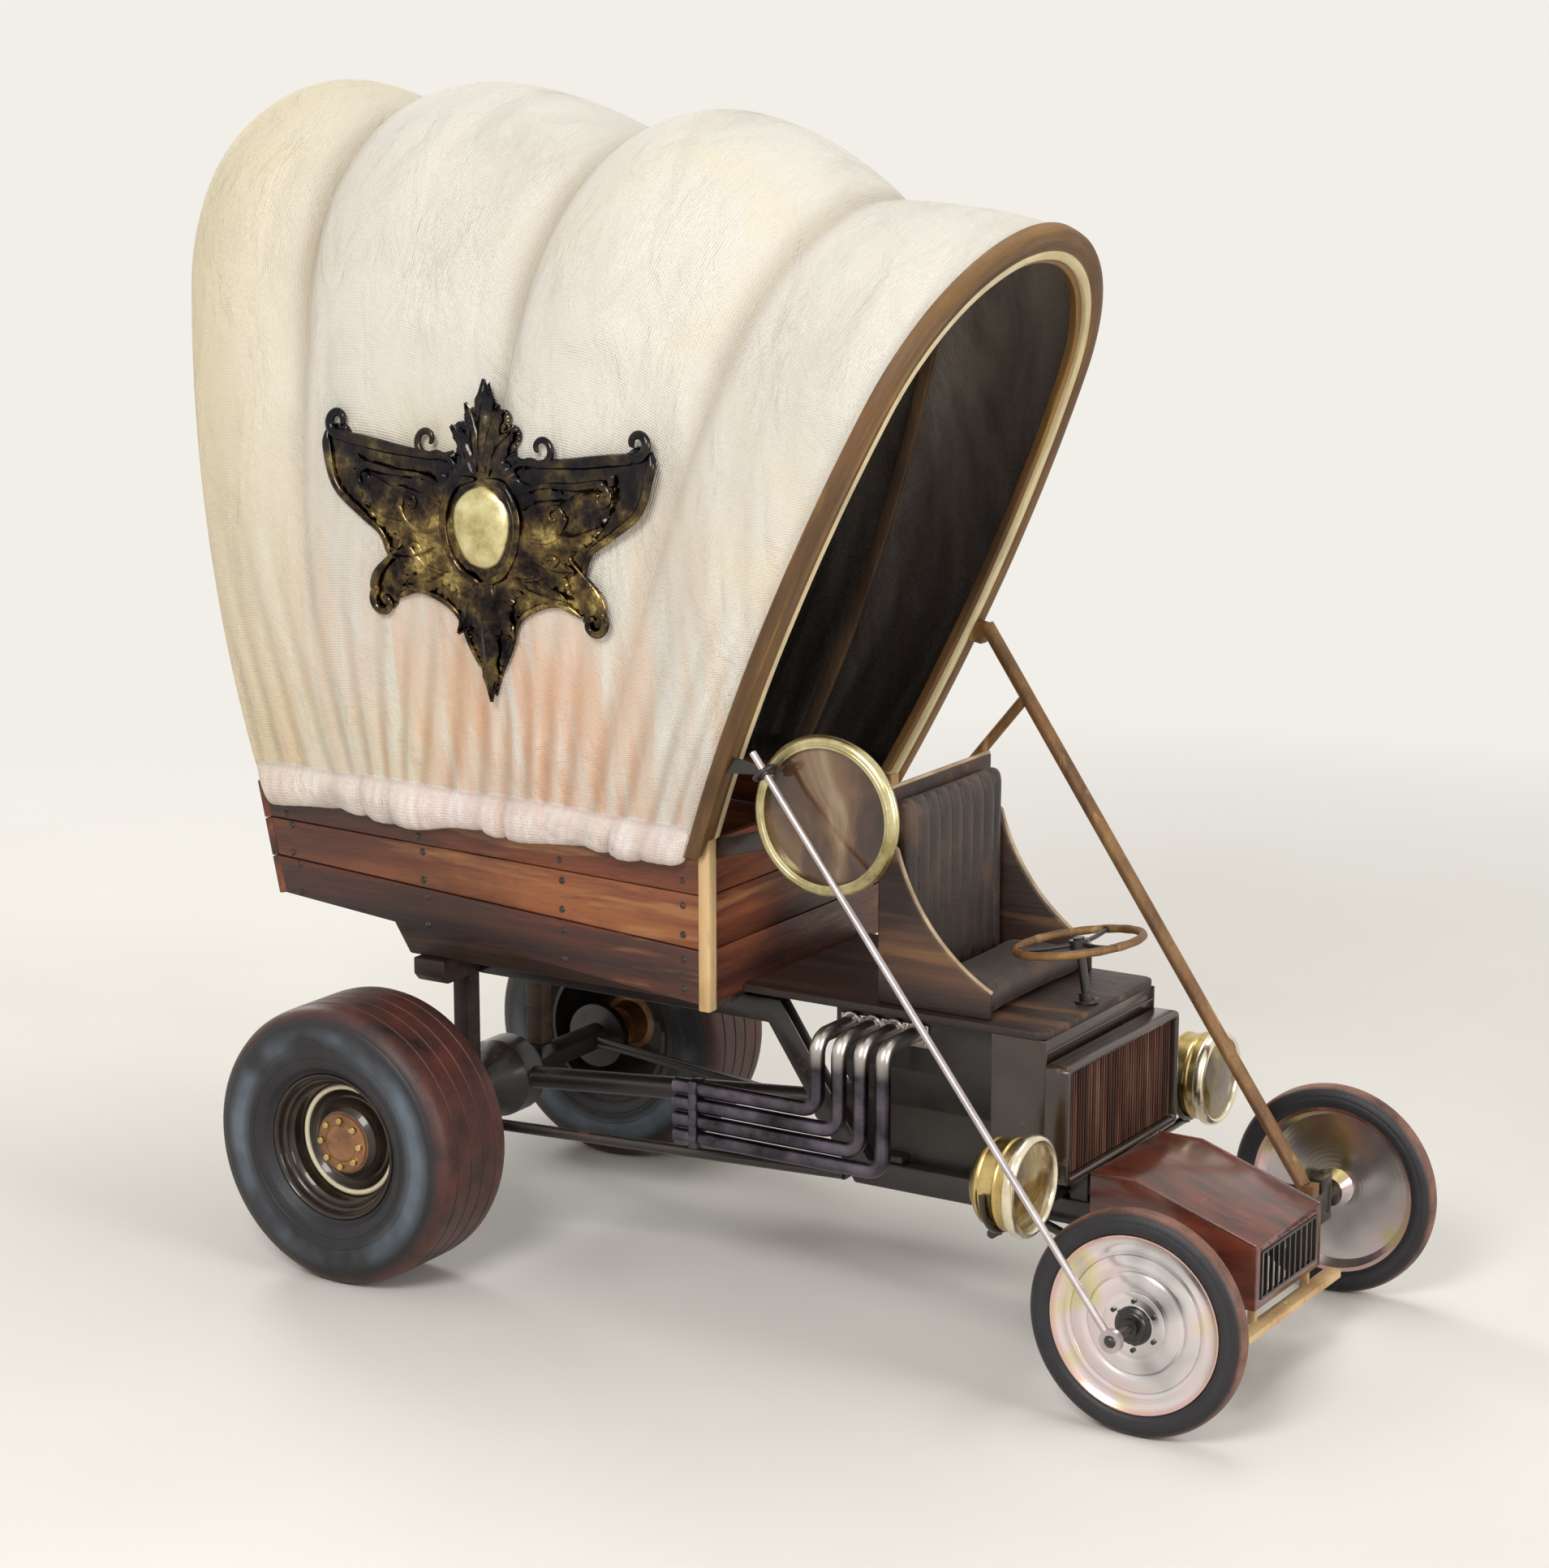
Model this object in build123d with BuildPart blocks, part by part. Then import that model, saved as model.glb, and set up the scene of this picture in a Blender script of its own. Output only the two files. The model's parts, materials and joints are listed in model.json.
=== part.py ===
"""Motorised covered wagon, full size.

A canvas-bonneted wagon body stands on a light steel frame with an engine, a radiator
and a driver's bench in front of it. X points forward, Y to the left, Z up, in
millimetres. The origin is on the ground, under the middle of the whole wagon.
"""
from build123d import *
import os
from math import asin, cos, hypot, sin, sqrt

os.makedirs("parts", exist_ok=True)

# Fits and gaps
running_gap = 0.05      # radial gap of a turning bore on its pin
seat_gap = 0.3          # gap between curved or soft faces that meet
board_gap = 0.5         # gap between a bent bow and the board it stands against

# Axles and track
wheelbase = 2660.0
rear_axle_x = -1110.0
front_axle_x = rear_axle_x + wheelbase
rear_track = 1510.0
front_track = 1370.0

# Rear wheels
rear_radius = 445.0
rear_width = 370.0
rear_rim_radius = 235.0
rear_spindle_radius = 30.0
rear_hub_length = 170.0
rear_hub_radius = 66.0

# Front wheels
front_radius = 330.0
front_width = 80.0
front_rim_radius = 262.0
front_spindle_radius = 18.0
front_hub_radius = 46.0
front_hub_length = 100.0

# Rear axle
axle_tube_radius = 45.0
diff_radius = 130.0
perch_height = 60.0
perch_size = 80.0
post_spread = 200.0
post_size = 62.0

# Front axle and steering
beam_depth = 60.0
beam_width = 50.0
kingpin_y = 600.0
kingpin_radius = 12.0
knuckle_boss_radius = 24.0
knuckle_boss_height = 90.0
yoke_ear_height = 26.0
yoke_gap = 0.5
arm_length = 130.0
arm_width = 24.0
tie_pin_radius = 8.0
tie_rod_radius = 10.0
tie_rod_z = 206.0
tie_eye_radius = 18.0
tie_eye_height = 20.0

# Near-side stay rod, from the right hub's end up to the front bow
rod_ball_y = -850.0
rod_ball_radius = 20.0
rod_neck_radius = 9.0
rod_eye_radius = 34.0
rod_eye_width = 18.0
rod_radius = 11.0
rod_top_x = 329.0
rod_top_z = 1753.0
rod_lamp_clearance = 55.0
rod_overrun = 70.0
rod_ring_radius = 34.0
rod_ring_wire = 7.0

# Frame
rail_y = 185.0
rail_width = 50.0
rail_depth = 80.0
rail_low_bottom = 390.0
rail_high_top = 930.0
rail_kick_x = 90.0
rail_kick_run = 310.0
rail_front_x = 1660.0

# Wagon box
box_rear_x = -1630.0
box_rake = 80.0
box_front_x = 20.0
box_half_width = 560.0
board_thickness = 30.0
box_top = 1490.0
box_bottom_rear = 1130.0
box_bottom_front = 985.0
plank_groove = 6.0
floor_thickness = 28.0
corner_post_depth = 40.0
corner_post_width = 45.0
post_stand = 5.0
post_inner = box_half_width + post_stand - corner_post_width
post_proud = 8.0
sill_y = 330.0
sill_width = 80.0
sill_rear_x = -1275.0
bolster_depth = 80.0
bolster_width = 120.0
bolster_half_length = 400.0
cross_timber_places = (-900.0, -490.0, -80.0)
cross_timber_width = 90.0
cross_timber_depth = 45.0

# Bonnet
hem_z = 1440.0
canvas_thickness = 8.0
hem_overhang = 22.0
hem_half_width = box_half_width + hem_overhang
bonnet_base_rear = -1600.0
bonnet_base_front = -10.0
bonnet_top_rear = -1862.0
bonnet_top_front = 842.0
shoulder_slope = 0.2
# where along the ridge (0 rear, 1 front), height of the ridge, how much wider than the hem
bonnet_stations = (
    (0.000, 3560.0, 40.0),
    (0.080, 3655.0, 63.0),
    (0.190, 3550.0, 43.0),
    (0.310, 3625.0, 66.0),
    (0.510, 3490.0, 46.0),
    (0.630, 3555.0, 63.0),
    (0.800, 3345.0, 40.0),
    (0.900, 3330.0, 50.0),
    (1.000, 3285.0, 48.0),
)
bow_stations = (0, 2, 4, 6)
bow_width = 40.0
bow_thickness = 22.0
bow_foot_z = 1290.0
front_bow_depth = 48.0
front_bow_outer = 14.0
front_bow_inner = 104.0
front_bow_lip = 16.0
curtain_bottom_z = 1502.0
curtain_hole_half_width = 250.0
curtain_hole_half_height = 400.0
curtain_hole_z = 2420.0

# Driver's deck and seat
deck_front_x = 1080.0
deck_half_width = 362.0
deck_bottom = 985.0
deck_thickness = 25.0
seat_rear_x = 500.0
seat_half_width = 330.0
seat_board_thickness = 20.0
seat_back_thickness = 75.0
seat_back_top = 1640.0
cushion_length = 360.0
cushion_half_width = 300.0
cushion_height = 85.0

# Engine
engine_rear_x = 330.0
engine_front_x = 1000.0
engine_half_width = 140.0
crankcase_top = 640.0
bank_low_z = 800.0
bank_inner = 110.0
valley_half_width = 50.0
valley_z = 880.0
engine_bottom = 400.0
engine_top = 965.0
bank_half_width = 280.0
port_z = 925.0
pipe_radius = 24.0
pipe_bend = 52.0
pipe_out_y = 490.0
pipe_end_x = -110.0
pipe_count = 4
pipe_first_x = 390.0
pipe_pitch_x = 75.0
pipe_first_z = 700.0
pipe_pitch_z = 52.0
gearbox_radius = 110.0
gearbox_length = 210.0
drive_tube_radius = 36.0
drive_z = 560.0

# Radiator, nose and lamps
radiator_front_x = 1160.0
radiator_depth = 80.0
radiator_half_width = 370.0
radiator_bottom = 560.0
radiator_top = 920.0
radiator_wall = 24.0
nose_rear_x = 1165.0
nose_break_x = 1310.0
nose_front_x = 1700.0
nose_half_width = 230.0
nose_bottom = 245.0
nose_top_rear = 570.0
nose_top_front = 440.0
nose_wall = 8.0
bar_z = 190.0
bar_half_length = 345.0
bar_width = 50.0
bar_thickness = 20.0
bar_hole_radius = 9.0
headlamp_x = 1190.0
headlamp_y = 620.0
headlamp_z = 640.0
headlamp_radius = 150.0
headlamp_depth = 170.0
headlamp_rim = 24.0
lamp_bar_radius = 14.0
lamp_bar_x = 1060.0
side_lamp_x = 490.0
side_lamp_z = 1630.0
side_lamp_radius = 235.0
side_lamp_depth = 108.0
side_lamp_face_y = -post_inner - side_lamp_depth
rod_top = (rod_top_x, side_lamp_face_y - rod_lamp_clearance, rod_top_z)
side_lamp_rim = 34.0

# Far-side pole
pole_radius = 23.0
pole_top = (328.0, 645.0, 1985.0)
pole_foot = (1535.0, 480.0, 392.0)
pole_pad = 40.0
brace_on_pole = 0.13
brace_foot = (76.0, 542.0, 1250.0)
brace_pad = 12.0

# Values that follow from the ones above
rail_low_top = rail_low_bottom + rail_depth
rear_hub_inner_y = rear_track / 2 - rear_hub_length / 2
floor_slope = (box_bottom_rear - box_bottom_front) / (box_front_x - box_rear_x)
box_foot_x = box_rear_x + box_rake
box_foot_z = box_bottom_front + (box_front_x - box_foot_x) * floor_slope


def save(piece, name):
    """Label a finished piece and write its file."""
    piece.part.label = name
    export_step(piece.part, f"parts/{name}.step")


def box_bottom(x):
    """Height of the wagon box's underside at a place along it."""
    return box_bottom_front + (box_front_x - x) * floor_slope


def rear_end(along, behind):
    """A point seen from the side: up the box's raked rear end, and behind it."""
    run = hypot(box_rake, box_top - box_foot_z)
    up = (-box_rake / run, (box_top - box_foot_z) / run)
    return box_foot_x + along * up[0] - behind * up[1], box_foot_z + along * up[1] + behind * up[0]


def across(x, z):
    """A plane whose local X runs out along the axle and whose local Y is the radius."""
    return Plane(origin=(x, 0, z), x_dir=(0, 1, 0), z_dir=(1, 0, 0))


def side_on(y):
    """A plane seen from the side: local X forward, local Y up, at a given Y."""
    return Plane(origin=(0, y, 0), x_dir=(1, 0, 0), z_dir=(0, -1, 0))


def axle_line(x, z):
    return Axis((x, 0, z), (0, 1, 0))


# Wheels
for side, sign in (("left", 1), ("right", -1)):
    centre = rear_track / 2
    half = rear_width / 2
    with BuildPart() as rear_tyre:
        with BuildSketch(across(rear_axle_x, rear_radius)) as tyre_section:
            with BuildLine():
                Polyline(
                    (sign * (centre - half + 34), rear_rim_radius + seat_gap),
                    (sign * (centre - half), rear_rim_radius + 62),
                    (sign * (centre - half), rear_radius - 52),
                    (sign * (centre - half + 40), rear_radius),
                    (sign * (centre + half - 40), rear_radius),
                    (sign * (centre + half), rear_radius - 52),
                    (sign * (centre + half), rear_rim_radius + 62),
                    (sign * (centre + half - 34), rear_rim_radius + seat_gap),
                    close=True,
                )
            make_face()
            fillet(tyre_section.vertices().sort_by(Axis.Y)[-4:], 26)
        revolve(axis=axle_line(rear_axle_x, rear_radius))
    save(rear_tyre, f"rear_tyre_{side}")

    with BuildPart() as rear_rim:
        with BuildSketch(across(rear_axle_x, rear_radius)):
            with BuildLine():
                hub_in = centre - rear_hub_length / 2
                hub_out = centre + rear_hub_length / 2
                Polyline(
                    (sign * hub_in, 0),
                    (sign * hub_in, rear_hub_radius),
                    (sign * (centre - 20), rear_hub_radius + 12),
                    (sign * (centre + 20), 150),
                    (sign * (centre + 20), rear_rim_radius - 14),
                    (sign * (centre - half + 36), rear_rim_radius - 14),
                    (sign * (centre - half + 36), rear_rim_radius),
                    (sign * (centre + half - 36), rear_rim_radius),
                    (sign * (centre + half - 36), rear_rim_radius - 14),
                    (sign * (centre + 110), rear_rim_radius - 30),
                    (sign * (centre + 62), 180),
                    (sign * (centre + 62), 160),
                    (sign * (centre + 46), 132),
                    (sign * hub_out, 118),
                    (sign * (hub_out + 14), 96),
                    (sign * (hub_out + 14), 0),
                    close=True,
                )
            make_face()
        revolve(axis=axle_line(rear_axle_x, rear_radius))
        with BuildSketch(side_on(sign * (hub_in - 1)).offset(0)):
            with Locations((rear_axle_x, rear_radius)):
                Circle(rear_spindle_radius + running_gap)
        extrude(amount=-sign * (rear_hub_length - 15), mode=Mode.SUBTRACT)
    save(rear_rim, f"rear_rim_{side}")

    centre = front_track / 2
    half = front_width / 2
    with BuildPart() as front_tyre:
        with BuildSketch(across(front_axle_x, front_radius)) as tyre_section:
            with BuildLine():
                Polyline(
                    (sign * (centre - half + 12), front_rim_radius + seat_gap),
                    (sign * (centre - half), front_rim_radius + 24),
                    (sign * (centre - half + 8), front_radius - 16),
                    (sign * (centre - 14), front_radius),
                    (sign * (centre + 14), front_radius),
                    (sign * (centre + half - 8), front_radius - 16),
                    (sign * (centre + half), front_rim_radius + 24),
                    (sign * (centre + half - 12), front_rim_radius + seat_gap),
                    close=True,
                )
            make_face()
            fillet(tyre_section.vertices().sort_by(Axis.Y)[-4:], 14)
        revolve(axis=axle_line(front_axle_x, front_radius))
    save(front_tyre, f"front_tyre_{side}")

    with BuildPart() as front_disc:
        with BuildSketch(across(front_axle_x, front_radius)):
            with BuildLine():
                hub_in = centre - front_hub_length / 2
                hub_out = centre + front_hub_length / 2
                Polyline(
                    (sign * hub_in, front_spindle_radius + running_gap),
                    (sign * hub_in, front_hub_radius),
                    (sign * (centre + 6), front_hub_radius + 14),
                    (sign * (centre + 10), front_rim_radius - 30),
                    (sign * (centre - half + 14), front_rim_radius - 12),
                    (sign * (centre - half + 14), front_rim_radius),
                    (sign * (centre + half - 14), front_rim_radius),
                    (sign * (centre + half - 14), front_rim_radius - 14),
                    (sign * (centre + 18), front_rim_radius - 34),
                    (sign * (centre + 18), front_rim_radius - 56),
                    (sign * (centre + 14), front_rim_radius - 60),
                    (sign * (centre + 18), front_rim_radius - 64),
                    (sign * (centre + 18), front_hub_radius + 90),
                    (sign * (centre + 24), front_hub_radius + 80),
                    (sign * (centre + 24), front_hub_radius + 6),
                    (sign * hub_out, front_hub_radius - 8),
                    (sign * hub_out, front_spindle_radius + running_gap),
                    close=True,
                )
            make_face()
        revolve(axis=axle_line(front_axle_x, front_radius))
    save(front_disc, f"front_disc_{side}")

# Rear axle: tube, differential, drum backs, spindles and the flat perches for the posts
with BuildPart() as rear_axle:
    drum_y = rear_track / 2 - rear_width / 2 - 10
    spindle_end = rear_hub_inner_y + rear_hub_length - 16
    with BuildSketch(across(rear_axle_x, rear_radius)):
        with BuildLine():
            Polyline(
                (-spindle_end, 0),
                (-spindle_end, rear_spindle_radius),
                (-drum_y - 20, rear_spindle_radius),
                (-drum_y - 20, 104),
                (-drum_y, 110),
                (-drum_y + 26, 110),
                (-drum_y + 26, axle_tube_radius),
                (-150, axle_tube_radius),
                (-90, diff_radius * 0.75),
                (-45, diff_radius),
                (45, diff_radius),
                (90, diff_radius * 0.75),
                (150, axle_tube_radius),
                (drum_y - 26, axle_tube_radius),
                (drum_y - 26, 110),
                (drum_y, 110),
                (drum_y + 20, 104),
                (drum_y + 20, rear_spindle_radius),
                (spindle_end, rear_spindle_radius),
                (spindle_end, 0),
                close=True,
            )
        make_face()
    revolve(axis=axle_line(rear_axle_x, rear_radius))
    with BuildSketch(Plane.XY.offset(rear_radius)):
        with Locations((rear_axle_x, post_spread), (rear_axle_x, -post_spread)):
            Rectangle(perch_size, perch_size)
    extrude(amount=perch_height)
    drive_start = Vector(engine_rear_x - gearbox_length - 4, 0, drive_z)
    drive_end = Vector(rear_axle_x, 0, rear_radius)
    with BuildSketch(Plane(origin=drive_start, z_dir=drive_end - drive_start)):
        Circle(drive_tube_radius)
    extrude(amount=(drive_end - drive_start).length)
save(rear_axle, "rear_axle")

post_bottom = rear_radius + perch_height
bolster_bottom = rail_high_top - bolster_depth
with BuildPart() as rear_posts:
    with BuildSketch(Plane.XY.offset(post_bottom)):
        with Locations((rear_axle_x, post_spread), (rear_axle_x, -post_spread)):
            Rectangle(post_size, post_size)
    extrude(amount=bolster_bottom - post_bottom)
save(rear_posts, "rear_posts")

# Bolster, sills and cross timbers under the box
with BuildPart() as bolster:
    with BuildSketch(Plane.XY.offset(bolster_bottom)):
        with Locations((rear_axle_x, 0)):
            Rectangle(bolster_width, 2 * bolster_half_length)
    extrude(amount=bolster_depth)
    chamfer(bolster.faces().sort_by(Axis.Z)[0].edges().filter_by(Axis.X), 25)
save(bolster, "rear_bolster")

with BuildPart() as sills:
    for sign in (1, -1):
        with BuildSketch(side_on(sign * sill_y)):
            with BuildLine():
                Polyline(
                    (sill_rear_x + 70, rail_high_top),
                    (box_front_x - 40, rail_high_top),
                    (box_front_x - 10, rail_high_top + 25),
                    (box_front_x - 10, box_bottom(box_front_x - 10)),
                    (sill_rear_x, box_bottom(sill_rear_x)),
                    (sill_rear_x, box_bottom(sill_rear_x) - 60),
                    close=True,
                )
            make_face()
        extrude(amount=sill_width / 2, both=True)
save(sills, "sills")

with BuildPart() as cross_timbers:
    with BuildSketch(Plane.XY.offset(rail_high_top)):
        with Locations(*[(x, 0) for x in cross_timber_places]):
            Rectangle(cross_timber_width, 2 * (sill_y - sill_width / 2))
    extrude(amount=cross_timber_depth)
save(cross_timbers, "cross_timbers")

# Steel frame rails, high under the box and low under the engine
rail_rear_x = rear_axle_x + bolster_width / 2
with BuildPart() as rails:
    for sign in (1, -1):
        with BuildSketch(side_on(sign * rail_y)):
            with BuildLine():
                Polyline(
                    (rail_rear_x, rail_high_top),
                    (rail_kick_x, rail_high_top),
                    (rail_kick_x + rail_kick_run, rail_low_top),
                    (nose_break_x + 40, rail_low_top),
                    (rail_front_x, rail_low_top - 40),
                    (rail_front_x, rail_low_bottom),
                    (rail_kick_x + rail_kick_run - 45, rail_low_bottom),
                    (rail_kick_x - 45, rail_high_top - rail_depth),
                    (rail_rear_x, rail_high_top - rail_depth),
                    close=True,
                )
            make_face()
        extrude(amount=rail_width / 2, both=True)
save(rails, "frame_rails")

radiator_rear_x = radiator_front_x - radiator_depth
with BuildPart() as cross_members:
    rail_inner = rail_y - rail_width / 2
    with BuildSketch(Plane.XY.offset(rail_low_bottom)):
        with Locations((rail_front_x - 30, 0), (engine_front_x + 40, 0)):
            Rectangle(36, 2 * rail_inner)
    extrude(amount=36)
    with BuildSketch(Plane.XY.offset(rail_low_top)):
        with Locations((radiator_front_x - radiator_depth / 2, 0)):
            Rectangle(radiator_depth - 20, 2 * (rail_y + rail_width / 2))
    extrude(amount=radiator_bottom - rail_low_top)
save(cross_members, "cross_members")

# Front axle beam with its yokes and kingpins
axle_z = front_radius
ear_low = axle_z - knuckle_boss_height / 2 - yoke_gap - yoke_ear_height
ear_high = axle_z + knuckle_boss_height / 2 + yoke_gap
with BuildPart() as front_axle:
    web_outer = kingpin_y - knuckle_boss_radius - 6
    with BuildSketch(Plane.XY.offset(axle_z - beam_depth / 2)):
        with Locations((front_axle_x, 0)):
            Rectangle(beam_width, 2 * web_outer)
    extrude(amount=beam_depth)
    with BuildSketch(Plane.XY.offset(ear_low)):
        with Locations((front_axle_x, web_outer - 20), (front_axle_x, 20 - web_outer)):
            Rectangle(2 * knuckle_boss_radius, 40)
    extrude(amount=ear_high + yoke_ear_height - ear_low)
    for z in (ear_low, ear_high):
        with BuildSketch(Plane.XY.offset(z)):
            for sign in (1, -1):
                with Locations((front_axle_x, sign * kingpin_y)):
                    Circle(knuckle_boss_radius)
                with Locations((front_axle_x, sign * (kingpin_y + web_outer) / 2)):
                    Rectangle(2 * knuckle_boss_radius, kingpin_y - web_outer)
        extrude(amount=yoke_ear_height)
    with BuildSketch(Plane.XY.offset(ear_low - 8)):
        with Locations((front_axle_x, kingpin_y), (front_axle_x, -kingpin_y)):
            Circle(kingpin_radius)
    extrude(amount=ear_high + yoke_ear_height - ear_low + 16)
    with BuildSketch(Plane.XY.offset(axle_z + beam_depth / 2)):
        with Locations((front_axle_x, rail_y), (front_axle_x, -rail_y)):
            Rectangle(beam_width, rail_width)
    extrude(amount=rail_low_bottom - axle_z - beam_depth / 2)
save(front_axle, "front_axle")

# Steering knuckles, each with its spindle and the arm down to the tie rod
arm_x = front_axle_x - arm_length
hub_in = front_track / 2 - front_hub_length / 2
hub_out = front_track / 2 + front_hub_length / 2
for side, sign in (("left", 1), ("right", -1)):
    spindle_stop = hub_out + 1
    with BuildPart() as knuckle:
        with BuildSketch(across(front_axle_x, axle_z)):
            with BuildLine():
                Polyline(
                    (sign * kingpin_y, 0),
                    (sign * kingpin_y, front_spindle_radius + 4),
                    (sign * (hub_in - 1), front_spindle_radius + 4),
                    (sign * (hub_in - 1), front_spindle_radius),
                    (sign * spindle_stop, front_spindle_radius),
                    (sign * spindle_stop, front_spindle_radius + 8),
                    (sign * (spindle_stop + 14), front_spindle_radius + 8),
                    (sign * (spindle_stop + 14), 0),
                    close=True,
                )
            make_face()
        revolve(axis=axle_line(front_axle_x, axle_z))
        with BuildSketch(Plane.XY.offset(axle_z - knuckle_boss_height / 2)):
            with Locations((front_axle_x, sign * kingpin_y)):
                Circle(knuckle_boss_radius)
        extrude(amount=knuckle_boss_height)
        with BuildSketch(Plane.XY.offset(axle_z - arm_width / 2)):
            with Locations(((front_axle_x + arm_x) / 2, sign * kingpin_y)):
                Rectangle(arm_length + arm_width, arm_width)
        extrude(amount=arm_width)
        arm_foot = tie_rod_z + tie_eye_height / 2 + 1
        with BuildSketch(Plane.XY.offset(arm_foot)):
            with Locations((arm_x, sign * kingpin_y)):
                Rectangle(arm_width, arm_width)
        extrude(amount=axle_z - arm_foot)
        with BuildSketch(Plane.XY.offset(tie_rod_z - tie_eye_height / 2 - 6)):
            with Locations((arm_x, sign * kingpin_y)):
                Circle(tie_pin_radius)
        extrude(amount=tie_eye_height + 10)
        if side == "right":
            with BuildSketch(across(front_axle_x, axle_z)):
                with BuildLine():
                    Polyline(
                        (-spindle_stop - 10, 0),
                        (-spindle_stop - 10, 14),
                        (rod_ball_y + 36, 14),
                        (rod_ball_y + 30, rod_neck_radius),
                        (rod_ball_y, rod_neck_radius),
                        (rod_ball_y, 0),
                        close=True,
                    )
                make_face()
            revolve(axis=axle_line(front_axle_x, axle_z))
            with Locations((front_axle_x, rod_ball_y, axle_z)):
                Sphere(rod_ball_radius)
        with BuildSketch(Plane.XY.offset(axle_z - knuckle_boss_height / 2 - 1)):
            with Locations((front_axle_x, sign * kingpin_y)):
                Circle(kingpin_radius + running_gap)
        extrude(amount=knuckle_boss_height + 2, mode=Mode.SUBTRACT)
    save(knuckle, f"knuckle_{side}")

with BuildPart() as tie_rod:
    with BuildSketch(Plane.XZ.offset(kingpin_y)):
        with Locations((arm_x, tie_rod_z)):
            Circle(tie_rod_radius)
    extrude(amount=-2 * kingpin_y)
    with BuildSketch(Plane.XY.offset(tie_rod_z - tie_eye_height / 2)):
        with Locations((arm_x, kingpin_y), (arm_x, -kingpin_y)):
            Circle(tie_eye_radius)
    extrude(amount=tie_eye_height)
    with BuildSketch(Plane.XY.offset(tie_rod_z - tie_eye_height / 2 - 1)):
        with Locations((arm_x, kingpin_y), (arm_x, -kingpin_y)):
            Circle(tie_pin_radius + running_gap)
    extrude(amount=tie_eye_height + 2, mode=Mode.SUBTRACT)
save(tie_rod, "tie_rod")

# Near-side stay rod with its eye on the ball at the hub's end
ball = Vector(front_axle_x, rod_ball_y, axle_z)
rod_way = (Vector(*rod_top) - ball).normalized()
rod_length = (Vector(*rod_top) - ball).length + rod_overrun
with BuildPart() as stay_rod:
    with BuildSketch(Plane(origin=ball + rod_way * (rod_eye_radius - 6), z_dir=rod_way)):
        Circle(rod_radius)
    extrude(amount=rod_length - rod_eye_radius + 6)
    with BuildSketch(side_on(rod_ball_y)):
        with Locations((front_axle_x, axle_z)):
            Circle(rod_eye_radius)
    extrude(amount=rod_eye_width / 2, both=True)
    with Locations((front_axle_x, rod_ball_y, axle_z)):
        Sphere(rod_ball_radius + seat_gap, mode=Mode.SUBTRACT)
save(stay_rod, "stay_rod")

# Radius rods: rear axle to the frame kick, front axle to the low rails
rear_rod_radius = 18.0
rear_rod_inset = 190.0
rear_rod_end_x = engine_rear_x
rear_rod_rise = 30.0
front_rod_radius = 14.0
front_rod_inset = 180.0
front_rod_end_x = engine_front_x - 60
front_rod_rise = 20.0
rail_outer = rail_y + rail_width / 2
with BuildPart() as radius_rods:
    for sign in (1, -1):
        for start, end, radius in (
            (
                (rear_axle_x + axle_tube_radius + 4, rear_hub_inner_y - rear_rod_inset, rear_radius),
                (rear_rod_end_x, rail_outer + rear_rod_radius + 1, rail_low_bottom + rear_rod_rise),
                rear_rod_radius,
            ),
            (
                (front_axle_x - beam_width / 2 - 5, kingpin_y - front_rod_inset, axle_z),
                (front_rod_end_x, rail_outer + front_rod_radius + 1, rail_low_bottom + front_rod_rise),
                front_rod_radius,
            ),
        ):
            first = Vector(start[0], sign * start[1], start[2])
            last = Vector(end[0], sign * end[1], end[2])
            with BuildSketch(Plane(origin=first, z_dir=last - first)):
                Circle(radius)
            extrude(amount=(last - first).length)
            with BuildSketch(side_on(sign * rail_outer)):
                with Locations((end[0], end[2])):
                    Circle(radius)
            extrude(amount=-sign * 26)
save(radius_rods, "radius_rods")

# Wagon box
with BuildPart() as side_boards:
    for sign in (1, -1):
        with BuildSketch(side_on(sign * (box_half_width - board_thickness / 2))):
            with BuildLine():
                Polyline(
                    (box_foot_x, box_foot_z),
                    (box_front_x, box_bottom_front),
                    (box_front_x, box_top),
                    (box_rear_x, box_top),
                    close=True,
                )
            make_face()
        extrude(amount=board_thickness / 2, both=True)
    for share in (1 / 3, 2 / 3):
        rear_z = box_bottom_rear + (box_top - box_bottom_rear) * share
        front_z = box_bottom_front + (box_top - box_bottom_front) * share
        for sign in (1, -1):
            with BuildSketch(side_on(sign * box_half_width)):
                with BuildLine():
                    Polyline(
                        (box_rear_x - 1, rear_z),
                        (box_front_x + 1, front_z),
                        (box_front_x + 1, front_z + plank_groove),
                        (box_rear_x - 1, rear_z + plank_groove),
                        close=True,
                    )
                make_face()
            extrude(amount=plank_groove - 1, both=True, mode=Mode.SUBTRACT)
save(side_boards, "side_boards")

inner_half = box_half_width - board_thickness
with BuildPart() as wagon_floor:
    with BuildSketch(side_on(0)):
        with BuildLine():
            Polyline(
                (box_foot_x, box_foot_z),
                (box_front_x, box_bottom_front),
                (box_front_x, box_bottom_front + floor_thickness),
                (box_foot_x, box_foot_z + floor_thickness),
                close=True,
            )
        make_face()
    extrude(amount=inner_half, both=True)
save(wagon_floor, "wagon_floor")

with BuildPart() as corner_posts:
    with BuildSketch(Plane.XY.offset(box_bottom_front - 18)):
        for sign in (1, -1):
            post_y = post_inner + corner_post_width / 2
            with Locations((box_front_x + corner_post_depth / 2, sign * post_y)):
                Rectangle(corner_post_depth, corner_post_width)
    extrude(amount=box_top + post_proud - box_bottom_front + 18)
save(corner_posts, "corner_posts")

with BuildPart() as front_board:
    with BuildSketch(Plane.XY.offset(box_bottom_front)):
        with Locations((box_front_x + board_thickness / 2, 0)):
            Rectangle(board_thickness, 2 * post_inner)
    extrude(amount=box_top - box_bottom_front)
save(front_board, "front_board")

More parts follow.
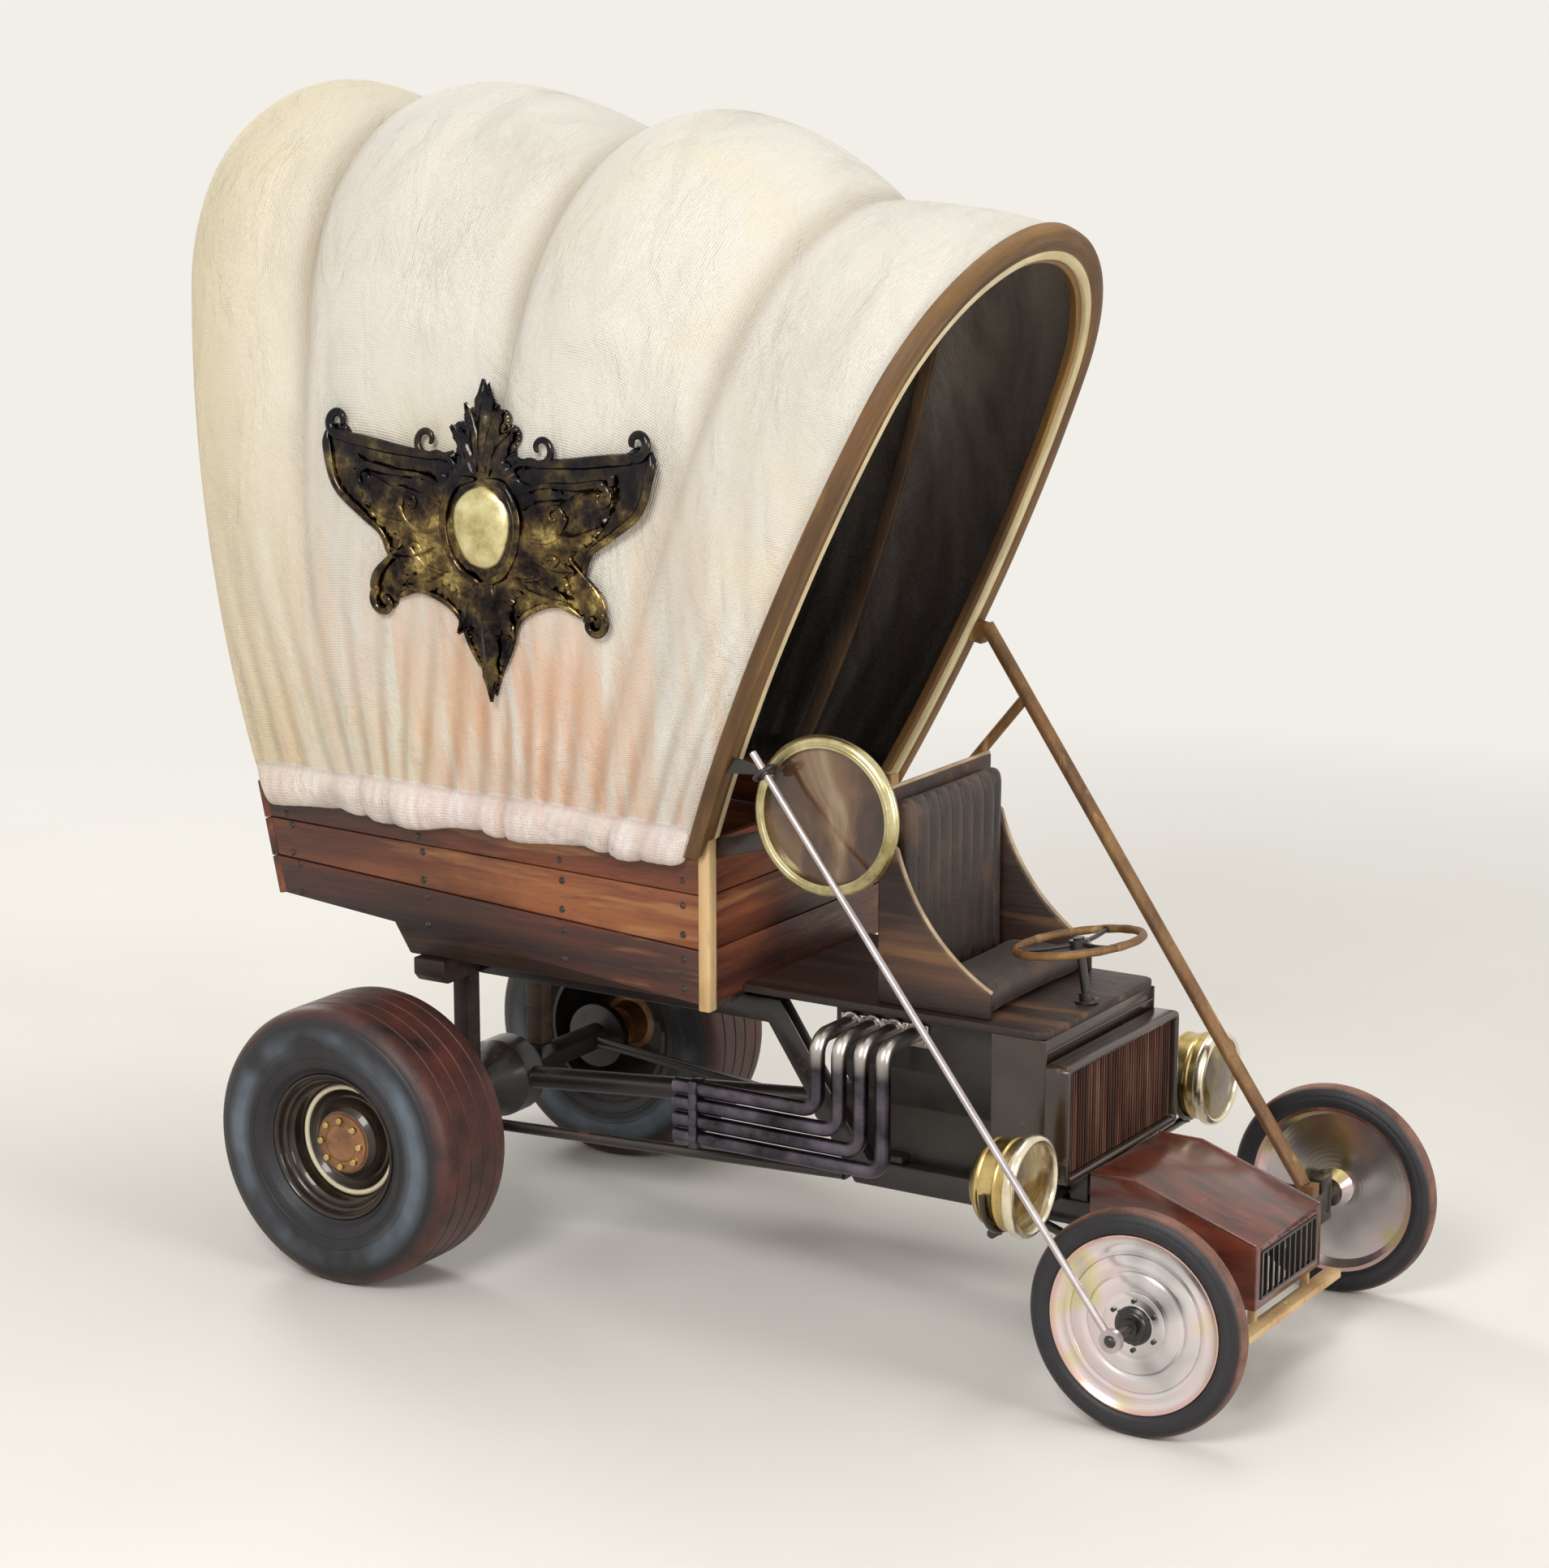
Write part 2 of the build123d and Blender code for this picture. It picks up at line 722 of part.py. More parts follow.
tailgate_gap = 3.0
hinge_pin_radius = 8.0
hinge_eye_radius = 14.0
hinge_eye_length = 50.0
hinge_ear = 18.0
hinge_y = 350.0
hinge_lift = 10.0
hinge_strap = 90.0
gate_length = hypot(box_rake, box_top - box_foot_z)
gate_back = board_gap + board_thickness
hinge_back = gate_back + hinge_eye_radius + 2
hinge_at = rear_end(hinge_lift, hinge_back)
with BuildPart() as tailgate:
    with BuildSketch(side_on(0)):
        with BuildLine():
            Polyline(
                rear_end(2, board_gap),
                rear_end(2, gate_back),
                rear_end(gate_length - 2, gate_back),
                rear_end(gate_length - 2, board_gap),
                close=True,
            )
        make_face()
    extrude(amount=box_half_width - tailgate_gap, both=True)
    for sign in (1, -1):
        with BuildSketch(side_on(sign * hinge_y)):
            with Locations(hinge_at):
                Circle(hinge_eye_radius)
            with BuildLine():
                Polyline(
                    hinge_at,
                    rear_end(hinge_lift, gate_back - 1),
                    rear_end(hinge_lift + hinge_eye_radius, gate_back - 1),
                    rear_end(hinge_lift + hinge_eye_radius, hinge_back),
                    close=True,
                )
            make_face()
        extrude(amount=hinge_eye_length / 2, both=True)
        with BuildSketch(side_on(sign * hinge_y)):
            with Locations(hinge_at):
                Circle(hinge_pin_radius + running_gap)
        extrude(amount=hinge_eye_length, both=True, mode=Mode.SUBTRACT)
save(tailgate, "tailgate")

with BuildPart() as tailgate_hinges:
    strap_front_x = box_foot_x + hinge_strap
    ear_inner = hinge_eye_length / 2 + board_gap
    for sign in (1, -1):
        with BuildSketch(side_on(sign * hinge_y)):
            with Locations(hinge_at):
                Circle(hinge_pin_radius)
        extrude(amount=ear_inner + hinge_ear, both=True)
        for end in (1, -1):
            with BuildSketch(side_on(sign * hinge_y + end * (ear_inner + hinge_ear / 2))):
                with Locations(hinge_at):
                    Circle(hinge_eye_radius)
                with BuildLine():
                    Polyline(
                        rear_end(hinge_lift, hinge_back + hinge_eye_radius),
                        rear_end(-18, hinge_back + hinge_eye_radius),
                        (strap_front_x, box_bottom(strap_front_x) - 12),
                        (strap_front_x, box_bottom(strap_front_x)),
                        (box_foot_x, box_foot_z),
                        rear_end(-3, 6),
                        rear_end(-3, hinge_back - hinge_eye_radius),
                        rear_end(hinge_lift, hinge_back - hinge_eye_radius),
                        close=True,
                    )
                make_face()
            extrude(amount=hinge_ear / 2, both=True)
save(tailgate_hinges, "tailgate_hinges")


# Bonnet sections
class Station:
    """One bent section of the bonnet: its plane, its height and its half width."""

    def __init__(self, share, ridge_z, spread):
        self.base_x = bonnet_base_rear + share * (bonnet_base_front - bonnet_base_rear)
        self.top_x = bonnet_top_rear + share * (bonnet_top_front - bonnet_top_rear)
        self.lean = Vector(self.top_x - self.base_x, 0, ridge_z - hem_z)
        self.height = self.lean.length
        self.shoulder = hem_half_width + spread
        up = self.lean.normalized()
        self.plane = Plane(
            origin=(self.base_x, 0, hem_z), x_dir=(0, 1, 0), z_dir=Vector(0, 1, 0).cross(up)
        )
        self.rise = up.Z


def arch(station, inset, foot_half, foot_z):
    """Half arch points: foot, shoulder and crown, drawn in by an inset."""
    shoulder = station.shoulder - inset
    crown = station.height - inset
    crown_radius = shoulder * sqrt(1 + shoulder_slope**2)
    shoulder_v = crown - crown_radius + shoulder_slope * shoulder
    foot_v = (foot_z - hem_z) / station.rise
    return (foot_half, foot_v), (shoulder, shoulder_v), (0, crown)


def arch_lines(station, inset, foot_half, foot_z):
    """One arch as two leg arcs and a crown arc."""
    foot, shoulder, crown = arch(station, inset, foot_half, foot_z)
    for hand in (1, -1):
        TangentArc(
            (hand * shoulder[0], shoulder[1]), (hand * foot[0], foot[1]),
            tangent=(hand * shoulder_slope, -1),
        )
    ThreePointArc((-shoulder[0], shoulder[1]), crown, shoulder)


def hoop_lines(station, outer_inset, outer_foot, inner_inset, inner_foot, leg_z, foot_z):
    """The outline between two arches of one station, with straight legs below leg_z."""
    arch_lines(station, outer_inset, outer_foot, leg_z)
    arch_lines(station, inner_inset, inner_foot, leg_z)
    leg_v = (leg_z - hem_z) / station.rise
    foot_v = (foot_z - hem_z) / station.rise
    for hand in (1, -1):
        if foot_z < leg_z:
            Line((hand * outer_foot, leg_v), (hand * outer_foot, foot_v))
            Line((hand * inner_foot, leg_v), (hand * inner_foot, foot_v))
        Line((hand * outer_foot, foot_v), (hand * inner_foot, foot_v))


stations = [Station(*row) for row in bonnet_stations]
with BuildPart() as canopy:
    for station in stations:
        with BuildSketch(station.plane):
            with BuildLine():
                hoop_lines(station, 0, hem_half_width, canvas_thickness,
                           hem_half_width - canvas_thickness, hem_z, hem_z)
            make_face()
    loft(ruled=True)
save(canopy, "canopy")

with BuildPart() as bows:
    for index in bow_stations:
        station = stations[index]
        outer_foot = inner_half - board_gap
        middle = index != 0
        with BuildSketch(station.plane):
            with BuildLine():
                inset = canvas_thickness + board_gap
                hoop_lines(station, inset, outer_foot, inset + bow_thickness,
                           outer_foot - bow_thickness, box_top + 6, bow_foot_z)
            make_face()
        extrude(amount=bow_width / 2 if middle else bow_width, both=middle)
save(bows, "bows")

front_station = stations[-1]
front_bow_bead = front_bow_inner - 18
with BuildPart() as front_bow:
    with BuildSketch(front_station.plane.offset(seat_gap)):
        with BuildLine():
            hoop_lines(front_station, -front_bow_outer, hem_half_width + front_bow_outer,
                       front_bow_inner, hem_half_width - front_bow_inner, hem_z, hem_z)
        make_face()
    extrude(amount=front_bow_depth - front_bow_lip)
    with BuildSketch(front_station.plane.offset(seat_gap + front_bow_depth - front_bow_lip)):
        with BuildLine():
            hoop_lines(front_station, -front_bow_outer, hem_half_width + front_bow_outer,
                       front_bow_bead, hem_half_width - front_bow_bead, hem_z, hem_z)
        make_face()
    extrude(amount=front_bow_lip)
    split(bisect_by=Plane.XY.offset(box_top + post_proud), keep=Keep.TOP)
save(front_bow, "front_bow")

with BuildPart() as rear_curtain:
    rear_station = stations[0]
    with BuildSketch(rear_station.plane.offset(-seat_gap)):
        foot, shoulder, crown = arch(rear_station, 0, hem_half_width + 4, curtain_bottom_z)
        with BuildLine():
            arch_lines(rear_station, 0, foot[0], curtain_bottom_z)
            Line((-foot[0], foot[1]), (foot[0], foot[1]))
        make_face()
        with Locations((0, (curtain_hole_z - hem_z) / rear_station.rise)):
            Ellipse(curtain_hole_half_width, curtain_hole_half_height, mode=Mode.SUBTRACT)
    extrude(amount=-canvas_thickness)
save(rear_curtain, "rear_curtain")

# Ornament on the right side of the bonnet: a curved plate cut to a scrolled outline
ornament_x = -615.0
ornament_z = 2350.0
ornament_thickness = 14.0
ornament_gap = 0.4
ornament_station = stations[3]
foot, shoulder, crown = arch(ornament_station, 0, hem_half_width, hem_z)
chord = Vector(shoulder[0] - foot[0], shoulder[1] - foot[1])
leg_slope = asin(shoulder_slope / hypot(1, shoulder_slope))
half_turn = leg_slope + asin(chord.X / chord.length)
leg_radius = chord.length / 2 / sin(half_turn)
swell_y = -(shoulder[0] + leg_radius * (1 - cos(leg_slope)) + ornament_gap)
swell_z = hem_z + (shoulder[1] - leg_radius * sin(leg_slope)) * ornament_station.rise
# one half of each outline as arcs, from the top to the bottom: a point on the way and an end
plate_arcs = (
    ((18, 426), (44, 392)), ((78, 386), (72, 348)), ((118, 338), (108, 292)),
    ((118, 250), (170, 252)), ((320, 262), (500, 290)), ((590, 296), (584, 236)),
    ((548, 130), (452, 52)), ((372, -6), (352, -72)), ((398, -118), (418, -176)),
    ((392, -236), (338, -196)), ((262, -160), (176, -184)), ((104, -236), (74, -318)),
    ((40, -380), (0, -470)),
)
shield_arcs = (
    ((70, 262), (130, 196)), ((290, 170), (470, 236)), ((450, 110), (330, -4)),
    ((300, -60), (318, -132)), ((200, -120), (110, -160)), ((60, -250), (0, -330)),
)
volutes = ((205, 291, 42), (540, 328, 46), (384, -214, 38))
shield_thickness = 26.0
boss_thickness = 38.0
boss_size = (84.0, 118.0)
boss_rise = 45.0
volute_thickness = 22.0


def symmetric_outline(top, arcs):
    """A closed outline of arcs, the same on both sides of the ornament's middle."""
    for hand in (1, -1):
        start = (ornament_x, ornament_z + top)
        for way, end in arcs:
            last = (ornament_x + hand * end[0], ornament_z + end[1])
            ThreePointArc(start, (ornament_x + hand * way[0], ornament_z + way[1]), last)
            start = last


with BuildPart() as ornament_plate:
    band_plane = Plane(
        origin=(ornament_x - 650, swell_y + leg_radius, swell_z), x_dir=(0, 1, 0), z_dir=(1, 0, 0)
    )
    for layer, thickness in enumerate(
        (ornament_thickness, shield_thickness, volute_thickness, boss_thickness)
    ):
        with BuildPart() as relief:
            with BuildSketch(band_plane):
                Circle(leg_radius + thickness)
                Circle(leg_radius, mode=Mode.SUBTRACT)
                with Locations((-leg_radius, 0)):
                    Rectangle(400, 1300, mode=Mode.INTERSECT)
            extrude(amount=1300)
            with BuildSketch(side_on(0)):
                if layer == 0:
                    with BuildLine():
                        symmetric_outline(470, plate_arcs)
                    make_face()
                elif layer == 1:
                    with BuildLine():
                        symmetric_outline(300, shield_arcs)
                    make_face()
                elif layer == 2:
                    for volute_u, volute_v, volute_radius in volutes:
                        for hand in (1, -1):
                            with Locations((ornament_x + hand * volute_u, ornament_z + volute_v)):
                                Circle(volute_radius)
                                Circle(volute_radius * 0.45, mode=Mode.SUBTRACT)
                else:
                    with Locations((ornament_x, ornament_z + boss_rise)):
                        Ellipse(*boss_size)
            extrude(amount=900, mode=Mode.INTERSECT)
        add(relief)
save(ornament_plate, "ornament_plate")

# Driver's deck, cowl sides and seat
deck_top = deck_bottom + deck_thickness
with BuildPart() as deck:
    with BuildSketch(Plane.XY.offset(deck_bottom)):
        with Locations(((box_front_x + board_thickness + deck_front_x) / 2, 0)):
            Rectangle(deck_front_x - box_front_x - board_thickness, 2 * deck_half_width)
    extrude(amount=deck_thickness)
    fillet(deck.edges().filter_by(Axis.Z).group_by(Axis.X)[-1], 40)
save(deck, "driver_deck")

cowl_rear_x = 900.0
cowl_thickness = 6.0
with BuildPart() as cowl_sides:
    for sign in (1, -1):
        with BuildSketch(side_on(sign * (deck_half_width - 10))):
            with BuildLine():
                Polyline(
                    (cowl_rear_x, deck_bottom),
                    (radiator_rear_x, deck_bottom),
                    (radiator_rear_x, radiator_bottom),
                    (cowl_rear_x + 60, radiator_bottom),
                    (cowl_rear_x, radiator_bottom + 90),
                    close=True,
                )
            make_face()
        extrude(amount=cowl_thickness / 2, both=True)
save(cowl_sides, "cowl_sides")

with BuildPart() as seat_frame:
    with BuildSketch(side_on(0)):
        with BuildLine():
            Polyline(
                (seat_rear_x, deck_top),
                (seat_rear_x + seat_board_thickness, deck_top),
                (seat_rear_x + seat_board_thickness, seat_back_top + 12),
                (seat_rear_x, seat_back_top + 12),
                close=True,
            )
        make_face()
    extrude(amount=seat_half_width, both=True)
    for sign in (1, -1):
        with BuildSketch(side_on(sign * (seat_half_width - seat_board_thickness / 2))):
            with BuildLine():
                Polyline(
                    (seat_rear_x, deck_top),
                    (seat_rear_x + seat_board_thickness + cushion_length, deck_top),
                    (seat_rear_x + seat_board_thickness + cushion_length, deck_top + 80),
                )
                ThreePointArc(
                    (seat_rear_x + seat_board_thickness + cushion_length, deck_top + 80),
                    (seat_rear_x + 190, deck_top + 230),
                    (seat_rear_x + 60, seat_back_top - 160),
                )
                Polyline(
                    (seat_rear_x + 60, seat_back_top - 160),
                    (seat_rear_x, seat_back_top - 120),
                    (seat_rear_x, deck_top),
                )
            make_face()
        extrude(amount=seat_board_thickness / 2, both=True)
save(seat_frame, "seat_frame")

seat_inner = seat_half_width - seat_board_thickness
back_front_x = seat_rear_x + seat_board_thickness + seat_gap + seat_back_thickness
with BuildPart() as seat_back:
    with BuildSketch(Plane.XY.offset(deck_top + seat_gap)):
        with Locations((back_front_x - seat_back_thickness / 2, 0)):
            Rectangle(seat_back_thickness, 2 * (seat_inner - seat_gap))
    extrude(amount=seat_back_top - deck_top - seat_gap)
    fillet(seat_back.edges().filter_by(Axis.Y).sort_by(Axis.Z)[-1], 25)
save(seat_back, "seat_back")

with BuildPart() as seat_cushion:
    cushion_rear = back_front_x + seat_gap
    cushion_front = seat_rear_x + seat_board_thickness + cushion_length - 4
    with BuildSketch(Plane.XY.offset(deck_top + seat_gap)):
        with Locations(((cushion_rear + cushion_front) / 2, 0)):
            Rectangle(cushion_front - cushion_rear, 2 * (seat_inner - seat_gap))
    extrude(amount=cushion_height)
    fillet(seat_cushion.edges().filter_by(Axis.Y).group_by(Axis.Z)[-1], 25)
save(seat_cushion, "seat_cushion")

# Steering column and wheel
column_foot_x = deck_front_x - 50
wheel_hub_x = deck_front_x - 80
wheel_hub_z = deck_top + 180
column_foot = Vector(column_foot_x, 0, deck_top)
wheel_hub = Vector(wheel_hub_x, 0, wheel_hub_z)
column_flange_radius = 38.0
wheel_hub_radius = 34.0
spoke_width = 22.0
column_way = (wheel_hub - column_foot).normalized()
column_radius = 16.0
steering_wheel_radius = 190.0
steering_rim_radius = 13.0
with BuildPart() as steering_column:
    with BuildSketch(Plane(origin=column_foot + column_way * 6, z_dir=column_way)):
        Circle(column_radius)
    extrude(amount=(wheel_hub - column_foot).length - 6)
    with BuildSketch(Plane.XY.offset(deck_top)):
        with Locations((column_foot.X, 0)):
            Circle(column_flange_radius)
    extrude(amount=22, taper=12)
    with BuildSketch(Plane(origin=wheel_hub, z_dir=column_way)):
        Circle(wheel_hub_radius)
    extrude(amount=26)
    rim_plane = Plane(origin=wheel_hub + column_way * 13, x_dir=(0, 1, 0), z_dir=column_way)
    with BuildSketch(Plane(origin=rim_plane.origin, x_dir=rim_plane.x_dir, z_dir=rim_plane.y_dir)):
        with Locations((steering_wheel_radius, 0)):
            Circle(steering_rim_radius)
    revolve(axis=Axis(rim_plane.origin, column_way))
    with BuildSketch(rim_plane.offset(-5)):
        with PolarLocations(steering_wheel_radius / 2, 3, start_angle=30):
            Rectangle(steering_wheel_radius, spoke_width)
    extrude(amount=10)
save(steering_column, "steering_wheel")

# Engine: crankcase with two banks, gearbox, drive tube and exhausts
with BuildPart() as engine:
    with BuildSketch(across(engine_rear_x, 0)):
        with BuildLine():
            Polyline(
                (-engine_half_width, engine_bottom),
                (engine_half_width, engine_bottom),
                (engine_half_width, crankcase_top),
                (bank_half_width, bank_low_z),
                (bank_half_width, engine_top),
                (bank_inner, engine_top),
                (valley_half_width, valley_z),
                (-valley_half_width, valley_z),
                (-bank_inner, engine_top),
                (-bank_half_width, engine_top),
                (-bank_half_width, bank_low_z),
                (-engine_half_width, crankcase_top),
                close=True,
            )
        make_face()
    extrude(amount=engine_front_x - engine_rear_x)
    for x in (engine_rear_x + 150, engine_front_x - 150):
        with BuildSketch(Plane.XY.offset(rail_low_top)):
            with Locations((x, 0)):
                Rectangle(70, 2 * (rail_y + 15))
        extrude(amount=24)
    with BuildSketch(Plane.YZ.offset(engine_rear_x - gearbox_length)):
        with Locations((0, drive_z)):
            Circle(gearbox_radius * 0.62)
    with BuildSketch(Plane.YZ.offset(engine_rear_x)):
        with Locations((0, drive_z)):
            Circle(gearbox_radius)
    loft(ruled=True)
save(engine, "engine_block")

with BuildPart() as exhausts:
    flange = 10.0
    for sign in (1, -1):
        with BuildSketch(side_on(sign * bank_half_width)):
            with Locations((pipe_first_x + pipe_pitch_x * (pipe_count - 1) / 2, port_z - 10)):
                Rectangle(pipe_pitch_x * pipe_count, 70)
        extrude(amount=-sign * flange)
        for index in range(pipe_count):
            x = pipe_first_x + index * pipe_pitch_x
            z = pipe_first_z - index * pipe_pitch_z
            with BuildLine() as route:
                FilletPolyline(
                    (x, sign * (bank_half_width + flange / 2), port_z),
                    (x, sign * pipe_out_y, port_z),
                    (x, sign * pipe_out_y, z),
                    (pipe_end_x, sign * pipe_out_y, z),
                    radius=pipe_bend,
                )
            with BuildSketch(Plane(origin=route.line @ 0, z_dir=route.line % 0)):
                Circle(pipe_radius)
            sweep(path=route.line)
        low_z = pipe_first_z - (pipe_count - 1) * pipe_pitch_z
        with BuildSketch(Plane.YZ.offset(pipe_end_x + 60)):
            with Locations((sign * pipe_out_y, (pipe_first_z + low_z) / 2)):
                Rectangle(2 * pipe_radius + 8, pipe_first_z - low_z + 2 * pipe_radius + 8)
        extrude(amount=30)
save(exhausts, "exhaust_pipes")

# Radiator
with BuildPart() as radiator_shell:
    with BuildSketch(Plane.YZ.offset(radiator_rear_x)):
        with Locations((0, (radiator_bottom + radiator_top) / 2)):
            RectangleRounded(2 * radiator_half_width, radiator_top - radiator_bottom, 26)
            RectangleRounded(
                2 * (radiator_half_width - radiator_wall),
                radiator_top - radiator_bottom - 2 * radiator_wall, 8, mode=Mode.SUBTRACT,
            )
    extrude(amount=radiator_depth)
save(radiator_shell, "radiator_shell")

with BuildPart() as radiator_core:
    with BuildSketch(Plane.YZ.offset(radiator_rear_x + 12)):
        with Locations((0, (radiator_bottom + radiator_top) / 2)):
            RectangleRounded(
                2 * (radiator_half_width - radiator_wall - seat_gap),
                radiator_top - radiator_bottom - 2 * (radiator_wall + seat_gap), 8,
            )
    extrude(amount=radiator_depth - 30)
save(radiator_core, "radiator_core")

# Nose cover, grille and front bar
with BuildPart() as nose:
    with BuildSketch(side_on(0)):
        with BuildLine():
            Polyline(
                (nose_rear_x, nose_bottom),
                (nose_front_x, nose_bottom),
                (nose_front_x, nose_top_front),
                (nose_break_x, nose_top_rear),
                (nose_rear_x, nose_top_rear),
                close=True,
            )
        make_face()
    extrude(amount=nose_half_width, both=True)
    nose_inner = nose_half_width - nose_wall
    with BuildSketch(side_on(0)):
        with BuildLine():
            Polyline(
                (nose_rear_x - 1, nose_bottom - 1),
                (nose_front_x - nose_wall, nose_bottom - 1),
                (nose_front_x - nose_wall, nose_top_front - nose_wall),
                (nose_break_x, nose_top_rear - nose_wall),
                (nose_rear_x - 1, nose_top_rear - nose_wall),
                close=True,
            )
        make_face()
    extrude(amount=nose_inner, both=True, mode=Mode.SUBTRACT)
    with BuildSketch(side_on(0)):
        with Locations((front_axle_x, (nose_bottom + axle_z + beam_depth / 2 + 20) / 2)):
            Rectangle(beam_width + 50, axle_z + beam_depth / 2 + 22 - nose_bottom)
    extrude(amount=nose_half_width + 5, both=True, mode=Mode.SUBTRACT)
    with BuildSketch(Plane.YZ.offset(nose_front_x - nose_wall - 1)):
        with Locations((0, (nose_bottom + nose_top_front) / 2)):
            Rectangle(2 * nose_half_width - 70, nose_top_front - nose_bottom - 50)
    extrude(amount=nose_wall + 2, mode=Mode.SUBTRACT)
    with BuildSketch(Plane.XY.offset(rail_low_top)):
        with Locations((nose_rear_x + 60, 0), (nose_break_x - 20, 0)):
            Rectangle(6, 2 * nose_inner)
    extrude(amount=nose_top_rear - nose_wall / 2 - rail_low_top)
save(nose, "nose_cover")

grille_half = nose_half_width - 35
grille_low = nose_bottom + 25
grille_high = nose_top_front - 25
grille_bars = 9
with BuildPart() as grille:
    with BuildSketch(Plane.YZ.offset(nose_front_x - nose_wall)):
        with Locations((0, (grille_low + grille_high) / 2)):
            Rectangle(2 * grille_half, grille_high - grille_low)
            Rectangle(2 * grille_half - 16, grille_high - grille_low - 16, mode=Mode.SUBTRACT)
            with GridLocations(2 * grille_half / (grille_bars + 1), 0, grille_bars, 1):
                Rectangle(8, grille_high - grille_low - 8)
    extrude(amount=nose_wall + 4)
save(grille, "nose_grille")

with BuildPart() as front_bar:
    with BuildSketch(Plane.XY.offset(bar_z - bar_thickness / 2)):
        with Locations((nose_front_x, 0)):
            RectangleRounded(bar_width, 2 * bar_half_length, 12)
            Circle(bar_hole_radius, mode=Mode.SUBTRACT)
    extrude(amount=bar_thickness)
    for sign in (1, -1):
        with BuildSketch(side_on(sign * rail_y)):
            with BuildLine():
                Polyline(
                    (rail_front_x, bar_z - bar_thickness / 2),
                    (rail_front_x + 26, bar_z - bar_thickness / 2),
                    (rail_front_x + 20, rail_low_top - 44),
                    (rail_front_x, rail_low_top - 44),
                    close=True,
                )
            make_face()
        extrude(amount=8, both=True)
save(front_bar, "front_bar")

# Headlamps on their bar
with BuildPart() as lamp_bar:
    bar_height = rail_low_top + lamp_bar_radius
    with BuildSketch(side_on(0)):
        with Locations((lamp_bar_x, bar_height)):
            Circle(lamp_bar_radius)
    extrude(amount=headlamp_y + 20, both=True)
    with BuildSketch(Plane.XY.offset(bar_height)):
        with Locations((lamp_bar_x, headlamp_y), (lamp_bar_x, -headlamp_y)):
            Circle(lamp_bar_radius)
    extrude(amount=headlamp_z - bar_height - headlamp_radius * 0.844)
save(lamp_bar, "lamp_bar")

lamp_back_x = headlamp_x - headlamp_depth
with BuildPart() as headlamps:
    for sign in (1, -1):
        with BuildSketch(side_on(sign * headlamp_y)):
            with BuildLine():
                Polyline(*[(x, headlamp_z + r) for x, r in (
                    (lamp_back_x, 0),
                    (lamp_back_x, headlamp_radius * 0.55),
                    (lamp_back_x + 30, headlamp_radius * 0.82),
                    (headlamp_x - 34, headlamp_radius - 12),
                    (headlamp_x - 30, headlamp_radius),
                    (headlamp_x - 8, headlamp_radius),
                    (headlamp_x, headlamp_radius - 8),
                    (headlamp_x, headlamp_radius - headlamp_rim),
                    (headlamp_x - 34, headlamp_radius - headlamp_rim),
                    (lamp_back_x + 44, headlamp_radius * 0.66),
                    (lamp_back_x + 14, 30),
                    (lamp_back_x + 14, 0),
                )], close=True)
            make_face()
        revolve(axis=Axis((0, sign * headlamp_y, headlamp_z), (1, 0, 0)))
save(headlamps, "headlamps")

with BuildPart() as headlamp_glasses:
    glass_radius = headlamp_radius - headlamp_rim - seat_gap
    for sign in (1, -1):
        with BuildSketch(side_on(sign * headlamp_y)):
            with BuildLine():
                Polyline(*[(x, headlamp_z + r) for x, r in (
                    (headlamp_x - 16, 0),
                    (headlamp_x - 16, glass_radius),
                    (headlamp_x - 8, glass_radius),
                    (headlamp_x - 2, 0),
                )], close=True)
            make_face()
        revolve(axis=Axis((0, sign * headlamp_y, headlamp_z), (1, 0, 0)))
save(headlamp_glasses, "headlamp_glasses")

# Side lamp on the near front corner
lamp_axis = Axis((side_lamp_x, 0, side_lamp_z), (0, 1, 0))
side_plane = Plane(origin=(side_lamp_x, 0, side_lamp_z), x_dir=(0, 1, 0), z_dir=(1, 0, 0))
lamp_back_y = side_lamp_face_y + side_lamp_depth
with BuildPart() as side_lamp:
    with BuildSketch(side_plane):
        with BuildLine():
            Polyline(
                (lamp_back_y, 0),
                (lamp_back_y, side_lamp_radius * 0.72),
                (side_lamp_face_y + 44, side_lamp_radius - 22),
                (side_lamp_face_y + 36, side_lamp_radius),
                (side_lamp_face_y + 8, side_lamp_radius),
                (side_lamp_face_y, side_lamp_radius - 10),
                (side_lamp_face_y, side_lamp_radius - side_lamp_rim),
                (side_lamp_face_y + 40, side_lamp_radius - side_lamp_rim),
                (lamp_back_y - 12, side_lamp_radius * 0.66),
                (lamp_back_y - 12, 0),
                close=True,
            )
        make_face()
    revolve(axis=lamp_axis)
save(side_lamp, "side_lamp")
with BuildPart() as side_glass:
    with BuildSketch(side_plane):
        with BuildLine():
            Polyline(
                (side_lamp_face_y + 26, 0),
                (side_lamp_face_y + 26, side_lamp_radius - side_lamp_rim - seat_gap),
                (side_lamp_face_y + 14, side_lamp_radius - side_lamp_rim - seat_gap),
                (side_lamp_face_y + 6, 0),
                close=True,
            )
        make_face()
    revolve(axis=lamp_axis)
save(side_glass, "side_lamp_glass")

lamp_arm_depth = 40.0
with BuildPart() as lamp_arm:
    with BuildSketch(Plane.XZ.offset(-lamp_back_y)):
        with BuildLine():
            Polyline(
                (box_front_x + board_thickness, box_top - 60),
                (side_lamp_x - 60, side_lamp_z - 90),
                (side_lamp_x, side_lamp_z - 60),
                (side_lamp_x, side_lamp_z),
                (side_lamp_x - 90, side_lamp_z - 40),
                (box_front_x + board_thickness, box_top),
                close=True,
            )
        make_face()
    extrude(amount=-16)
save(lamp_arm, "side_lamp_arm")



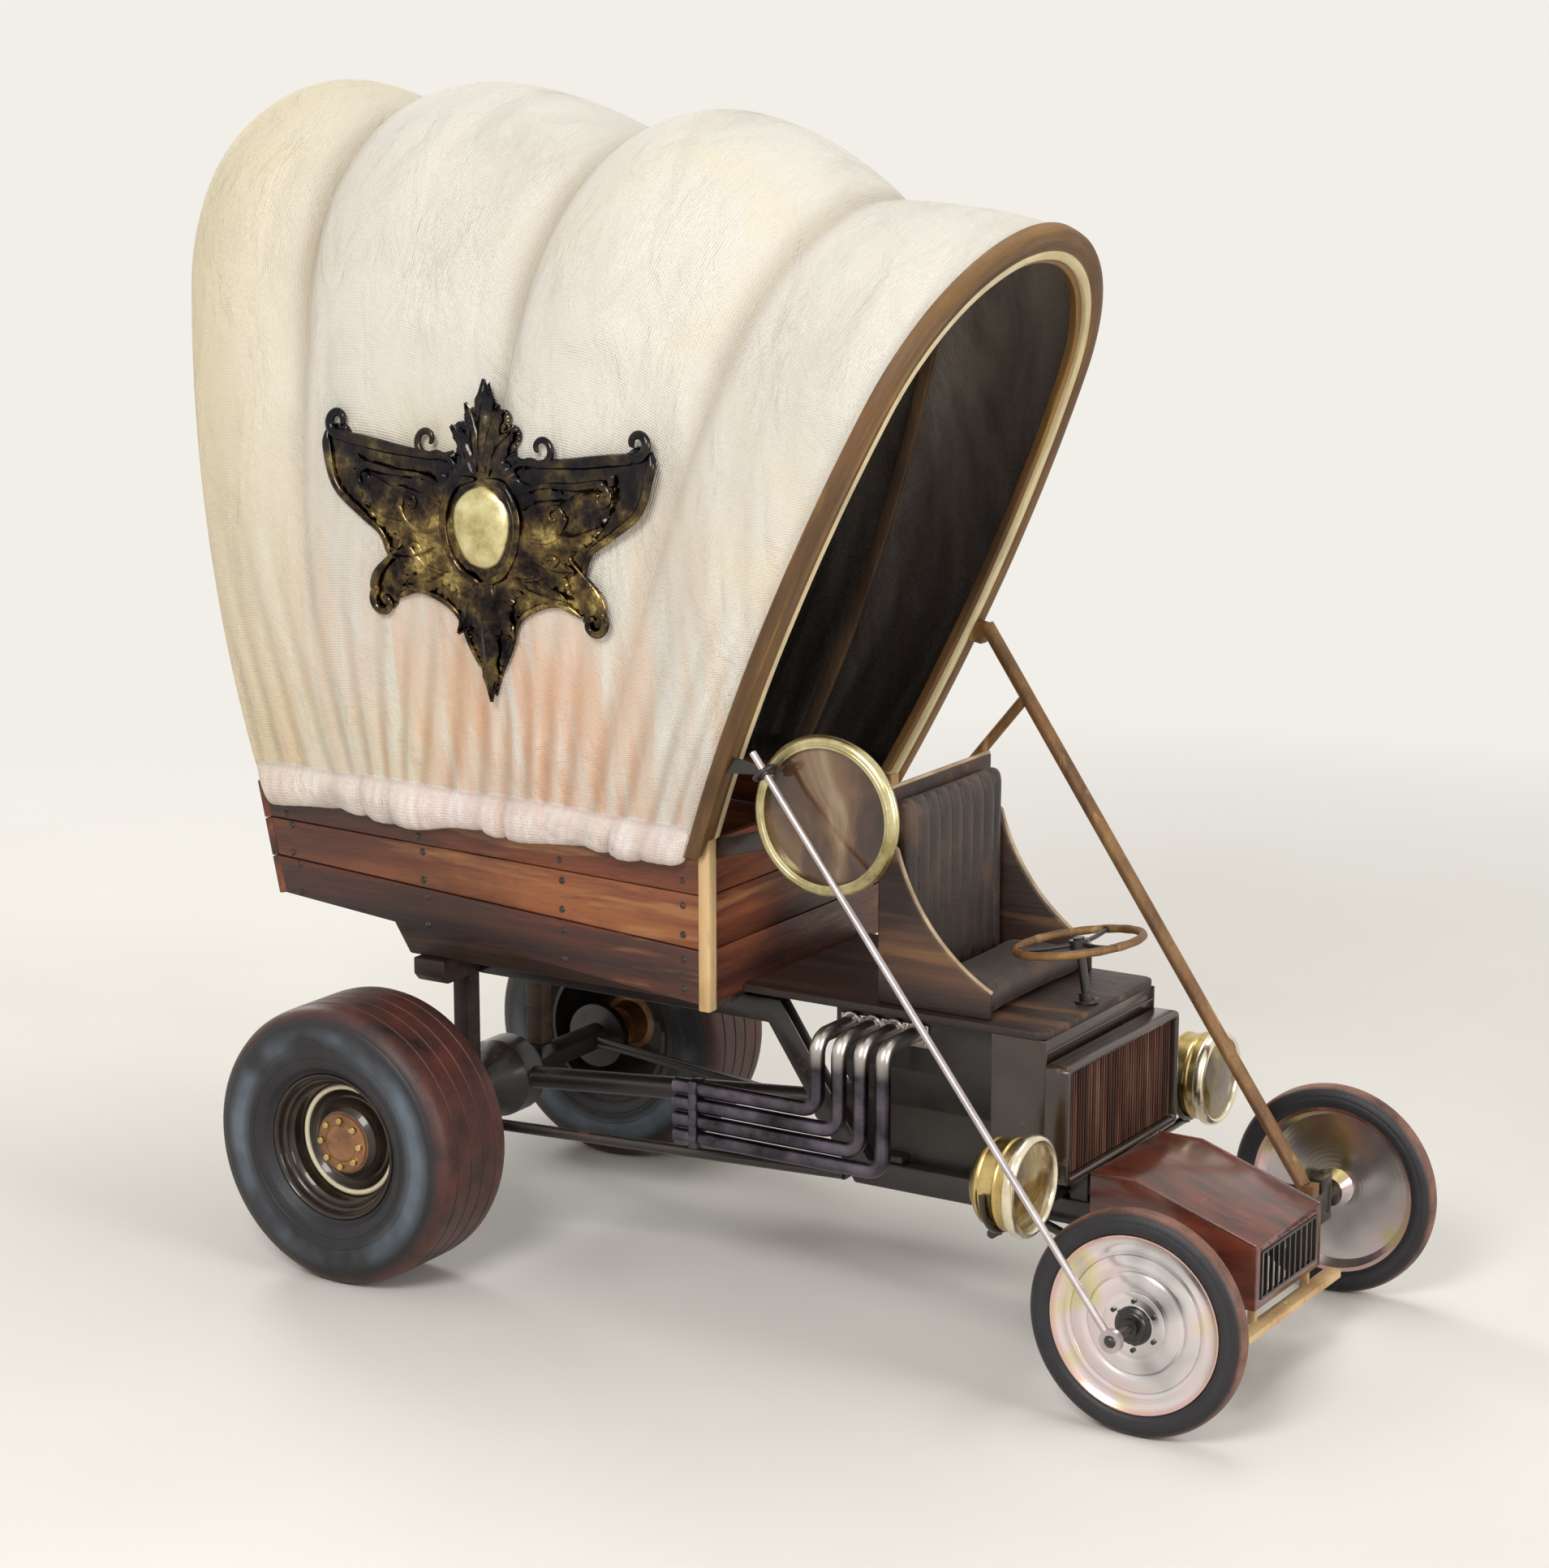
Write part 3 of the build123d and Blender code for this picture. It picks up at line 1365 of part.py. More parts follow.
def bow_face_x(z):
    """Place of the front bow's leaning front face at a height."""
    lean = front_station.lean
    return (front_station.base_x + (z - hem_z) * lean.X / lean.Z
            + (front_bow_depth + seat_gap) / front_station.rise)


# Far-side pole with its brace, and the ring that guides the near-side rod
with BuildPart() as far_pole:
    top = Vector(*pole_top)
    foot = Vector(*pole_foot)
    joint = top + (foot - top) * brace_on_pole
    brace_end = Vector(*brace_foot)
    with BuildSketch(Plane(origin=foot, z_dir=top - foot)):
        Circle(pole_radius)
    extrude(amount=(top - foot).length)
    with BuildSketch(Plane(origin=brace_end, z_dir=joint - brace_end)):
        Circle(pole_radius * 0.75)
    extrude(amount=(joint - brace_end).length)
    with BuildSketch(Plane.YZ.offset(box_front_x + corner_post_depth)):
        with Locations((brace_end.Y, brace_end.Z)):
            Rectangle(pole_pad, 2 * pole_pad)
    extrude(amount=brace_pad)
    with BuildSketch(Plane.XY.offset(axle_z + beam_depth / 2)):
        with Locations((front_axle_x, foot.Y)):
            Rectangle(beam_width, pole_pad + 8)
    extrude(amount=foot.Z - axle_z - beam_depth / 2 + 8)
    with BuildSketch(side_on(top.Y)):
        with BuildLine():
            Polyline(
                (bow_face_x(top.Z - 50), top.Z - 50),
                (bow_face_x(top.Z - 50) + 46, top.Z - 58),
                (bow_face_x(top.Z + 12) + 40, top.Z + 4),
                (bow_face_x(top.Z + 12), top.Z + 12),
                close=True,
            )
        make_face()
    extrude(amount=pole_pad / 2, both=True)
save(far_pole, "far_pole")

with BuildPart() as rod_ring:
    ring_at = Vector(*rod_top)
    ring_plane = Plane(origin=ring_at, x_dir=rod_way.cross(Vector(0, 0, 1)), z_dir=rod_way)
    with BuildSketch(Plane(origin=ring_at, x_dir=ring_plane.x_dir, z_dir=ring_plane.y_dir)):
        with Locations((rod_ring_radius, 0)):
            Circle(rod_ring_wire)
    revolve(axis=Axis(ring_at, rod_way))
    with BuildSketch(side_on(ring_at.Y + rod_ring_radius)):
        with BuildLine():
            Polyline(
                (bow_face_x(ring_at.Z - 24), ring_at.Z - 24),
                (ring_at.X + 12, ring_at.Z - 10),
                (ring_at.X + 12, ring_at.Z + 10),
                (bow_face_x(ring_at.Z + 24), ring_at.Z + 24),
                close=True,
            )
        make_face()
    extrude(amount=5, both=True)
save(rod_ring, "rod_ring")

# Towing plate under the bolster
hitch_hole_radius = 11.0
hitch_thickness = 12.0
hitch_hole_x = rear_axle_x - diff_radius - 60
hitch_front_x = rear_axle_x + bolster_width / 2
hitch_rear_x = hitch_hole_x - 35
with BuildPart() as rear_hitch:
    with BuildSketch(Plane.XY.offset(bolster_bottom - hitch_thickness)):
        with Locations(((hitch_front_x + hitch_rear_x) / 2, 0)):
            RectangleRounded(hitch_front_x - hitch_rear_x, 100, 30)
        with Locations((hitch_hole_x, 0)):
            Circle(hitch_hole_radius, mode=Mode.SUBTRACT)
    extrude(amount=hitch_thickness)
save(rear_hitch, "rear_hitch")
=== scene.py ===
# %% [markdown]
# # A motor-driven covered wagon
# The CAD model gives every hard part at its true size and place. This notebook loads it,
# sets a camera and soft light, and then dresses the wagon piece by piece: canvas, wood,
# metal, rubber, glass and leather. Everything stays in the CAD frame, in metres.

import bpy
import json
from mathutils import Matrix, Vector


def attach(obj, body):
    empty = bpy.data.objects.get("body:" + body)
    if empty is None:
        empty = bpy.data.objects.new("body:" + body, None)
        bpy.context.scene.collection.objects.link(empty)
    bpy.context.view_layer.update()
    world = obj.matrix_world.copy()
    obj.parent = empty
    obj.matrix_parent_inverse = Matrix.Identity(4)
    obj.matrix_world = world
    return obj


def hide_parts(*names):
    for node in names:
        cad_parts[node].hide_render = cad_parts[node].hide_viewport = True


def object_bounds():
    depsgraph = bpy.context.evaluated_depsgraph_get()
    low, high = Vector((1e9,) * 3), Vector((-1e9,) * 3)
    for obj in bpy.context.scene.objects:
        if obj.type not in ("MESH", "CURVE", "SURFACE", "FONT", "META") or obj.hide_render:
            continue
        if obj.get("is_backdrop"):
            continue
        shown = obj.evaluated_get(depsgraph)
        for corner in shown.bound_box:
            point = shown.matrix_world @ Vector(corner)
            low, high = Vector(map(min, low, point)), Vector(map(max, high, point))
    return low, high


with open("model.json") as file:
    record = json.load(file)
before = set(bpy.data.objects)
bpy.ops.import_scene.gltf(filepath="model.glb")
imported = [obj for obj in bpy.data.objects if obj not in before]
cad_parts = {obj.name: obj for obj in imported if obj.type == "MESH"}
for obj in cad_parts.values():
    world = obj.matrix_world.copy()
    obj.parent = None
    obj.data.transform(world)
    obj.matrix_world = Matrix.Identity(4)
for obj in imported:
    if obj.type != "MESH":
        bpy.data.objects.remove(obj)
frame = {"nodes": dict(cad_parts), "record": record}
cad_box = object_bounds()
print("CAD box", [tuple(round(v, 3) for v in corner) for corner in cad_box])

# %% Shared imports and small tools
import json
import math

import bpy
import numpy as np
from mathutils import Vector, noise

scene = bpy.context.scene


def mm(*values):
    """Millimetres as metres, so that sizes read as they do on a drawing."""
    return values[0] / 1000 if len(values) == 1 else tuple(v / 1000 for v in values)


def tint(code):
    """A hex colour as the linear values that a shader reads."""
    parts = [int(code[i:i + 2], 16) / 255 for i in (1, 3, 5)]
    return tuple(v / 12.92 if v <= 0.04045 else ((v + 0.055) / 1.055) ** 2.4 for v in parts)


def within(value, low=0, high=1):
    """A value held between two limits."""
    return min(max(value, low), high)


def only(piece):
    """Select one piece and nothing else."""
    bpy.ops.object.select_all(action="DESELECT")
    piece.select_set(True)
    bpy.context.view_layer.objects.active = piece


# %% [markdown]
# ## Camera
# The viewpoint was fitted to the wheels, the box and the bonnet: it stands off the right
# front corner and looks a little down. A longer lens than the picture's keeps the same
# perspective and lets the wagon fill the frame.

# %% Camera
eye = Vector((5.748, -9.385, 3.975))
look = Vector((-0.087, 0.041, 1.537))
camera_data = bpy.data.cameras.new("studio_camera")
camera_data.lens = 84.0
camera = bpy.data.objects.new("studio_camera", camera_data)
camera.location = eye
camera.rotation_euler = (look - eye).to_track_quat("-Z", "Y").to_euler()
scene.collection.objects.link(camera)
scene.camera = camera
scene.view_settings.view_transform = "Standard"
print("camera distance", round((look - eye).length, 2))

# %% [markdown]
# ## Light, floor and background
# Four large soft lamps stand on the camera's side, in front, behind and above, so the
# canvas shows its folds and nothing burns out. The world is pale for the camera and for
# reflections, and darker as a light.


# %% Lamps, world and floor
def lamp(name, place, aim, size, power):
    data = bpy.data.lights.new(name, "AREA")
    data.shape = "DISK"
    data.size = size
    data.energy = power
    light = bpy.data.objects.new(name, data)
    light.location = place
    light.rotation_euler = (Vector(aim) - Vector(place)).to_track_quat("-Z", "Y").to_euler()
    scene.collection.objects.link(light)


lamp("key_lamp", (2.0, -9.0, 7.5), (0, 0, 1.6), 4.0, 590)
lamp("front_lamp", (9.0, -2.0, 4.0), (0.5, 0, 1.2), 4.0, 300)
lamp("rear_lamp", (-8.5, 4.5, 6.0), (-0.5, 0, 1.8), 4.0, 340)
lamp("top_lamp", (0, 1.5, 9.5), (0, 0, 1.5), 5.0, 200)

pale = tint("#f2efe9") + (1,)
world = bpy.data.worlds.new("pale_room")
scene.world = world
world.use_nodes = True
wires = world.node_tree
wires.nodes.clear()


def wired(kind, *sources, **values):
    """A node of the world: its first inputs linked to sources, its named inputs set."""
    made = wires.nodes.new("ShaderNode" + kind)
    for socket, source in zip(made.inputs, sources):
        wires.links.new(source, socket)
    for key, value in values.items():
        made.inputs[key].default_value = value
    return made


paths = wired("LightPath").outputs
seen = wired("Background", Color=pale, Strength=1.0).outputs[0]
room = wired("Background", Color=tint("#f4f1ec") + (1,), Strength=0.42).outputs[0]
pale_ray = paths["Is Camera Ray"]
for ray in ("Is Transmission Ray", "Is Glossy Ray"):
    either = wired("Math", pale_ray, paths[ray])
    either.operation = "MAXIMUM"
    pale_ray = either.outputs[0]
choose = wired("MixShader", pale_ray, room, seen)
wired("OutputWorld", choose.outputs[0])

bpy.ops.object.select_all(action="DESELECT")
bpy.ops.mesh.primitive_plane_add(size=240)
floor = bpy.context.object
floor.name = "studio_floor"
floor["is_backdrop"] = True
print("lamps and floor are in")

# %% [markdown]
# ## A short way to write finishes
# Every finish is a node material. The class below keeps each one to a few readable lines:
# noises stretched along a grain, ramps of colours, masks from a place on the wagon, and a
# bump. All patterns read Object coordinates, which are metres here, or a piece's own UV.


# %% Finish class
class Finish:
    """One node material, with short calls for the nodes that the wagon's finishes share."""

    def __init__(self, name, rough=0.6, metal=0.0, **sockets):
        self.material = bpy.data.materials.new(name)
        self.material.use_nodes = True
        self.tree = self.material.node_tree
        self.shader = self.tree.nodes["Principled BSDF"]
        self.set("Roughness", rough)
        self.set("Metallic", metal)
        for key, value in sockets.items():
            self.set(key.replace("_", " "), value)
        coordinates = self.node("TexCoord")
        self.place = coordinates.outputs["Object"]
        self.cloth = coordinates.outputs["UV"]

    def node(self, kind, values=None, **settings):
        made = self.tree.nodes.new("ShaderNode" + kind)
        for key, value in settings.items():
            setattr(made, key, value)
        for key, value in (values or {}).items():
            self.feed(value, made.inputs[key])
        return made

    def feed(self, value, socket):
        if isinstance(value, bpy.types.NodeSocket):
            self.tree.links.new(value, socket)
        elif hasattr(value, "__len__") and len(value) == 3 and socket.type == "RGBA":
            socket.default_value = (*value, 1)
        else:
            socket.default_value = value

    def set(self, key, value):
        self.feed(value, self.shader.inputs[key])

    def at(self, place=None, shift=(0, 0, 0), stretch=(1, 1, 1)):
        values = {"Vector": place or self.place, "Location": shift, "Scale": stretch}
        return self.node("Mapping", values).outputs["Vector"]

    def noise(self, scale, stretch=(1, 1, 1), detail=4, rough=0.55, place=None, warp=0.0):
        values = {
            "Vector": self.at(place, stretch=stretch), "Scale": scale, "Detail": detail,
            "Roughness": rough, "Distortion": warp,
        }
        return self.node("TexNoise", values).outputs["Fac"]

    def wave(self, scale, axis, warp=0.0, place=None):
        values = {"Vector": place or self.place, "Scale": scale, "Distortion": warp, "Detail": 2}
        return self.node("TexWave", values, bands_direction=axis).outputs["Fac"]

    def ramp(self, factor, *stops):
        made = self.node("ValToRGB", {"Fac": factor})
        elements = made.color_ramp.elements
        while len(elements) < len(stops):
            elements.new(0.5)
        for element, (where, colour) in zip(elements, stops):
            element.position = where
            element.color = (*tint(colour), 1)
        return made.outputs["Color"]

    def share(self, value, low, high, top=1.0):
        """How far a value has gone from low to high, from 0 to 1."""
        values = {"Value": value, "From Min": low, "From Max": high, "To Max": top}
        return self.node("MapRange", values).outputs["Result"]

    def maths(self, operation, first, second=0.0):
        return self.node("Math", {0: first, 1: second}, operation=operation).outputs[0]

    def times(self, first, second):
        return self.maths("MULTIPLY", first, second)

    def axis(self, letter):
        return self.node("SeparateXYZ", {0: self.place}).outputs[letter]

    def mix(self, factor, first, second):
        made = self.node("Mix", data_type="RGBA")
        self.feed(factor, made.inputs[0])
        self.feed(tint(first) if isinstance(first, str) else first, made.inputs[6])
        self.feed(tint(second) if isinstance(second, str) else second, made.inputs[7])
        return made.outputs[2]

    def bump(self, height, depth, after=None):
        values = {"Height": height, "Distance": depth, "Strength": 1.0}
        if after is not None:
            values["Normal"] = after
        made = self.node("Bump", values)
        self.set("Normal", made.outputs["Normal"])
        return made.outputs["Normal"]

    def attribute(self, name):
        return self.node("Attribute", attribute_name=name).outputs["Fac"]

    def radius(self, x, z):
        """Distance from a line across the wagon, for the turned parts on it."""
        flat = self.at(shift=(-x, 0, -z), stretch=(1, 0, 1))
        return self.node("VectorMath", {0: flat}, operation="LENGTH").outputs["Value"]


finishes = {}

# %% [markdown]
# ## Floor finish
# A pale matt floor keeps a soft shadow near the wagon and fades into the pale room.

# %% Floor finish
ground = Finish("floor_paint", rough=0.9)
ground.set("Base Color", ground.ramp(ground.noise(0.6), (0.3, "#e9e5dd"), (0.7, "#eeebe4")))
far_away = ground.node("VectorMath", {0: ground.place}, operation="LENGTH").outputs["Value"]
glow = ground.node("Emission", {"Color": pale, "Strength": 1.0}).outputs[0]
fading = ground.node("MixShader", {0: ground.share(far_away, 3.4, 9.0), 1: ground.shader.outputs[0], 2: glow})
ground.feed(fading.outputs[0], ground.tree.nodes["Material Output"].inputs["Surface"])
floor.data.materials.append(ground.material)

# %% [markdown]
# ## Wood finishes
# The box is varnished plank with red-brown and orange streaks along the grain. A grain is
# noise that is stretched hard along the board. The same recipe with other colours gives
# the pale ash, a darker ash for the bows that is painted shade inside the bonnet, the
# brown bent rim and the dark oiled sills.


# %% Wood finishes
def wood(name, along, stops, rough, streak=None, dark_tone="#20140e", scale=7.0, darkening=None):
    """Wood with its grain along an axis, or along U of the piece's own UV. A painted shade towards
    the rear end is given by where it starts along the wagon, where it is full, and its colour."""
    timber = Finish(name, rough=rough)
    place = timber.cloth if along == "U" else timber.place
    long_way = {"X": (0.08, 1, 1), "Y": (1, 0.08, 1), "Z": (1, 1, 0.08), "U": (0.08, 1, 1)}[along]
    thin = tuple(v * 4 for v in long_way)
    broad = timber.noise(scale, long_way, detail=6, rough=0.62, place=place, warp=0.25)
    broad = timber.maths("ADD", broad, timber.attribute("tone"))
    fine = timber.noise(scale * 4, thin, detail=5, rough=0.7, place=place)
    colour = timber.ramp(broad, *stops)
    if streak:
        pale_lines = timber.noise(scale * 1.9, long_way, detail=4, place=place, warp=0.3)
        pale_lines = timber.share(pale_lines, 0.58, 0.70)
        colour = timber.mix(timber.times(pale_lines, 0.7), colour, streak)
    # painted shade: the wood darkens in patches towards the box's rear end
    if darkening:
        reach = timber.share(timber.axis("X"), *darkening[:2])
        reach = timber.times(reach, timber.share(timber.noise(3.0, long_way, detail=5), 0.3, 0.6))
        colour = timber.mix(timber.times(reach, 0.85), colour, darkening[2])
    colour = timber.mix(timber.share(fine, 0.56, 0.75, 0.6), colour, dark_tone)
    grime = timber.share(timber.noise(2.1, detail=5), 0.52, 0.74, 0.55)
    colour = timber.mix(grime, colour, dark_tone)
    timber.bump(fine, 0.0012)
    timber.set("Base Color", colour)
    rough_node = timber.maths("ADD", timber.share(fine, 0.3, 0.7, 0.25), rough - 0.1)
    timber.set("Roughness", rough_node)
    return timber.material


plank_stops = ((0.28, "#241210"), (0.42, "#4a2419"), (0.55, "#703a23"), (0.70, "#945832"))
# painted shade on the box's rear end: where it starts, where it is full, and its colour
rear_shade = (-0.9, -1.55, "#1c1518")
finishes["body_timber"] = wood("varnished_plank", "X", plank_stops, 0.42, "#b27c4b", darkening=rear_shade)
cross_plank = wood("cross_plank", "Y", plank_stops, 0.42, "#a8744a")
ash_stops = ((0.3, "#a07848"), (0.5, "#cda673"), (0.7, "#e2c493"))
finishes["pale_timber"] = wood("bare_ash", "Z", ash_stops, 0.6, dark_tone="#6b4a2c", scale=5.0)
oak_stops = ((0.3, "#1b110d"), (0.5, "#33211a"), (0.72, "#5a3b28"))
finishes["dark_timber"] = wood("oiled_oak", "X", oak_stops, 0.5, "#7a5636", scale=6.0)
rim_stops = ((0.28, "#4e3219"), (0.48, "#7d5730"), (0.62, "#94703f"), (0.78, "#b08a52"))
arch_stops = ((0.28, "#3a250f"), (0.46, "#644420"), (0.60, "#835f2e"), (0.78, "#a88247"))
bead_stops = ((0.3, "#b09a6e"), (0.5, "#d8c79c"), (0.7, "#e8dcb8"))
pale_bead = wood("pale_bead", "U", bead_stops, 0.5, dark_tone="#6b4a2c")
finishes["rim_timber"] = wood("bent_rim_wood", "Z", rim_stops, 0.5, "#c9a468", "#2f1d10", 9.0)
bent_wood = wood("bent_arch_wood", "U", arch_stops, 0.55, "#a5823f", "#241509", 9.0)
# a darker copy of the ash for the bows inside the bonnet: painted shade
shaded_ash_stops = ((0.3, "#3d2b1d"), (0.5, "#5d452e"), (0.7, "#7a5d3f"))
shaded_ash = wood("shaded_ash", "Z", shaded_ash_stops, 0.65, dark_tone="#241811", scale=5.0)
print("woods", len(finishes))

# %% [markdown]
# ## Metals
# Old enamel shows red rust in its worn places. Bare steel, brass and bronze take their look
# from reflections, so their colour stays plain and their roughness varies instead.


# %% Enamel, steel and brass
def enamel(name, dark, light, rust, rough=0.38, rust_from=0.58, coat=0.3, grain=(1, 1, 1)):
    paint = Finish(name, rough=rough, metal=0.0, Coat_Weight=coat, Coat_Roughness=0.18)
    blotch = paint.noise(3.2, grain, detail=6, rough=0.6)
    colour = paint.ramp(blotch, (0.3, dark), (0.7, light))
    worn = paint.share(paint.noise(17, detail=8, rough=0.72), rust_from, rust_from + 0.1)
    colour = paint.mix(paint.times(worn, paint.share(blotch, 0.4, 0.6)), colour, rust)
    paint.bump(paint.noise(60, detail=4), 0.0006)
    paint.set("Base Color", colour)
    paint.set("Roughness", paint.maths("ADD", paint.times(worn, 0.35), rough))
    return paint.material


def metal(name, low, high, rough, spread, grain=(1, 1, 1), scale=9.0, highlight_above=None):
    """Bare metal in two tones. Above a height it is painted lighter: a painted highlight."""
    bare = Finish(name, rough=rough, metal=1.0)
    cloud = bare.noise(scale, grain, detail=6, rough=0.65)
    colour = bare.ramp(cloud, (0.3, low), (0.7, high))
    if highlight_above:
        # a painted highlight: lighter above a height
        colour = bare.mix(bare.share(bare.axis("Z"), highlight_above, highlight_above + 0.08, 0.7), colour, "#e4ded6")
    bare.set("Base Color", colour)
    bare.set("Roughness", bare.maths("ADD", bare.times(cloud, spread), rough - spread / 2))
    bare.bump(bare.noise(scale * 12, grain, detail=3), 0.0003)
    return bare.material


finishes["frame_steel"] = enamel("frame_enamel", "#151210", "#2e2420", "#5f2f1b")
finishes["engine_iron"] = enamel("engine_casting", "#171513", "#322a24", "#4c2c1c", 0.5, coat=0.1)
finishes["radiator_shell"] = enamel("shell_bronze", "#14100e", "#3a281d", "#6d4c30", 0.26, 0.62, 0.6)
finishes["nose_panel"] = enamel("oxblood_enamel", "#2a100b", "#74331e", "#9a5c3e", 0.3, 0.6, 0.6, (1, 5, 5))
# the headers are lighter above 0.83 m: a painted highlight on their upper bends
finishes["exhaust_steel"] = metal("heated_steel", "#28252b", "#6e6772", 0.32, 0.3, scale=7.0, highlight_above=0.83)
finishes["bright_steel"] = metal("drawn_steel", "#a99da0", "#d5cccb", 0.3, 0.2, (1, 1, 0.3))
finishes["brass"] = metal("old_brass", "#a88a48", "#dcc68a", 0.3, 0.25)
cast = Finish("dark_bronze", metal=1.0)
cast_cloud = cast.noise(9, detail=7, rough=0.68)
# the palest tone stands in for glints: a painted highlight at random places
cast_stops = ((0.36, "#191719"), (0.47, "#3b322b"), (0.57, "#6e5b3a"), (0.68, "#c0aa6c"))
cast_colour = cast.ramp(cast_cloud, *cast_stops)
# the upper part is darker: from 2.42 m up, and fully from 2.58 m
crest_high = cast.share(cast.axis("Z"), 2.42, 2.58, 0.75)
cast.set("Base Color", cast.mix(crest_high, cast_colour, "#2b2b31"))
cast.set("Roughness", cast.share(cast_cloud, 0.3, 0.7, 0.3))
cast.bump(cast.noise(70, detail=3), 0.0008)
finishes["ornament_bronze"] = cast.material
print("metals done")

# %% [markdown]
# ## Radiator core
# The core is rows of flat tubes, which read as soft upright strokes of red-brown. A wave
# across the wagon draws the tubes, and noise stretched upwards streaks them. The tubes
# themselves are made further down.

# %% Radiator core
core = Finish("tube_core", rough=0.55, metal=0.25)
tubes = core.wave(26, "Y")
strokes = core.noise(6, (1, 3.0, 0.35), detail=4)
core_colour = core.ramp(strokes, (0.3, "#2a1711"), (0.5, "#5b3324"), (0.66, "#7d5440"), (0.8, "#8d7a72"))
core.set("Base Color", core.mix(core.times(tubes, 0.5), core_colour, "#1a0f0b"))
core.bump(tubes, 0.004)
finishes["radiator_core"] = core.material

# %% [markdown]
# ## Rubber
# Rear and front tyres are black. The rear sidewalls carry a blue-grey ring, a painted
# highlight, the front ones a dark ring, and the treads are browned by dust and by a painted
# highlight, peach on the front tyres. The rings follow the distance from the axle, so they
# turn with the wheel and stay round.


# %% Rubber
def rubber(name, x, z, ring, tread, sheen_tint, dust_and_sheen_tint):
    tyre = Finish(name, rough=0.5)
    away = tyre.radius(x, z)
    cloud = tyre.noise(9, detail=6, rough=0.65)
    colour = tyre.ramp(cloud, (0.3, "#131215"), (0.7, "#242226"))
    # a painted highlight: a ring on the sidewall, blue-grey on the rear tyres
    sheen_ring = tyre.times(tyre.share(away, ring[0], ring[1]), tyre.share(away, ring[3], ring[2]))
    sheen_ring = tyre.times(sheen_ring, tyre.share(tyre.noise(3.3, detail=3), 0.35, 0.62, 0.85))
    colour = tyre.mix(sheen_ring, colour, sheen_tint)
    # dust and a painted highlight on the tread
    dust_and_sheen = tyre.times(tyre.share(away, *tread), tyre.share(cloud, 0.25, 0.7))
    colour = tyre.mix(dust_and_sheen, colour, dust_and_sheen_tint)
    tyre.set("Base Color", colour)
    tyre.bump(tyre.noise(90, detail=4), 0.0012)
    return tyre.material


rear_axle_at = mm(-1110, 445)
front_axle_at = mm(1550, 330)
rear_rubber = rubber(
    "rear_rubber", *rear_axle_at, mm(300, 335, 360, 395), mm(405, 435), "#67737f", "#5e3229",
)
front_rubber = rubber(
    "front_rubber", *front_axle_at, mm(272, 284, 292, 306), mm(319, 329), "#26262b", "#9a6a54",
)
finishes["tyre"] = rear_rubber

# %% [markdown]
# ## Wheel centres
# The rear rim is a dark stepped pressing with a thin cream ring and a bronze hub. The front
# discs are spun and polished. Their soft patches of grey, yellow, red and pink are painted
# reflections and stay faint, and a pink ring near the edge is a painted highlight.

# %% Wheel centre finishes
stepped = Finish("stepped_rim", rough=0.35, metal=0.3, Coat_Weight=0.4)
step_away = stepped.radius(*rear_axle_at)
step_cloud = stepped.noise(14, detail=5)
step_colour = stepped.ramp(step_cloud, (0.3, "#16120f"), (0.7, "#3b2d22"))
hub_bronze = stepped.ramp(step_cloud, (0.3, "#6b4226"), (0.7, "#a87548"))
step_colour = stepped.mix(stepped.share(step_away, 0.100, 0.094), step_colour, hub_bronze)
stepped.set("Base Color", step_colour)
stepped.bump(step_cloud, 0.001)
finishes["rim_dark"] = stepped.material

spun = Finish("spun_disc", rough=0.2, metal=1.0)
spun_away = spun.radius(*front_axle_at)
# painted reflections: soft patches of grey, pink and yellow on the polished disc
reflection_patches = spun.noise(3.4, (1, 0.4, 1), detail=2)
spun_colour = spun.ramp(
    reflection_patches, (0.28, "#9c9799"), (0.42, "#dedada"), (0.52, "#ead9dd"), (0.6, "#e0d6a8"), (0.7, "#bdb3b5"),
)
# a pink ring near the disc's edge: a painted highlight
spun_colour = spun.mix(spun.share(spun_away, 0.243, 0.251, 0.65), spun_colour, "#dcaea2")
spun.set("Base Color", spun_colour)
spun.set("Roughness", spun.maths("ADD", spun.times(spun.noise(8, detail=4), 0.2), 0.12))
spun.bump(spun.maths("SINE", spun.times(spun_away, 420)), 0.00003)
finishes["polished_disc"] = spun.material

# %% [markdown]
# ## Glass and leather
# The lamp glasses are thick and amber, a little uneven. The leather is dark brown with a
# pebbled grain and paler wear.

# %% Glass and leather finishes
amber = Finish("amber_glass", rough=0.14, Transmission_Weight=0.3, IOR=1.45, Coat_Weight=0.5)
amber_stops = ((0.3, "#3c2b16"), (0.46, "#745a30"), (0.58, "#a1874e"), (0.72, "#d9cc9c"))
amber.set("Base Color", amber.ramp(amber.noise(6, detail=4, warp=0.6), *amber_stops))
amber.bump(amber.noise(14, detail=2), 0.004)
finishes["lamp_glass"] = amber.material

hide = Finish("dark_hide", rough=0.45, Sheen_Weight=0.1)
hide_cloud = hide.noise(5, detail=6)
grain_cells = hide.node("TexVoronoi", {"Vector": hide.place, "Scale": 260.0}).outputs["Distance"]
hide_colour = hide.ramp(hide_cloud, (0.3, "#1a1310"), (0.55, "#35251d"), (0.75, "#5f4532"))
hide.set("Base Color", hide_colour)
hide.bump(grain_cells, 0.0009)
finishes["seat_leather"] = hide.material
print("glass and leather done")
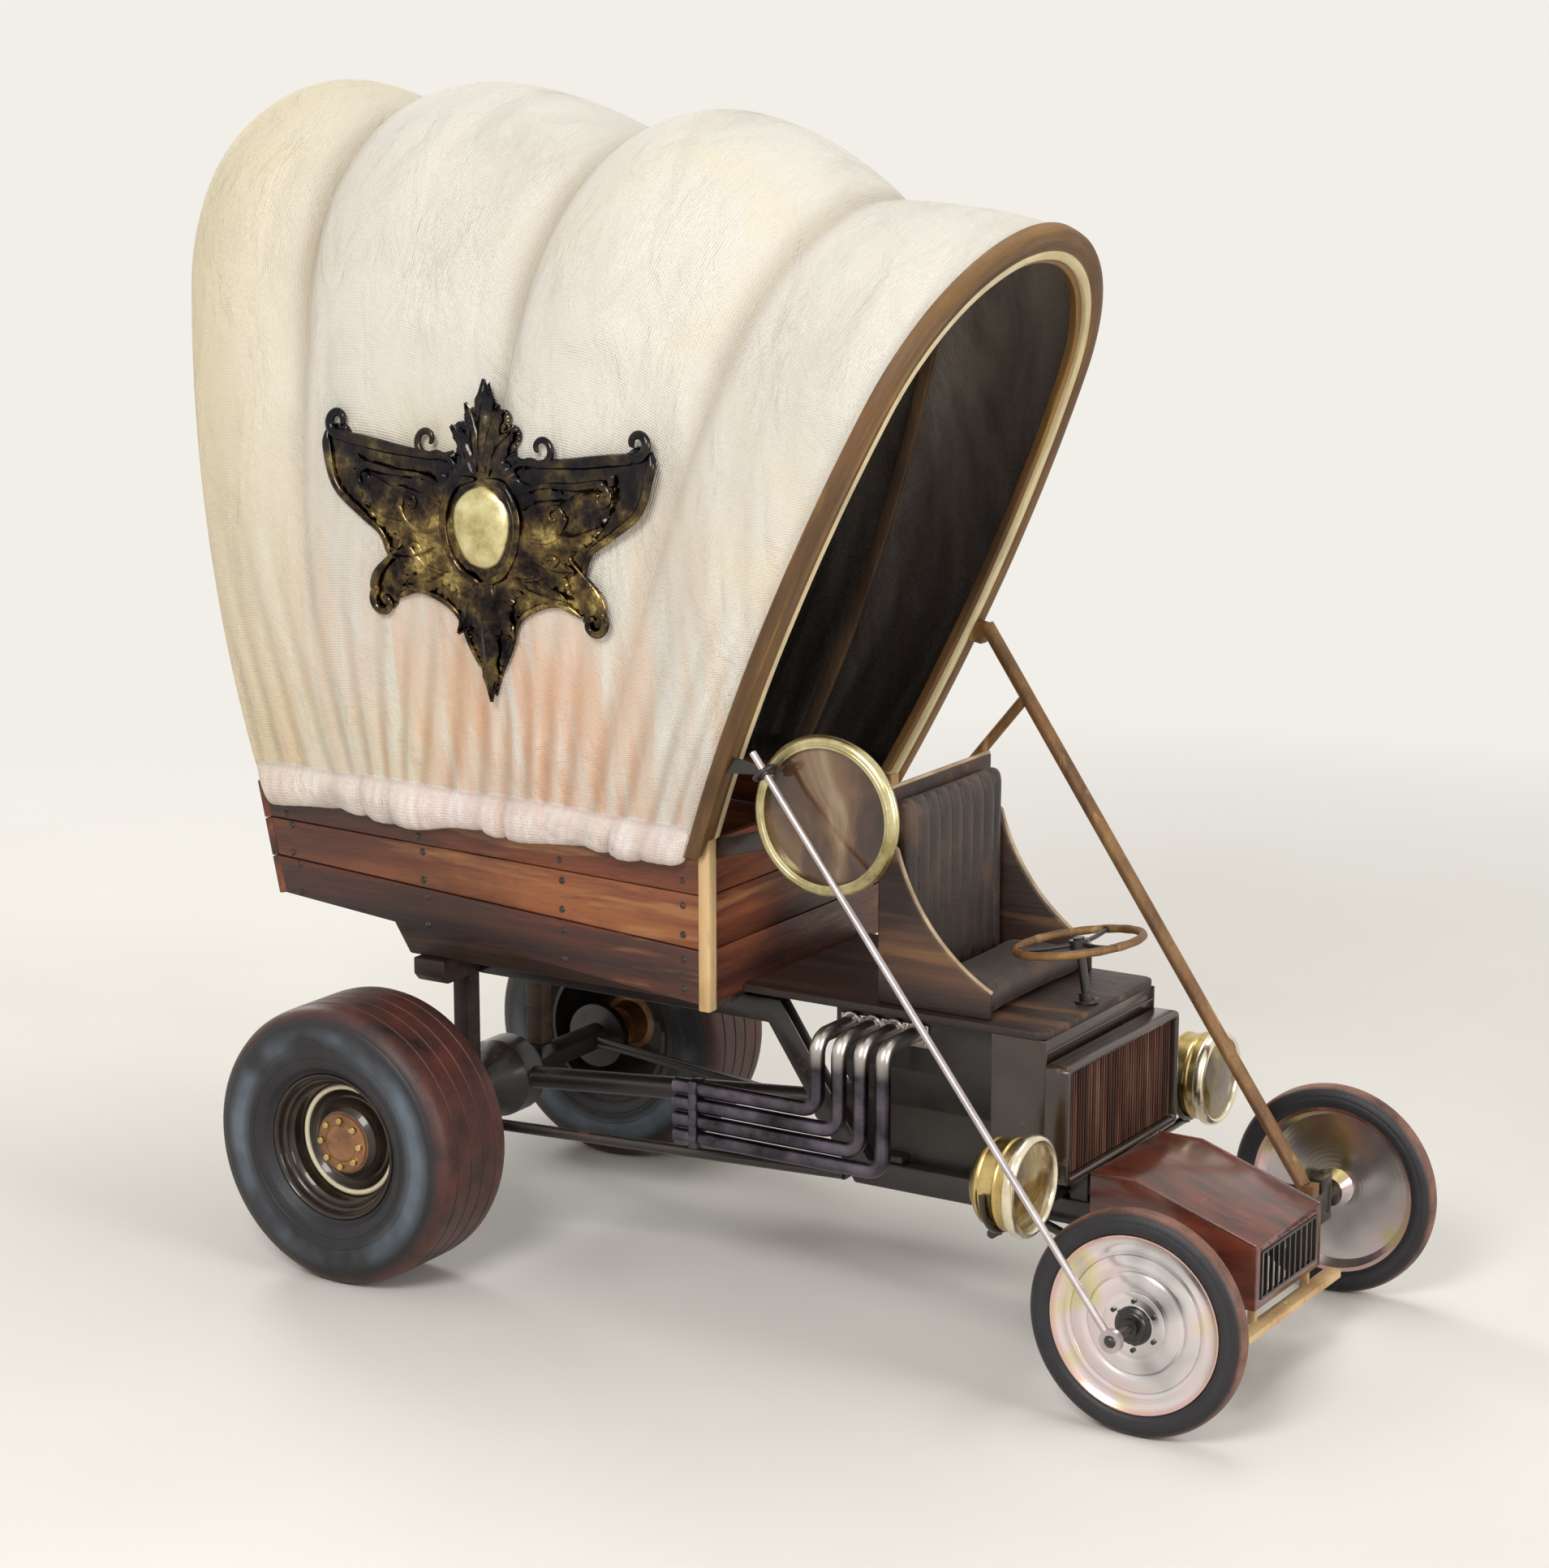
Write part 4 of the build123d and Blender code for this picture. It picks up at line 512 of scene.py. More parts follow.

# %% [markdown]
# ## Canvas
# Cotton duck, cream-white at the crown, peach and pink low on the sides, with yellowed
# patches, grey painted shade in the creases, a painted highlight on the crests of the
# gathers, and a dusty hem. The painted shade and highlight of the creases and of the hem's
# pinches follow an attribute that the cloth carries, and the weave follows its own UV in metres.


# %% Canvas finishes
def duck(name, white, shade, peach, yellow, dark_tone, warm="#e2a57c", inside=False):
    """Cotton duck, with painted shade in its creases and a painted highlight on its gathers' crests. Inside
    the bonnet the creases are darker, and painted shade deepens towards the bottom.
    """
    cloth = Finish(name, rough=0.86, Sheen_Weight=0.15, Sheen_Roughness=0.6)
    height = cloth.axis("Z")
    forward = cloth.axis("X")
    brushed = cloth.noise(2.4, (1.8, 0.5, 0.45), detail=6, rough=0.6, warp=0.5)
    colour = cloth.ramp(brushed, (0.30, shade), (0.52, white))
    low = cloth.share(height, 2.75, 1.55)
    streaks = cloth.share(cloth.noise(6.5, (2.4, 1, 0.22), detail=4, warp=0.3), 0.38, 0.62)
    colour = cloth.mix(cloth.times(cloth.times(low, streaks), 0.72), colour, peach)
    middle = cloth.share(cloth.maths("ABSOLUTE", cloth.maths("ADD", forward, 0.55)), 0.75, 0.1)
    under = cloth.times(cloth.times(middle, cloth.share(height, 2.25, 1.95)), streaks)
    colour = cloth.mix(cloth.times(under, 0.55), colour, warm)
    patch = cloth.share(cloth.noise(1.5, detail=4, warp=0.8), 0.52, 0.74)
    colour = cloth.mix(cloth.times(patch, 0.3), colour, yellow)
    back = cloth.share(forward, -1.20, -1.75)
    colour = cloth.mix(cloth.times(back, 0.55), colour, yellow)
    # inside the bonnet the duck darkens towards the bottom: painted shade
    if inside:
        colour = cloth.mix(cloth.share(height, 2.9, 1.7, 0.88), colour, "#15100e")
    # painted shade in the creases: the dark tone, orange-brown low under the ornament
    crease = cloth.attribute("crease")
    crease_shade = cloth.mix(cloth.times(under, 0.9), dark_tone, "#b9764a" if not inside else dark_tone)
    colour = cloth.mix(cloth.share(crease, 0, 1, 0.62), colour, crease_shade)
    # a painted highlight where the attribute is below zero, on the crests of gathers
    colour = cloth.mix(cloth.share(crease, 0, -0.5, 0.6), colour, "#f3e7dd" if not inside else white)
    hem = cloth.share(height, 1.60, 1.45)
    darkening = cloth.share(cloth.noise(7, detail=6), 0.45, 0.7)
    colour = cloth.mix(cloth.times(cloth.times(hem, darkening), 0.55), colour, dark_tone)
    weave = cloth.maths("ADD", cloth.wave(42, "X", 0.4, cloth.cloth), cloth.wave(42, "Y", 0.4, cloth.cloth))
    first = cloth.bump(weave, 0.0012)
    cloth.bump(cloth.noise(5, (1.2, 0.8, 0.6), detail=5, warp=0.9), 0.03, first)
    cloth.set("Base Color", colour)
    return cloth.material


finishes["canvas"] = duck("cotton_duck", "#e3ddd1", "#d0cabd", "#e3bd9e", "#e6d199", "#a9967c")
# the hem takes a lighter copy of the duck: a painted highlight on the rolled hem
highlit_hem_duck = duck("highlit_hem_duck", "#f6eeea", "#ead9d3", "#f1dbd2", "#efe0c4", "#a58d80", "#f2dccf")
# the inner face is the same duck made darker: painted shade inside the bonnet
shaded_inner_face = duck("shaded_duck", "#857a70", "#4e443d", "#5c3026", "#6d5b48", "#2a211d", "#5c3026", inside=True)

# %% [markdown]
# ## Finishes go on the CAD parts
# Each CAD part already names a material slot in the record. A loop gives it the finish of
# that slot; pieces that replace a part later take the same finish.

# %% Dress the CAD parts
slot_of = {row["node"]: row["material_slot"] for row in frame["record"]["subparts"]}
bodies = frame["record"]["behaviour"]["bodies"]
body_of = {node: body for body, nodes in bodies.items() for node in nodes}


def coat(piece, *materials):
    piece.data.materials.clear()
    for material in materials:
        piece.data.materials.append(material)


for node_name, node_object in frame["nodes"].items():
    coat(node_object, finishes[slot_of[node_name]])
for hand in ("left", "right"):
    coat(frame["nodes"]["front_tyre_" + hand], front_rubber)
# the bows take the darker ash: painted shade inside the bonnet
coat(frame["nodes"]["bows"], shaded_ash)
print(len(frame["nodes"]), "CAD parts dressed")

# %% [markdown]
# ## Ways of making pieces
# Turned parts come from a profile that is spun. Boards are boxes with rounded edges. Many
# steel parts keep the CAD shape, with its doubles merged and its edges eased by a bevel.


# %% Tools for pieces
def placed(piece, name, body, slot, material=None, stands_for=()):
    """Name a finished piece, give it its finish and hang it on its body."""
    piece.name = name
    if material is not None or not piece.data.materials:
        coat(piece, material or finishes[slot])
    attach(piece, body)
    if stands_for:
        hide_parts(*stands_for)


def linked(name, data):
    """A new object of the scene, made of its data."""
    piece = bpy.data.objects.new(name, data)
    scene.collection.objects.link(piece)
    return piece


def mesh_piece(name, points, faces, edges=()):
    data = bpy.data.meshes.new(name)
    data.from_pydata([tuple(p) for p in points], edges, faces)
    data.update()
    return linked(name, data)


def ring_faces(rings, sides):
    """The faces between rings of points, each ring joined to the next."""
    faces = []
    for ring in range(rings):
        for k in range(sides):
            a, b = ring * sides + k, ring * sides + (k + 1) % sides
            faces.append((a, b, b + sides, a + sides))
    return faces


def smooth(piece, angle=35):
    only(piece)
    bpy.ops.object.shade_smooth_by_angle(angle=math.radians(angle))


def modify(piece, kind, **settings):
    only(piece)
    modifier = piece.modifiers.new(kind.lower(), kind)
    for key, value in settings.items():
        setattr(modifier, key, value)
    bpy.ops.object.modifier_apply(modifier=modifier.name)


def edited(piece, *steps):
    """Run steps of mesh editing on the whole of a piece: each an operator and its settings."""
    only(piece)
    bpy.ops.object.mode_set(mode="EDIT")
    for operator, settings in steps:
        bpy.ops.mesh.select_all(action="SELECT")
        getattr(bpy.ops.mesh, operator)(**settings)
    bpy.ops.object.mode_set(mode="OBJECT")


def tidy_mesh(piece, distance=1e-5):
    """Merge a piece's doubled points and turn its faces outwards."""
    edited(piece, ("remove_doubles", {"threshold": distance}), ("normals_make_consistent", {"inside": False}))


def spun_about(name, profile, centre, axis, steps=72, angle=35):
    """Spin a profile of (along, radius) pairs round a line along X or Y through a centre."""
    way = Vector((1, 0, 0)) if axis == "X" else Vector((0, 1, 0))
    middle = Vector(centre)
    points = [middle + way * along + Vector((0, 0, radius)) for along, radius in profile]
    piece = mesh_piece(name, points, [], [(i, i + 1) for i in range(len(points) - 1)])
    edited(piece, ("spin", {"steps": steps, "angle": 2 * math.pi, "center": middle, "axis": way}))
    tidy_mesh(piece)
    smooth(piece, angle)
    return piece


def turned(name, profile, centre, steps=72, angle=35):
    """Spin a profile round an axle: a line across the wagon through a place along and up."""
    return spun_about(name, profile, (centre[0], 0, centre[1]), "Y", steps, angle)


def in_mm(profile):
    """A profile that is written in millimetres, in metres."""
    return [mm(along, radius) for along, radius in profile]


def bead(along, radius, wire):
    """The closed round profile of a wire, with twelve sides."""
    circle = [2 * math.pi * k / 12 for k in range(13)]
    return [(along + wire * math.cos(a), radius + wire * math.sin(a)) for a in circle]


def board(name, low, high, ease, segments=2):
    """A box between two corners, with eased edges."""
    bpy.ops.object.select_all(action="DESELECT")
    middle = [(a + b) / 2 for a, b in zip(low, high)]
    bpy.ops.mesh.primitive_cube_add(size=1, location=middle)
    piece = bpy.context.object
    piece.name = name
    piece.scale = [b - a for a, b in zip(low, high)]
    bpy.ops.object.transform_apply(location=True, rotation=True, scale=True)
    if ease:
        modify(piece, "BEVEL", width=ease, segments=segments)
        smooth(piece)
    return piece


def joined(pieces):
    """Several meshes as one, which is the first of them."""
    bpy.ops.object.select_all(action="DESELECT")
    for piece in pieces:
        piece.select_set(True)
    bpy.context.view_layer.objects.active = pieces[0]
    bpy.ops.object.join()
    return pieces[0]


def eased(node, ease, material):
    """A CAD part with its edges rounded: a merged copy, bevelled, that stands for the part."""
    piece = linked(node + "_eased", frame["nodes"][node].data.copy())
    flat_angle, edge_angle = math.radians(1.5), math.radians(32)
    edited(piece, ("remove_doubles", {"threshold": 2e-5}), ("dissolve_limited", {"angle_limit": flat_angle}))
    modify(piece, "BEVEL", width=ease, segments=2, limit_method="ANGLE", angle_limit=edge_angle,
           use_clamp_overlap=True)
    smooth(piece, 38)
    placed(piece, node + "_eased", body_of[node], slot_of[node], material, (node,))


def tube(name, points, radius, smooth_line=True):
    """A round rod or wire along points, made from a curve with a bevel."""
    data = bpy.data.curves.new(name, "CURVE")
    data.dimensions = "3D"
    data.bevel_depth = radius
    data.bevel_resolution = 4
    data.resolution_u = 8
    data.use_fill_caps = True
    line = data.splines.new("NURBS" if smooth_line else "POLY")
    line.points.add(len(points) - 1)
    for point, place in zip(line.points, points):
        point.co = (*place, 1)
    if smooth_line:
        line.order_u = 3
        line.use_endpoint_u = True
    piece = linked(name, data)
    only(piece)
    bpy.ops.object.convert(target="MESH")
    tidy_mesh(piece)
    smooth(piece, 50)
    return piece


# %% [markdown]
# ## The bonnet's shape
# Each bent bow gives a section: a crown arc and two leg arcs in a plane that leans. Between
# the bows the cloth billows, so the ridge rises in a hump and drops to a sharp dip at the
# bow. The bows and the hem are the CAD's, and the humps between them are drawn a little
# fuller. The functions below give any point of the cloth.

# %% Numbers of the bonnet
hem_z, hem_half = mm(1440, 582)
base_ends = mm(-1600, -10)
top_ends = mm(-1862, 842)
shoulder_slope = 0.2
# where along the ridge, height of the ridge, half width at the shoulder
bonnet_stations = (
    (0.000, 3.560, 0.622), (0.080, 3.668, 0.646), (0.190, 3.550, 0.625),
    (0.310, 3.660, 0.648), (0.510, 3.490, 0.628), (0.630, 3.585, 0.645),
    (0.800, 3.345, 0.622), (0.900, 3.330, 0.632), (1.000, 3.285, 0.630),
)
crown_share = 0.44
# the ornament's middle, along and up, and the arc of its back across the right side:
# radius, height of the arc's middle, and how far out it reaches
ornament_at = mm(-615, 2350)
side_radius, side_height, side_face = 3.5244, 2.4035, -0.7169


def plate_level(z):
    """Where across the wagon the ornament's back lies at a height."""
    return side_face + side_radius - math.sqrt(side_radius ** 2 - (z - side_height) ** 2)


def swell(share, column):
    """A ridge height or a shoulder width at a share of the ridge, billowed between bows."""
    for bay in range(0, 8, 2):
        first, middle, last = bonnet_stations[bay:bay + 3]
        if share <= last[0]:
            break
    reach = within((share - first[0]) / (last[0] - first[0]))
    peak = (middle[0] - first[0]) / (last[0] - first[0])
    line = first[column] + (last[column] - first[column]) * reach
    rise = middle[column] - (first[column] + (last[column] - first[column]) * peak)
    bend = math.log(0.5) / math.log(peak)
    return line + rise * math.sin(math.pi * reach ** bend) ** 0.8, reach


def bonnet_point(share, turn):
    """A point of the outer skin: share along the ridge, turn from -1 (right) to 1 (left)."""
    base_x = base_ends[0] + share * (base_ends[1] - base_ends[0])
    top_x = top_ends[0] + share * (top_ends[1] - top_ends[0])
    ridge = swell(share, 1)[0]
    shoulder = swell(share, 2)[0]
    lean = Vector((top_x - base_x, 0, ridge - hem_z))
    crown = lean.length
    up = lean.normalized()
    start = math.atan(shoulder_slope)
    radius = shoulder * math.hypot(1, shoulder_slope)
    shoulder_v = crown - radius + shoulder_slope * shoulder
    hand = 1 if turn >= 0 else -1
    way = abs(turn)
    if way <= crown_share:
        angle = math.pi / 2 - (math.pi / 2 - start) * way / crown_share
        across = radius * math.cos(angle)
        high = crown - radius + radius * math.sin(angle)
    else:
        chord = Vector((shoulder - hem_half, shoulder_v))
        leg = chord.length / 2 / math.sin(start + math.asin(chord.x / chord.length))
        centre = (shoulder - leg * math.cos(start), shoulder_v - leg * math.sin(start))
        low = math.asin(-centre[1] / leg)
        angle = start + (low - start) * (way - crown_share) / (1 - crown_share)
        across = centre[0] + leg * math.cos(angle)
        high = centre[1] + leg * math.sin(angle)
    return Vector((base_x, hand * across, hem_z)) + up * high


print("ridge middle", bonnet_point(0.5, 0.0))

# %% [markdown]
# ## The canvas
# One sheet covers the sides and the crown, turns over the rear bow and is gathered round
# the rear hole. It is a grid whose points follow the functions above, with folds added by
# formula: creases that run down from each dip, soft gathers above the hem, and a rolled
# hem that waves along the box. Solidify gives it a thickness, and its inner face takes a
# darker copy of the duck: painted shade inside the bonnet.

# %% Canvas grid
rows, half_columns = 170, 84
# the hem's section: how far out and how high above the foot, in mm
hem_profile = (
    (4, 87), (14, 79), (27, 67), (36, 50), (39, 30), (35, 10), (25, -5), (12, -11), (0, -5), (-4, 6),
)
hem_rise = 94.0
hem_share = 0.957
hem_ends = ((-1, 0), (1, 2 * half_columns))
# how far the rear sheet lies behind its bow, and the share of the ridge that folds fade over
behind_bow, fade_share = 0.006, 0.02
# metres of cloth along the ridge and from the ridge to the hem, for the weave
cloth_long, cloth_down = 2.4, 2.6
rear_top = bonnet_point(0, 0)
rear_foot = bonnet_point(0, 1)
rear_up = (Vector((rear_top.x, 0, rear_top.z)) - Vector((rear_foot.x, 0, hem_z))).normalized()
rear_back = Vector((-rear_up.z, 0, rear_up.x))


def off_the_ornament(point):
    """0 behind the ornament, 1 well clear of it."""
    if point.y > 0:
        return 1.0
    along, up = (point.x - ornament_at[0]) / 0.66, (point.z - ornament_at[1]) / 0.53
    return within(((along ** 4 + up ** 4) ** 0.25 - 0.97) / 0.2)


def folds(share, turn, point):
    """How far the cloth stands out from its plain shape, and how deep in a crease it is, which the finish
    paints as shade; below zero, on a gather's crest, it paints a highlight.
    """
    away = abs(turn)
    nearest = min(abs(share - bonnet_stations[i][0]) for i in (2, 4, 6))
    fade = max(0.0, 1 - max(0.0, away - 0.42) / 0.52)
    crease = math.exp(-(nearest / 0.015) ** 2) * fade
    out = -0.006 * crease
    reach = swell(share, 1)[1]
    on_the_side = within((away - 0.22) / 0.25) * within((1 - away) / 0.3)
    out += 0.024 * math.sin(math.pi * reach) ** 0.75 * on_the_side
    drift = 1.3 * noise.noise(Vector((share * 5, turn * 2.2, 3.1)))
    low = within((away - 0.62) / 0.36) ** 1.5
    front = math.exp(-((share - 0.62) / 0.26) ** 2)
    gather = math.sin(2 * math.pi * (share * 19 + drift * 0.9 + 0.6 * away))
    out += low * (0.006 + 0.018 * front) * gather
    out += 0.010 * noise.noise(Vector((point.x * 2.2, point.y * 1.5, point.z * 1.3)))
    out += 0.003 * noise.noise(Vector((point.x * 7, turn * 3, point.z * 2.2 + 9)))
    # painted shade in a gather's valley, and a painted highlight on its crest in front
    valley = low * (max(0.0, -gather) * 0.8 - max(0.0, gather) * 0.35 * front)
    flat = off_the_ornament(point)
    out = min(out, 0.0) * (1 - flat) * 0.8 + out * flat
    if min(nearest, share) < 0.022:
        out = max(out, -0.0035)
    return out, min(1.0, 0.8 * crease + valley)


points, crease_of, uv_of, faces, hem_faces = [], [], [], [], []
index_of = {}
turns = [i / half_columns for i in range(-half_columns, half_columns + 1)]
probe = 0.004
for row in range(rows + 1):
    share = row / rows
    edge = min(1.0, min(share, 1 - share) / fade_share)
    for column, turn in enumerate(turns):
        around = turn * hem_share
        here = bonnet_point(share, around)
        ahead = bonnet_point(min(share + probe, 1.0), around)
        behind = bonnet_point(max(share - probe, 0.0), around)
        left, right = bonnet_point(share, around + probe), bonnet_point(share, around - probe)
        facing = (ahead - behind).cross(left - right).normalized()
        out, dark = folds(share, turn, here)
        if abs(turn) > 0.9:
            out = max(out, -0.006) * (1 - abs(turn)) / 0.1
        index_of[row, column] = len(points)
        place = here + facing * out * edge + rear_back * behind_bow * max(0, 1 - share / fade_share)
        clear = off_the_ornament(place)
        if clear < 1:
            held = max(place.y, plate_level(place.z) + 0.001)
            place.y = clear * place.y + (1 - clear) * held
        points.append(place)
        crease_of.append(dark)
        uv_of.append((share * cloth_long, turn * cloth_down))
    # the puckered hem: more columns puff out below a tuck and turn under at both feet
    for hand, column in hem_ends:
        tuck = points[index_of[row, column]].copy()
        foot = bonnet_point(share, hand)
        wave = noise.noise(Vector((share * 6.5, hand * 4.0, 0.5)))
        slack = 0.5 + 0.5 * noise.noise(Vector((share * 13, hand * 3.0, 7.5)))
        pinch = abs(math.sin(math.pi * (share * 8.3 + 1.1 * wave + 0.2 * hand))) ** 0.6
        pinch = 1 - (1 - pinch) * (0.25 + 0.75 * slack)
        closed = edge ** 0.5
        size = (0.55 + 0.55 * pinch) * (1 + 0.35 * wave) * closed
        frill = 0.0030 * math.sin(2 * math.pi * (share * 46 + 1.4 * wave)) * closed
        sag = (0.018 * (pinch - 0.6) + 0.030 * wave) * closed
        for step, (out, rise) in enumerate(hem_profile, 1):
            level = foot.lerp(tuck, rise / hem_rise)
            out = mm(out) * size + frill * math.sin(math.pi * step / len(hem_profile))
            drop = sag * (1 - max(0, rise) / hem_rise)
            index_of[row, "hem", hand, step] = len(points)
            points.append(Vector((level.x, level.y + hand * out, level.z - drop)))
            # painted shade in the hem's pinches, and where it leaves the side and under its roll
            crease_of.append(0.7 * (1 - pinch) + (0.35 if step in (1, 8) else 0.0))
            uv_of.append((share * cloth_long, hand * (cloth_down + 0.02 * step)))
for row in range(rows):
    for column in range(len(turns) - 1):
        a, b = index_of[row, column], index_of[row, column + 1]
        c, d = index_of[row + 1, column + 1], index_of[row + 1, column]
        faces.append((a, d, c, b))
    for hand, column in hem_ends:
        ring = [(index_of[row, column], index_of[row + 1, column])]
        for step in range(1, len(hem_profile) + 1):
            ring.append((index_of[row, "hem", hand, step], index_of[row + 1, "hem", hand, step]))
        for (a, d), (b, c) in zip(ring, ring[1:]):
            hem_faces.append(len(faces))
            faces.append((a, d, c, b) if hand == 1 else (a, b, c, d))
print("side sheet", len(points), "points")

# %% Rear gather
# the rear sheet runs in rings from the side sheet's end, clear of the box, to the gathered hole
ring_count, bottom_steps, pleat_count = 26, 28, 18
hole_half, hole_tall, hole_z = mm(250, 400, 2420)
box_clear_z = 1.502
outline = []
for column in range(len(turns)):
    number = index_of[0, column]
    if points[number].z > box_clear_z:
        outline.append((points[number].copy(), number))
low_left, low_right = outline[-1][0], outline[0][0]
for step in range(1, bottom_steps):
    outline.append((low_left.lerp(low_right, step / bottom_steps), None))
centre = Vector((base_ends[0], 0, hem_z)) + rear_up * ((hole_z - hem_z) / rear_up.z)
previous, rear_first = None, len(faces)
for ring in range(ring_count + 1):
    reach = ring / ring_count
    current = []
    for point, known in outline:
        if ring == 0 and known is not None:
            current.append(known)
            continue
        level = point - centre
        angle = math.atan2(level.dot(rear_up) / hole_tall, level.y / hole_half)
        cosine, sine = math.cos(angle), math.sin(angle)
        rim = centre + Vector((0, cosine * hole_half, 0)) + rear_up * (sine * hole_tall)
        place = point.lerp(rim, reach)
        drift = noise.noise(Vector((cosine * 2, sine * 2, 1)))
        pleat = math.sin(angle * pleat_count + 1.6 * drift)
        bulge = 0.018 * math.sin(math.pi * min(1, reach * 1.15)) ** 0.7 if reach < 0.87 else 0.0
        puff = 0.010 * reach ** 2.2 * pleat + bulge
        soft = 0.006 * noise.noise(place * 3)
        place = place + rear_back * (puff + soft + behind_bow if ring else behind_bow)
        current.append(len(points))
        points.append(place)
        # painted shade in the folds of the rear pleats
        crease_of.append(0.9 * reach ** 2 * max(0, -pleat))
    if previous:
        for number in range(len(current)):
            after = (number + 1) % len(current)
            faces.append((previous[number], previous[after], current[after], current[number]))
    previous = current
canvas = mesh_piece("wagon_canvas", points, faces)
# the sides and the hem unroll along the bonnet, and the rear sheet is laid flat
layer = canvas.data.uv_layers.new(name="cloth")
for face in canvas.data.polygons:
    for loop in face.loop_indices:
        number = canvas.data.loops[loop].vertex_index
        away = points[number] - centre
        layer.data[loop].uv = (away.y, away.dot(rear_up)) if face.index >= rear_first else uv_of[number]
dark_attribute = canvas.data.attributes.new("crease", "FLOAT", "POINT")
dark_attribute.data.foreach_set("value", crease_of)
print("canvas area", round(sum(face.area for face in canvas.data.polygons), 2))

# %% Canvas thickness and placing
# the inner faces take the darker duck: painted shade
coat(canvas, finishes["canvas"], shaded_inner_face, highlit_hem_duck, shaded_inner_face)
# the hem's faces take the lighter duck: a painted highlight
for number in hem_faces:
    canvas.data.polygons[number].material_index = 2
modify(canvas, "SOLIDIFY", thickness=0.003, offset=-1, material_offset=1, use_rim=True)
smooth(canvas, 60)
placed(canvas, "wagon_canvas", "chassis", "canvas", stands_for=("canopy", "rear_curtain"))

# %% [markdown]
# ## The front rim
# A thick bent bow closes the front of the bonnet. Its section is rounded outside, has a
# groove, and ends in a pale bead on the inner edge. The section is carried round the arch.

# %% Front rim
front_up = (bonnet_point(1, 0) - Vector((base_ends[1], 0, hem_z))).normalized()
front_out = Vector((front_up.z, 0, -front_up.x))
rim_section = [
    (14, 3), (14, 20), (12, 36), (6, 45), (-6, 48), (-24, 48), (-38, 46), (-44, 41), (-50, 41), (-56, 46),
    (-68, 48), (-80, 47), (-85, 42), (-86, 33), (-92, 31), (-99, 31), (-103.5, 27), (-104, 16), (-103, 4),
    (-98, 0.5), (-40, 0.5), (10, 0.5),
]
arch_steps = 150
around_section = [0.0]
for before, after in zip(rim_section, rim_section[1:]):
    around_section.append(around_section[-1] + math.dist(before, after) / 1000)
# the feet end flat: the outer lip at the hem, the rest just above the box's top edge
lip_foot_z, rim_foot_z = mm(1442, 1498)
rim_points, rim_uv = [], []
along_arch, last_place = 0.0, None
for step in range(arch_steps + 1):
    turn = -1 + 2 * step / arch_steps
    here = bonnet_point(1, turn)
    tangent = (bonnet_point(1, min(turn + 0.01, 1)) - bonnet_point(1, max(turn - 0.01, -1))).normalized()
    outward = front_out.cross(tangent).normalized()
    along_arch += (here - last_place).length if last_place else 0.0
    last_place = here
    for (out, deep), around_it in zip(rim_section, around_section):
        rim_uv.append((along_arch, around_it))
        worn = 1 + 0.02 * noise.noise(here * 6 + Vector((out * 0.05, 0, 0)))
        place = here + outward * mm(out) * worn + front_out * mm(deep)
        place.z = max(place.z, lip_foot_z if out > -10 else rim_foot_z)
        rim_points.append(place)
count = len(rim_section)
rim_faces = ring_faces(arch_steps, count)
rim_faces.append(tuple(range(count)))
rim_faces.append(tuple(reversed([arch_steps * count + k for k in range(count)])))
front_rim = mesh_piece("front_rim", rim_points, rim_faces)
layer = front_rim.data.uv_layers.new(name="grain")
for loop in front_rim.data.loops:
    layer.data[loop.index].uv = rim_uv[loop.vertex_index]
coat(front_rim, bent_wood, pale_bead)
for number in range(arch_steps * count):
    # the bead's part of the section
    front_rim.data.polygons[number].material_index = 1 if number % count in (9, 10, 11, 12) else 0
tidy_mesh(front_rim, distance=1e-6)
smooth(front_rim, 40)
placed(front_rim, "front_rim", "chassis", "rim_timber", stands_for=("front_bow",))
print("rim faces", len(rim_faces))

# %% [markdown]
# ## Wheels
# A tyre, a rim and a disc are turned shapes, so each is a profile spun round its axle. The
# rear tyres are wide slicks with ringed sidewalls. The front ones are thin, on discs that
# are spun from one sheet with pressed rings. Left and right wheels mirror one profile.

# %% Rear wheels
rear_tyre_half = [
    (151, 235.4), (157, 245), (168, 252), (176, 262), (180, 276), (182.5, 284), (181, 288),
    (183.5, 292), (184.8, 312), (185, 318), (183, 322), (184.9, 326), (185, 350), (184, 372),
    (181, 392), (176, 406), (173, 409), (172, 413), (165, 425), (153, 436), (138, 442.5),
    (118, 444.6), (100, 444.8), (98, 441.5), (94, 441.5), (92, 445), (34, 445), (32, 441.5),
    (28, 441.5), (26, 445),
]
rear_middle = 755
rear_rim_profile = [
    (-85, 31), (-85, 66), (-20, 78), (15, 150), (15, 219), (-149, 221), (-149, 234.6),
    (149, 234.6), (154, 231), (155, 226), (151, 221), (141, 217), (131, 215), (125, 211),
    (122, 205), (112, 201), (106, 196), (101, 190), (88, 188), (80, 184), (70, 183), (63, 180),
    (62, 160), (56, 154), (50, 148), (45, 138), (47, 132), (58, 128), (66, 124), (80, 120),
    (86, 116), (90, 108), (96, 103), (99, 98), (100, 94), (106, 92), (109, 86), (110, 60),
    (113, 57), (115, 50), (116, 30), (117, 0),
]
cream = enamel("cream_paint", "#d8cba8", "#f0e6c9", "#a58a5e", 0.4, 0.66)


def both_sides(half):
    """A tyre's closed profile, from the half of it on one side of its middle."""
    return half + [(-along, radius) for along, radius in reversed(half)] + half[:1]


def beside(sign, middle, profile):
    """A wheel's profile in metres, set out to its middle on the left (1) or the right (-1)."""
    return [mm(sign * (middle + along), radius) for along, radius in profile]


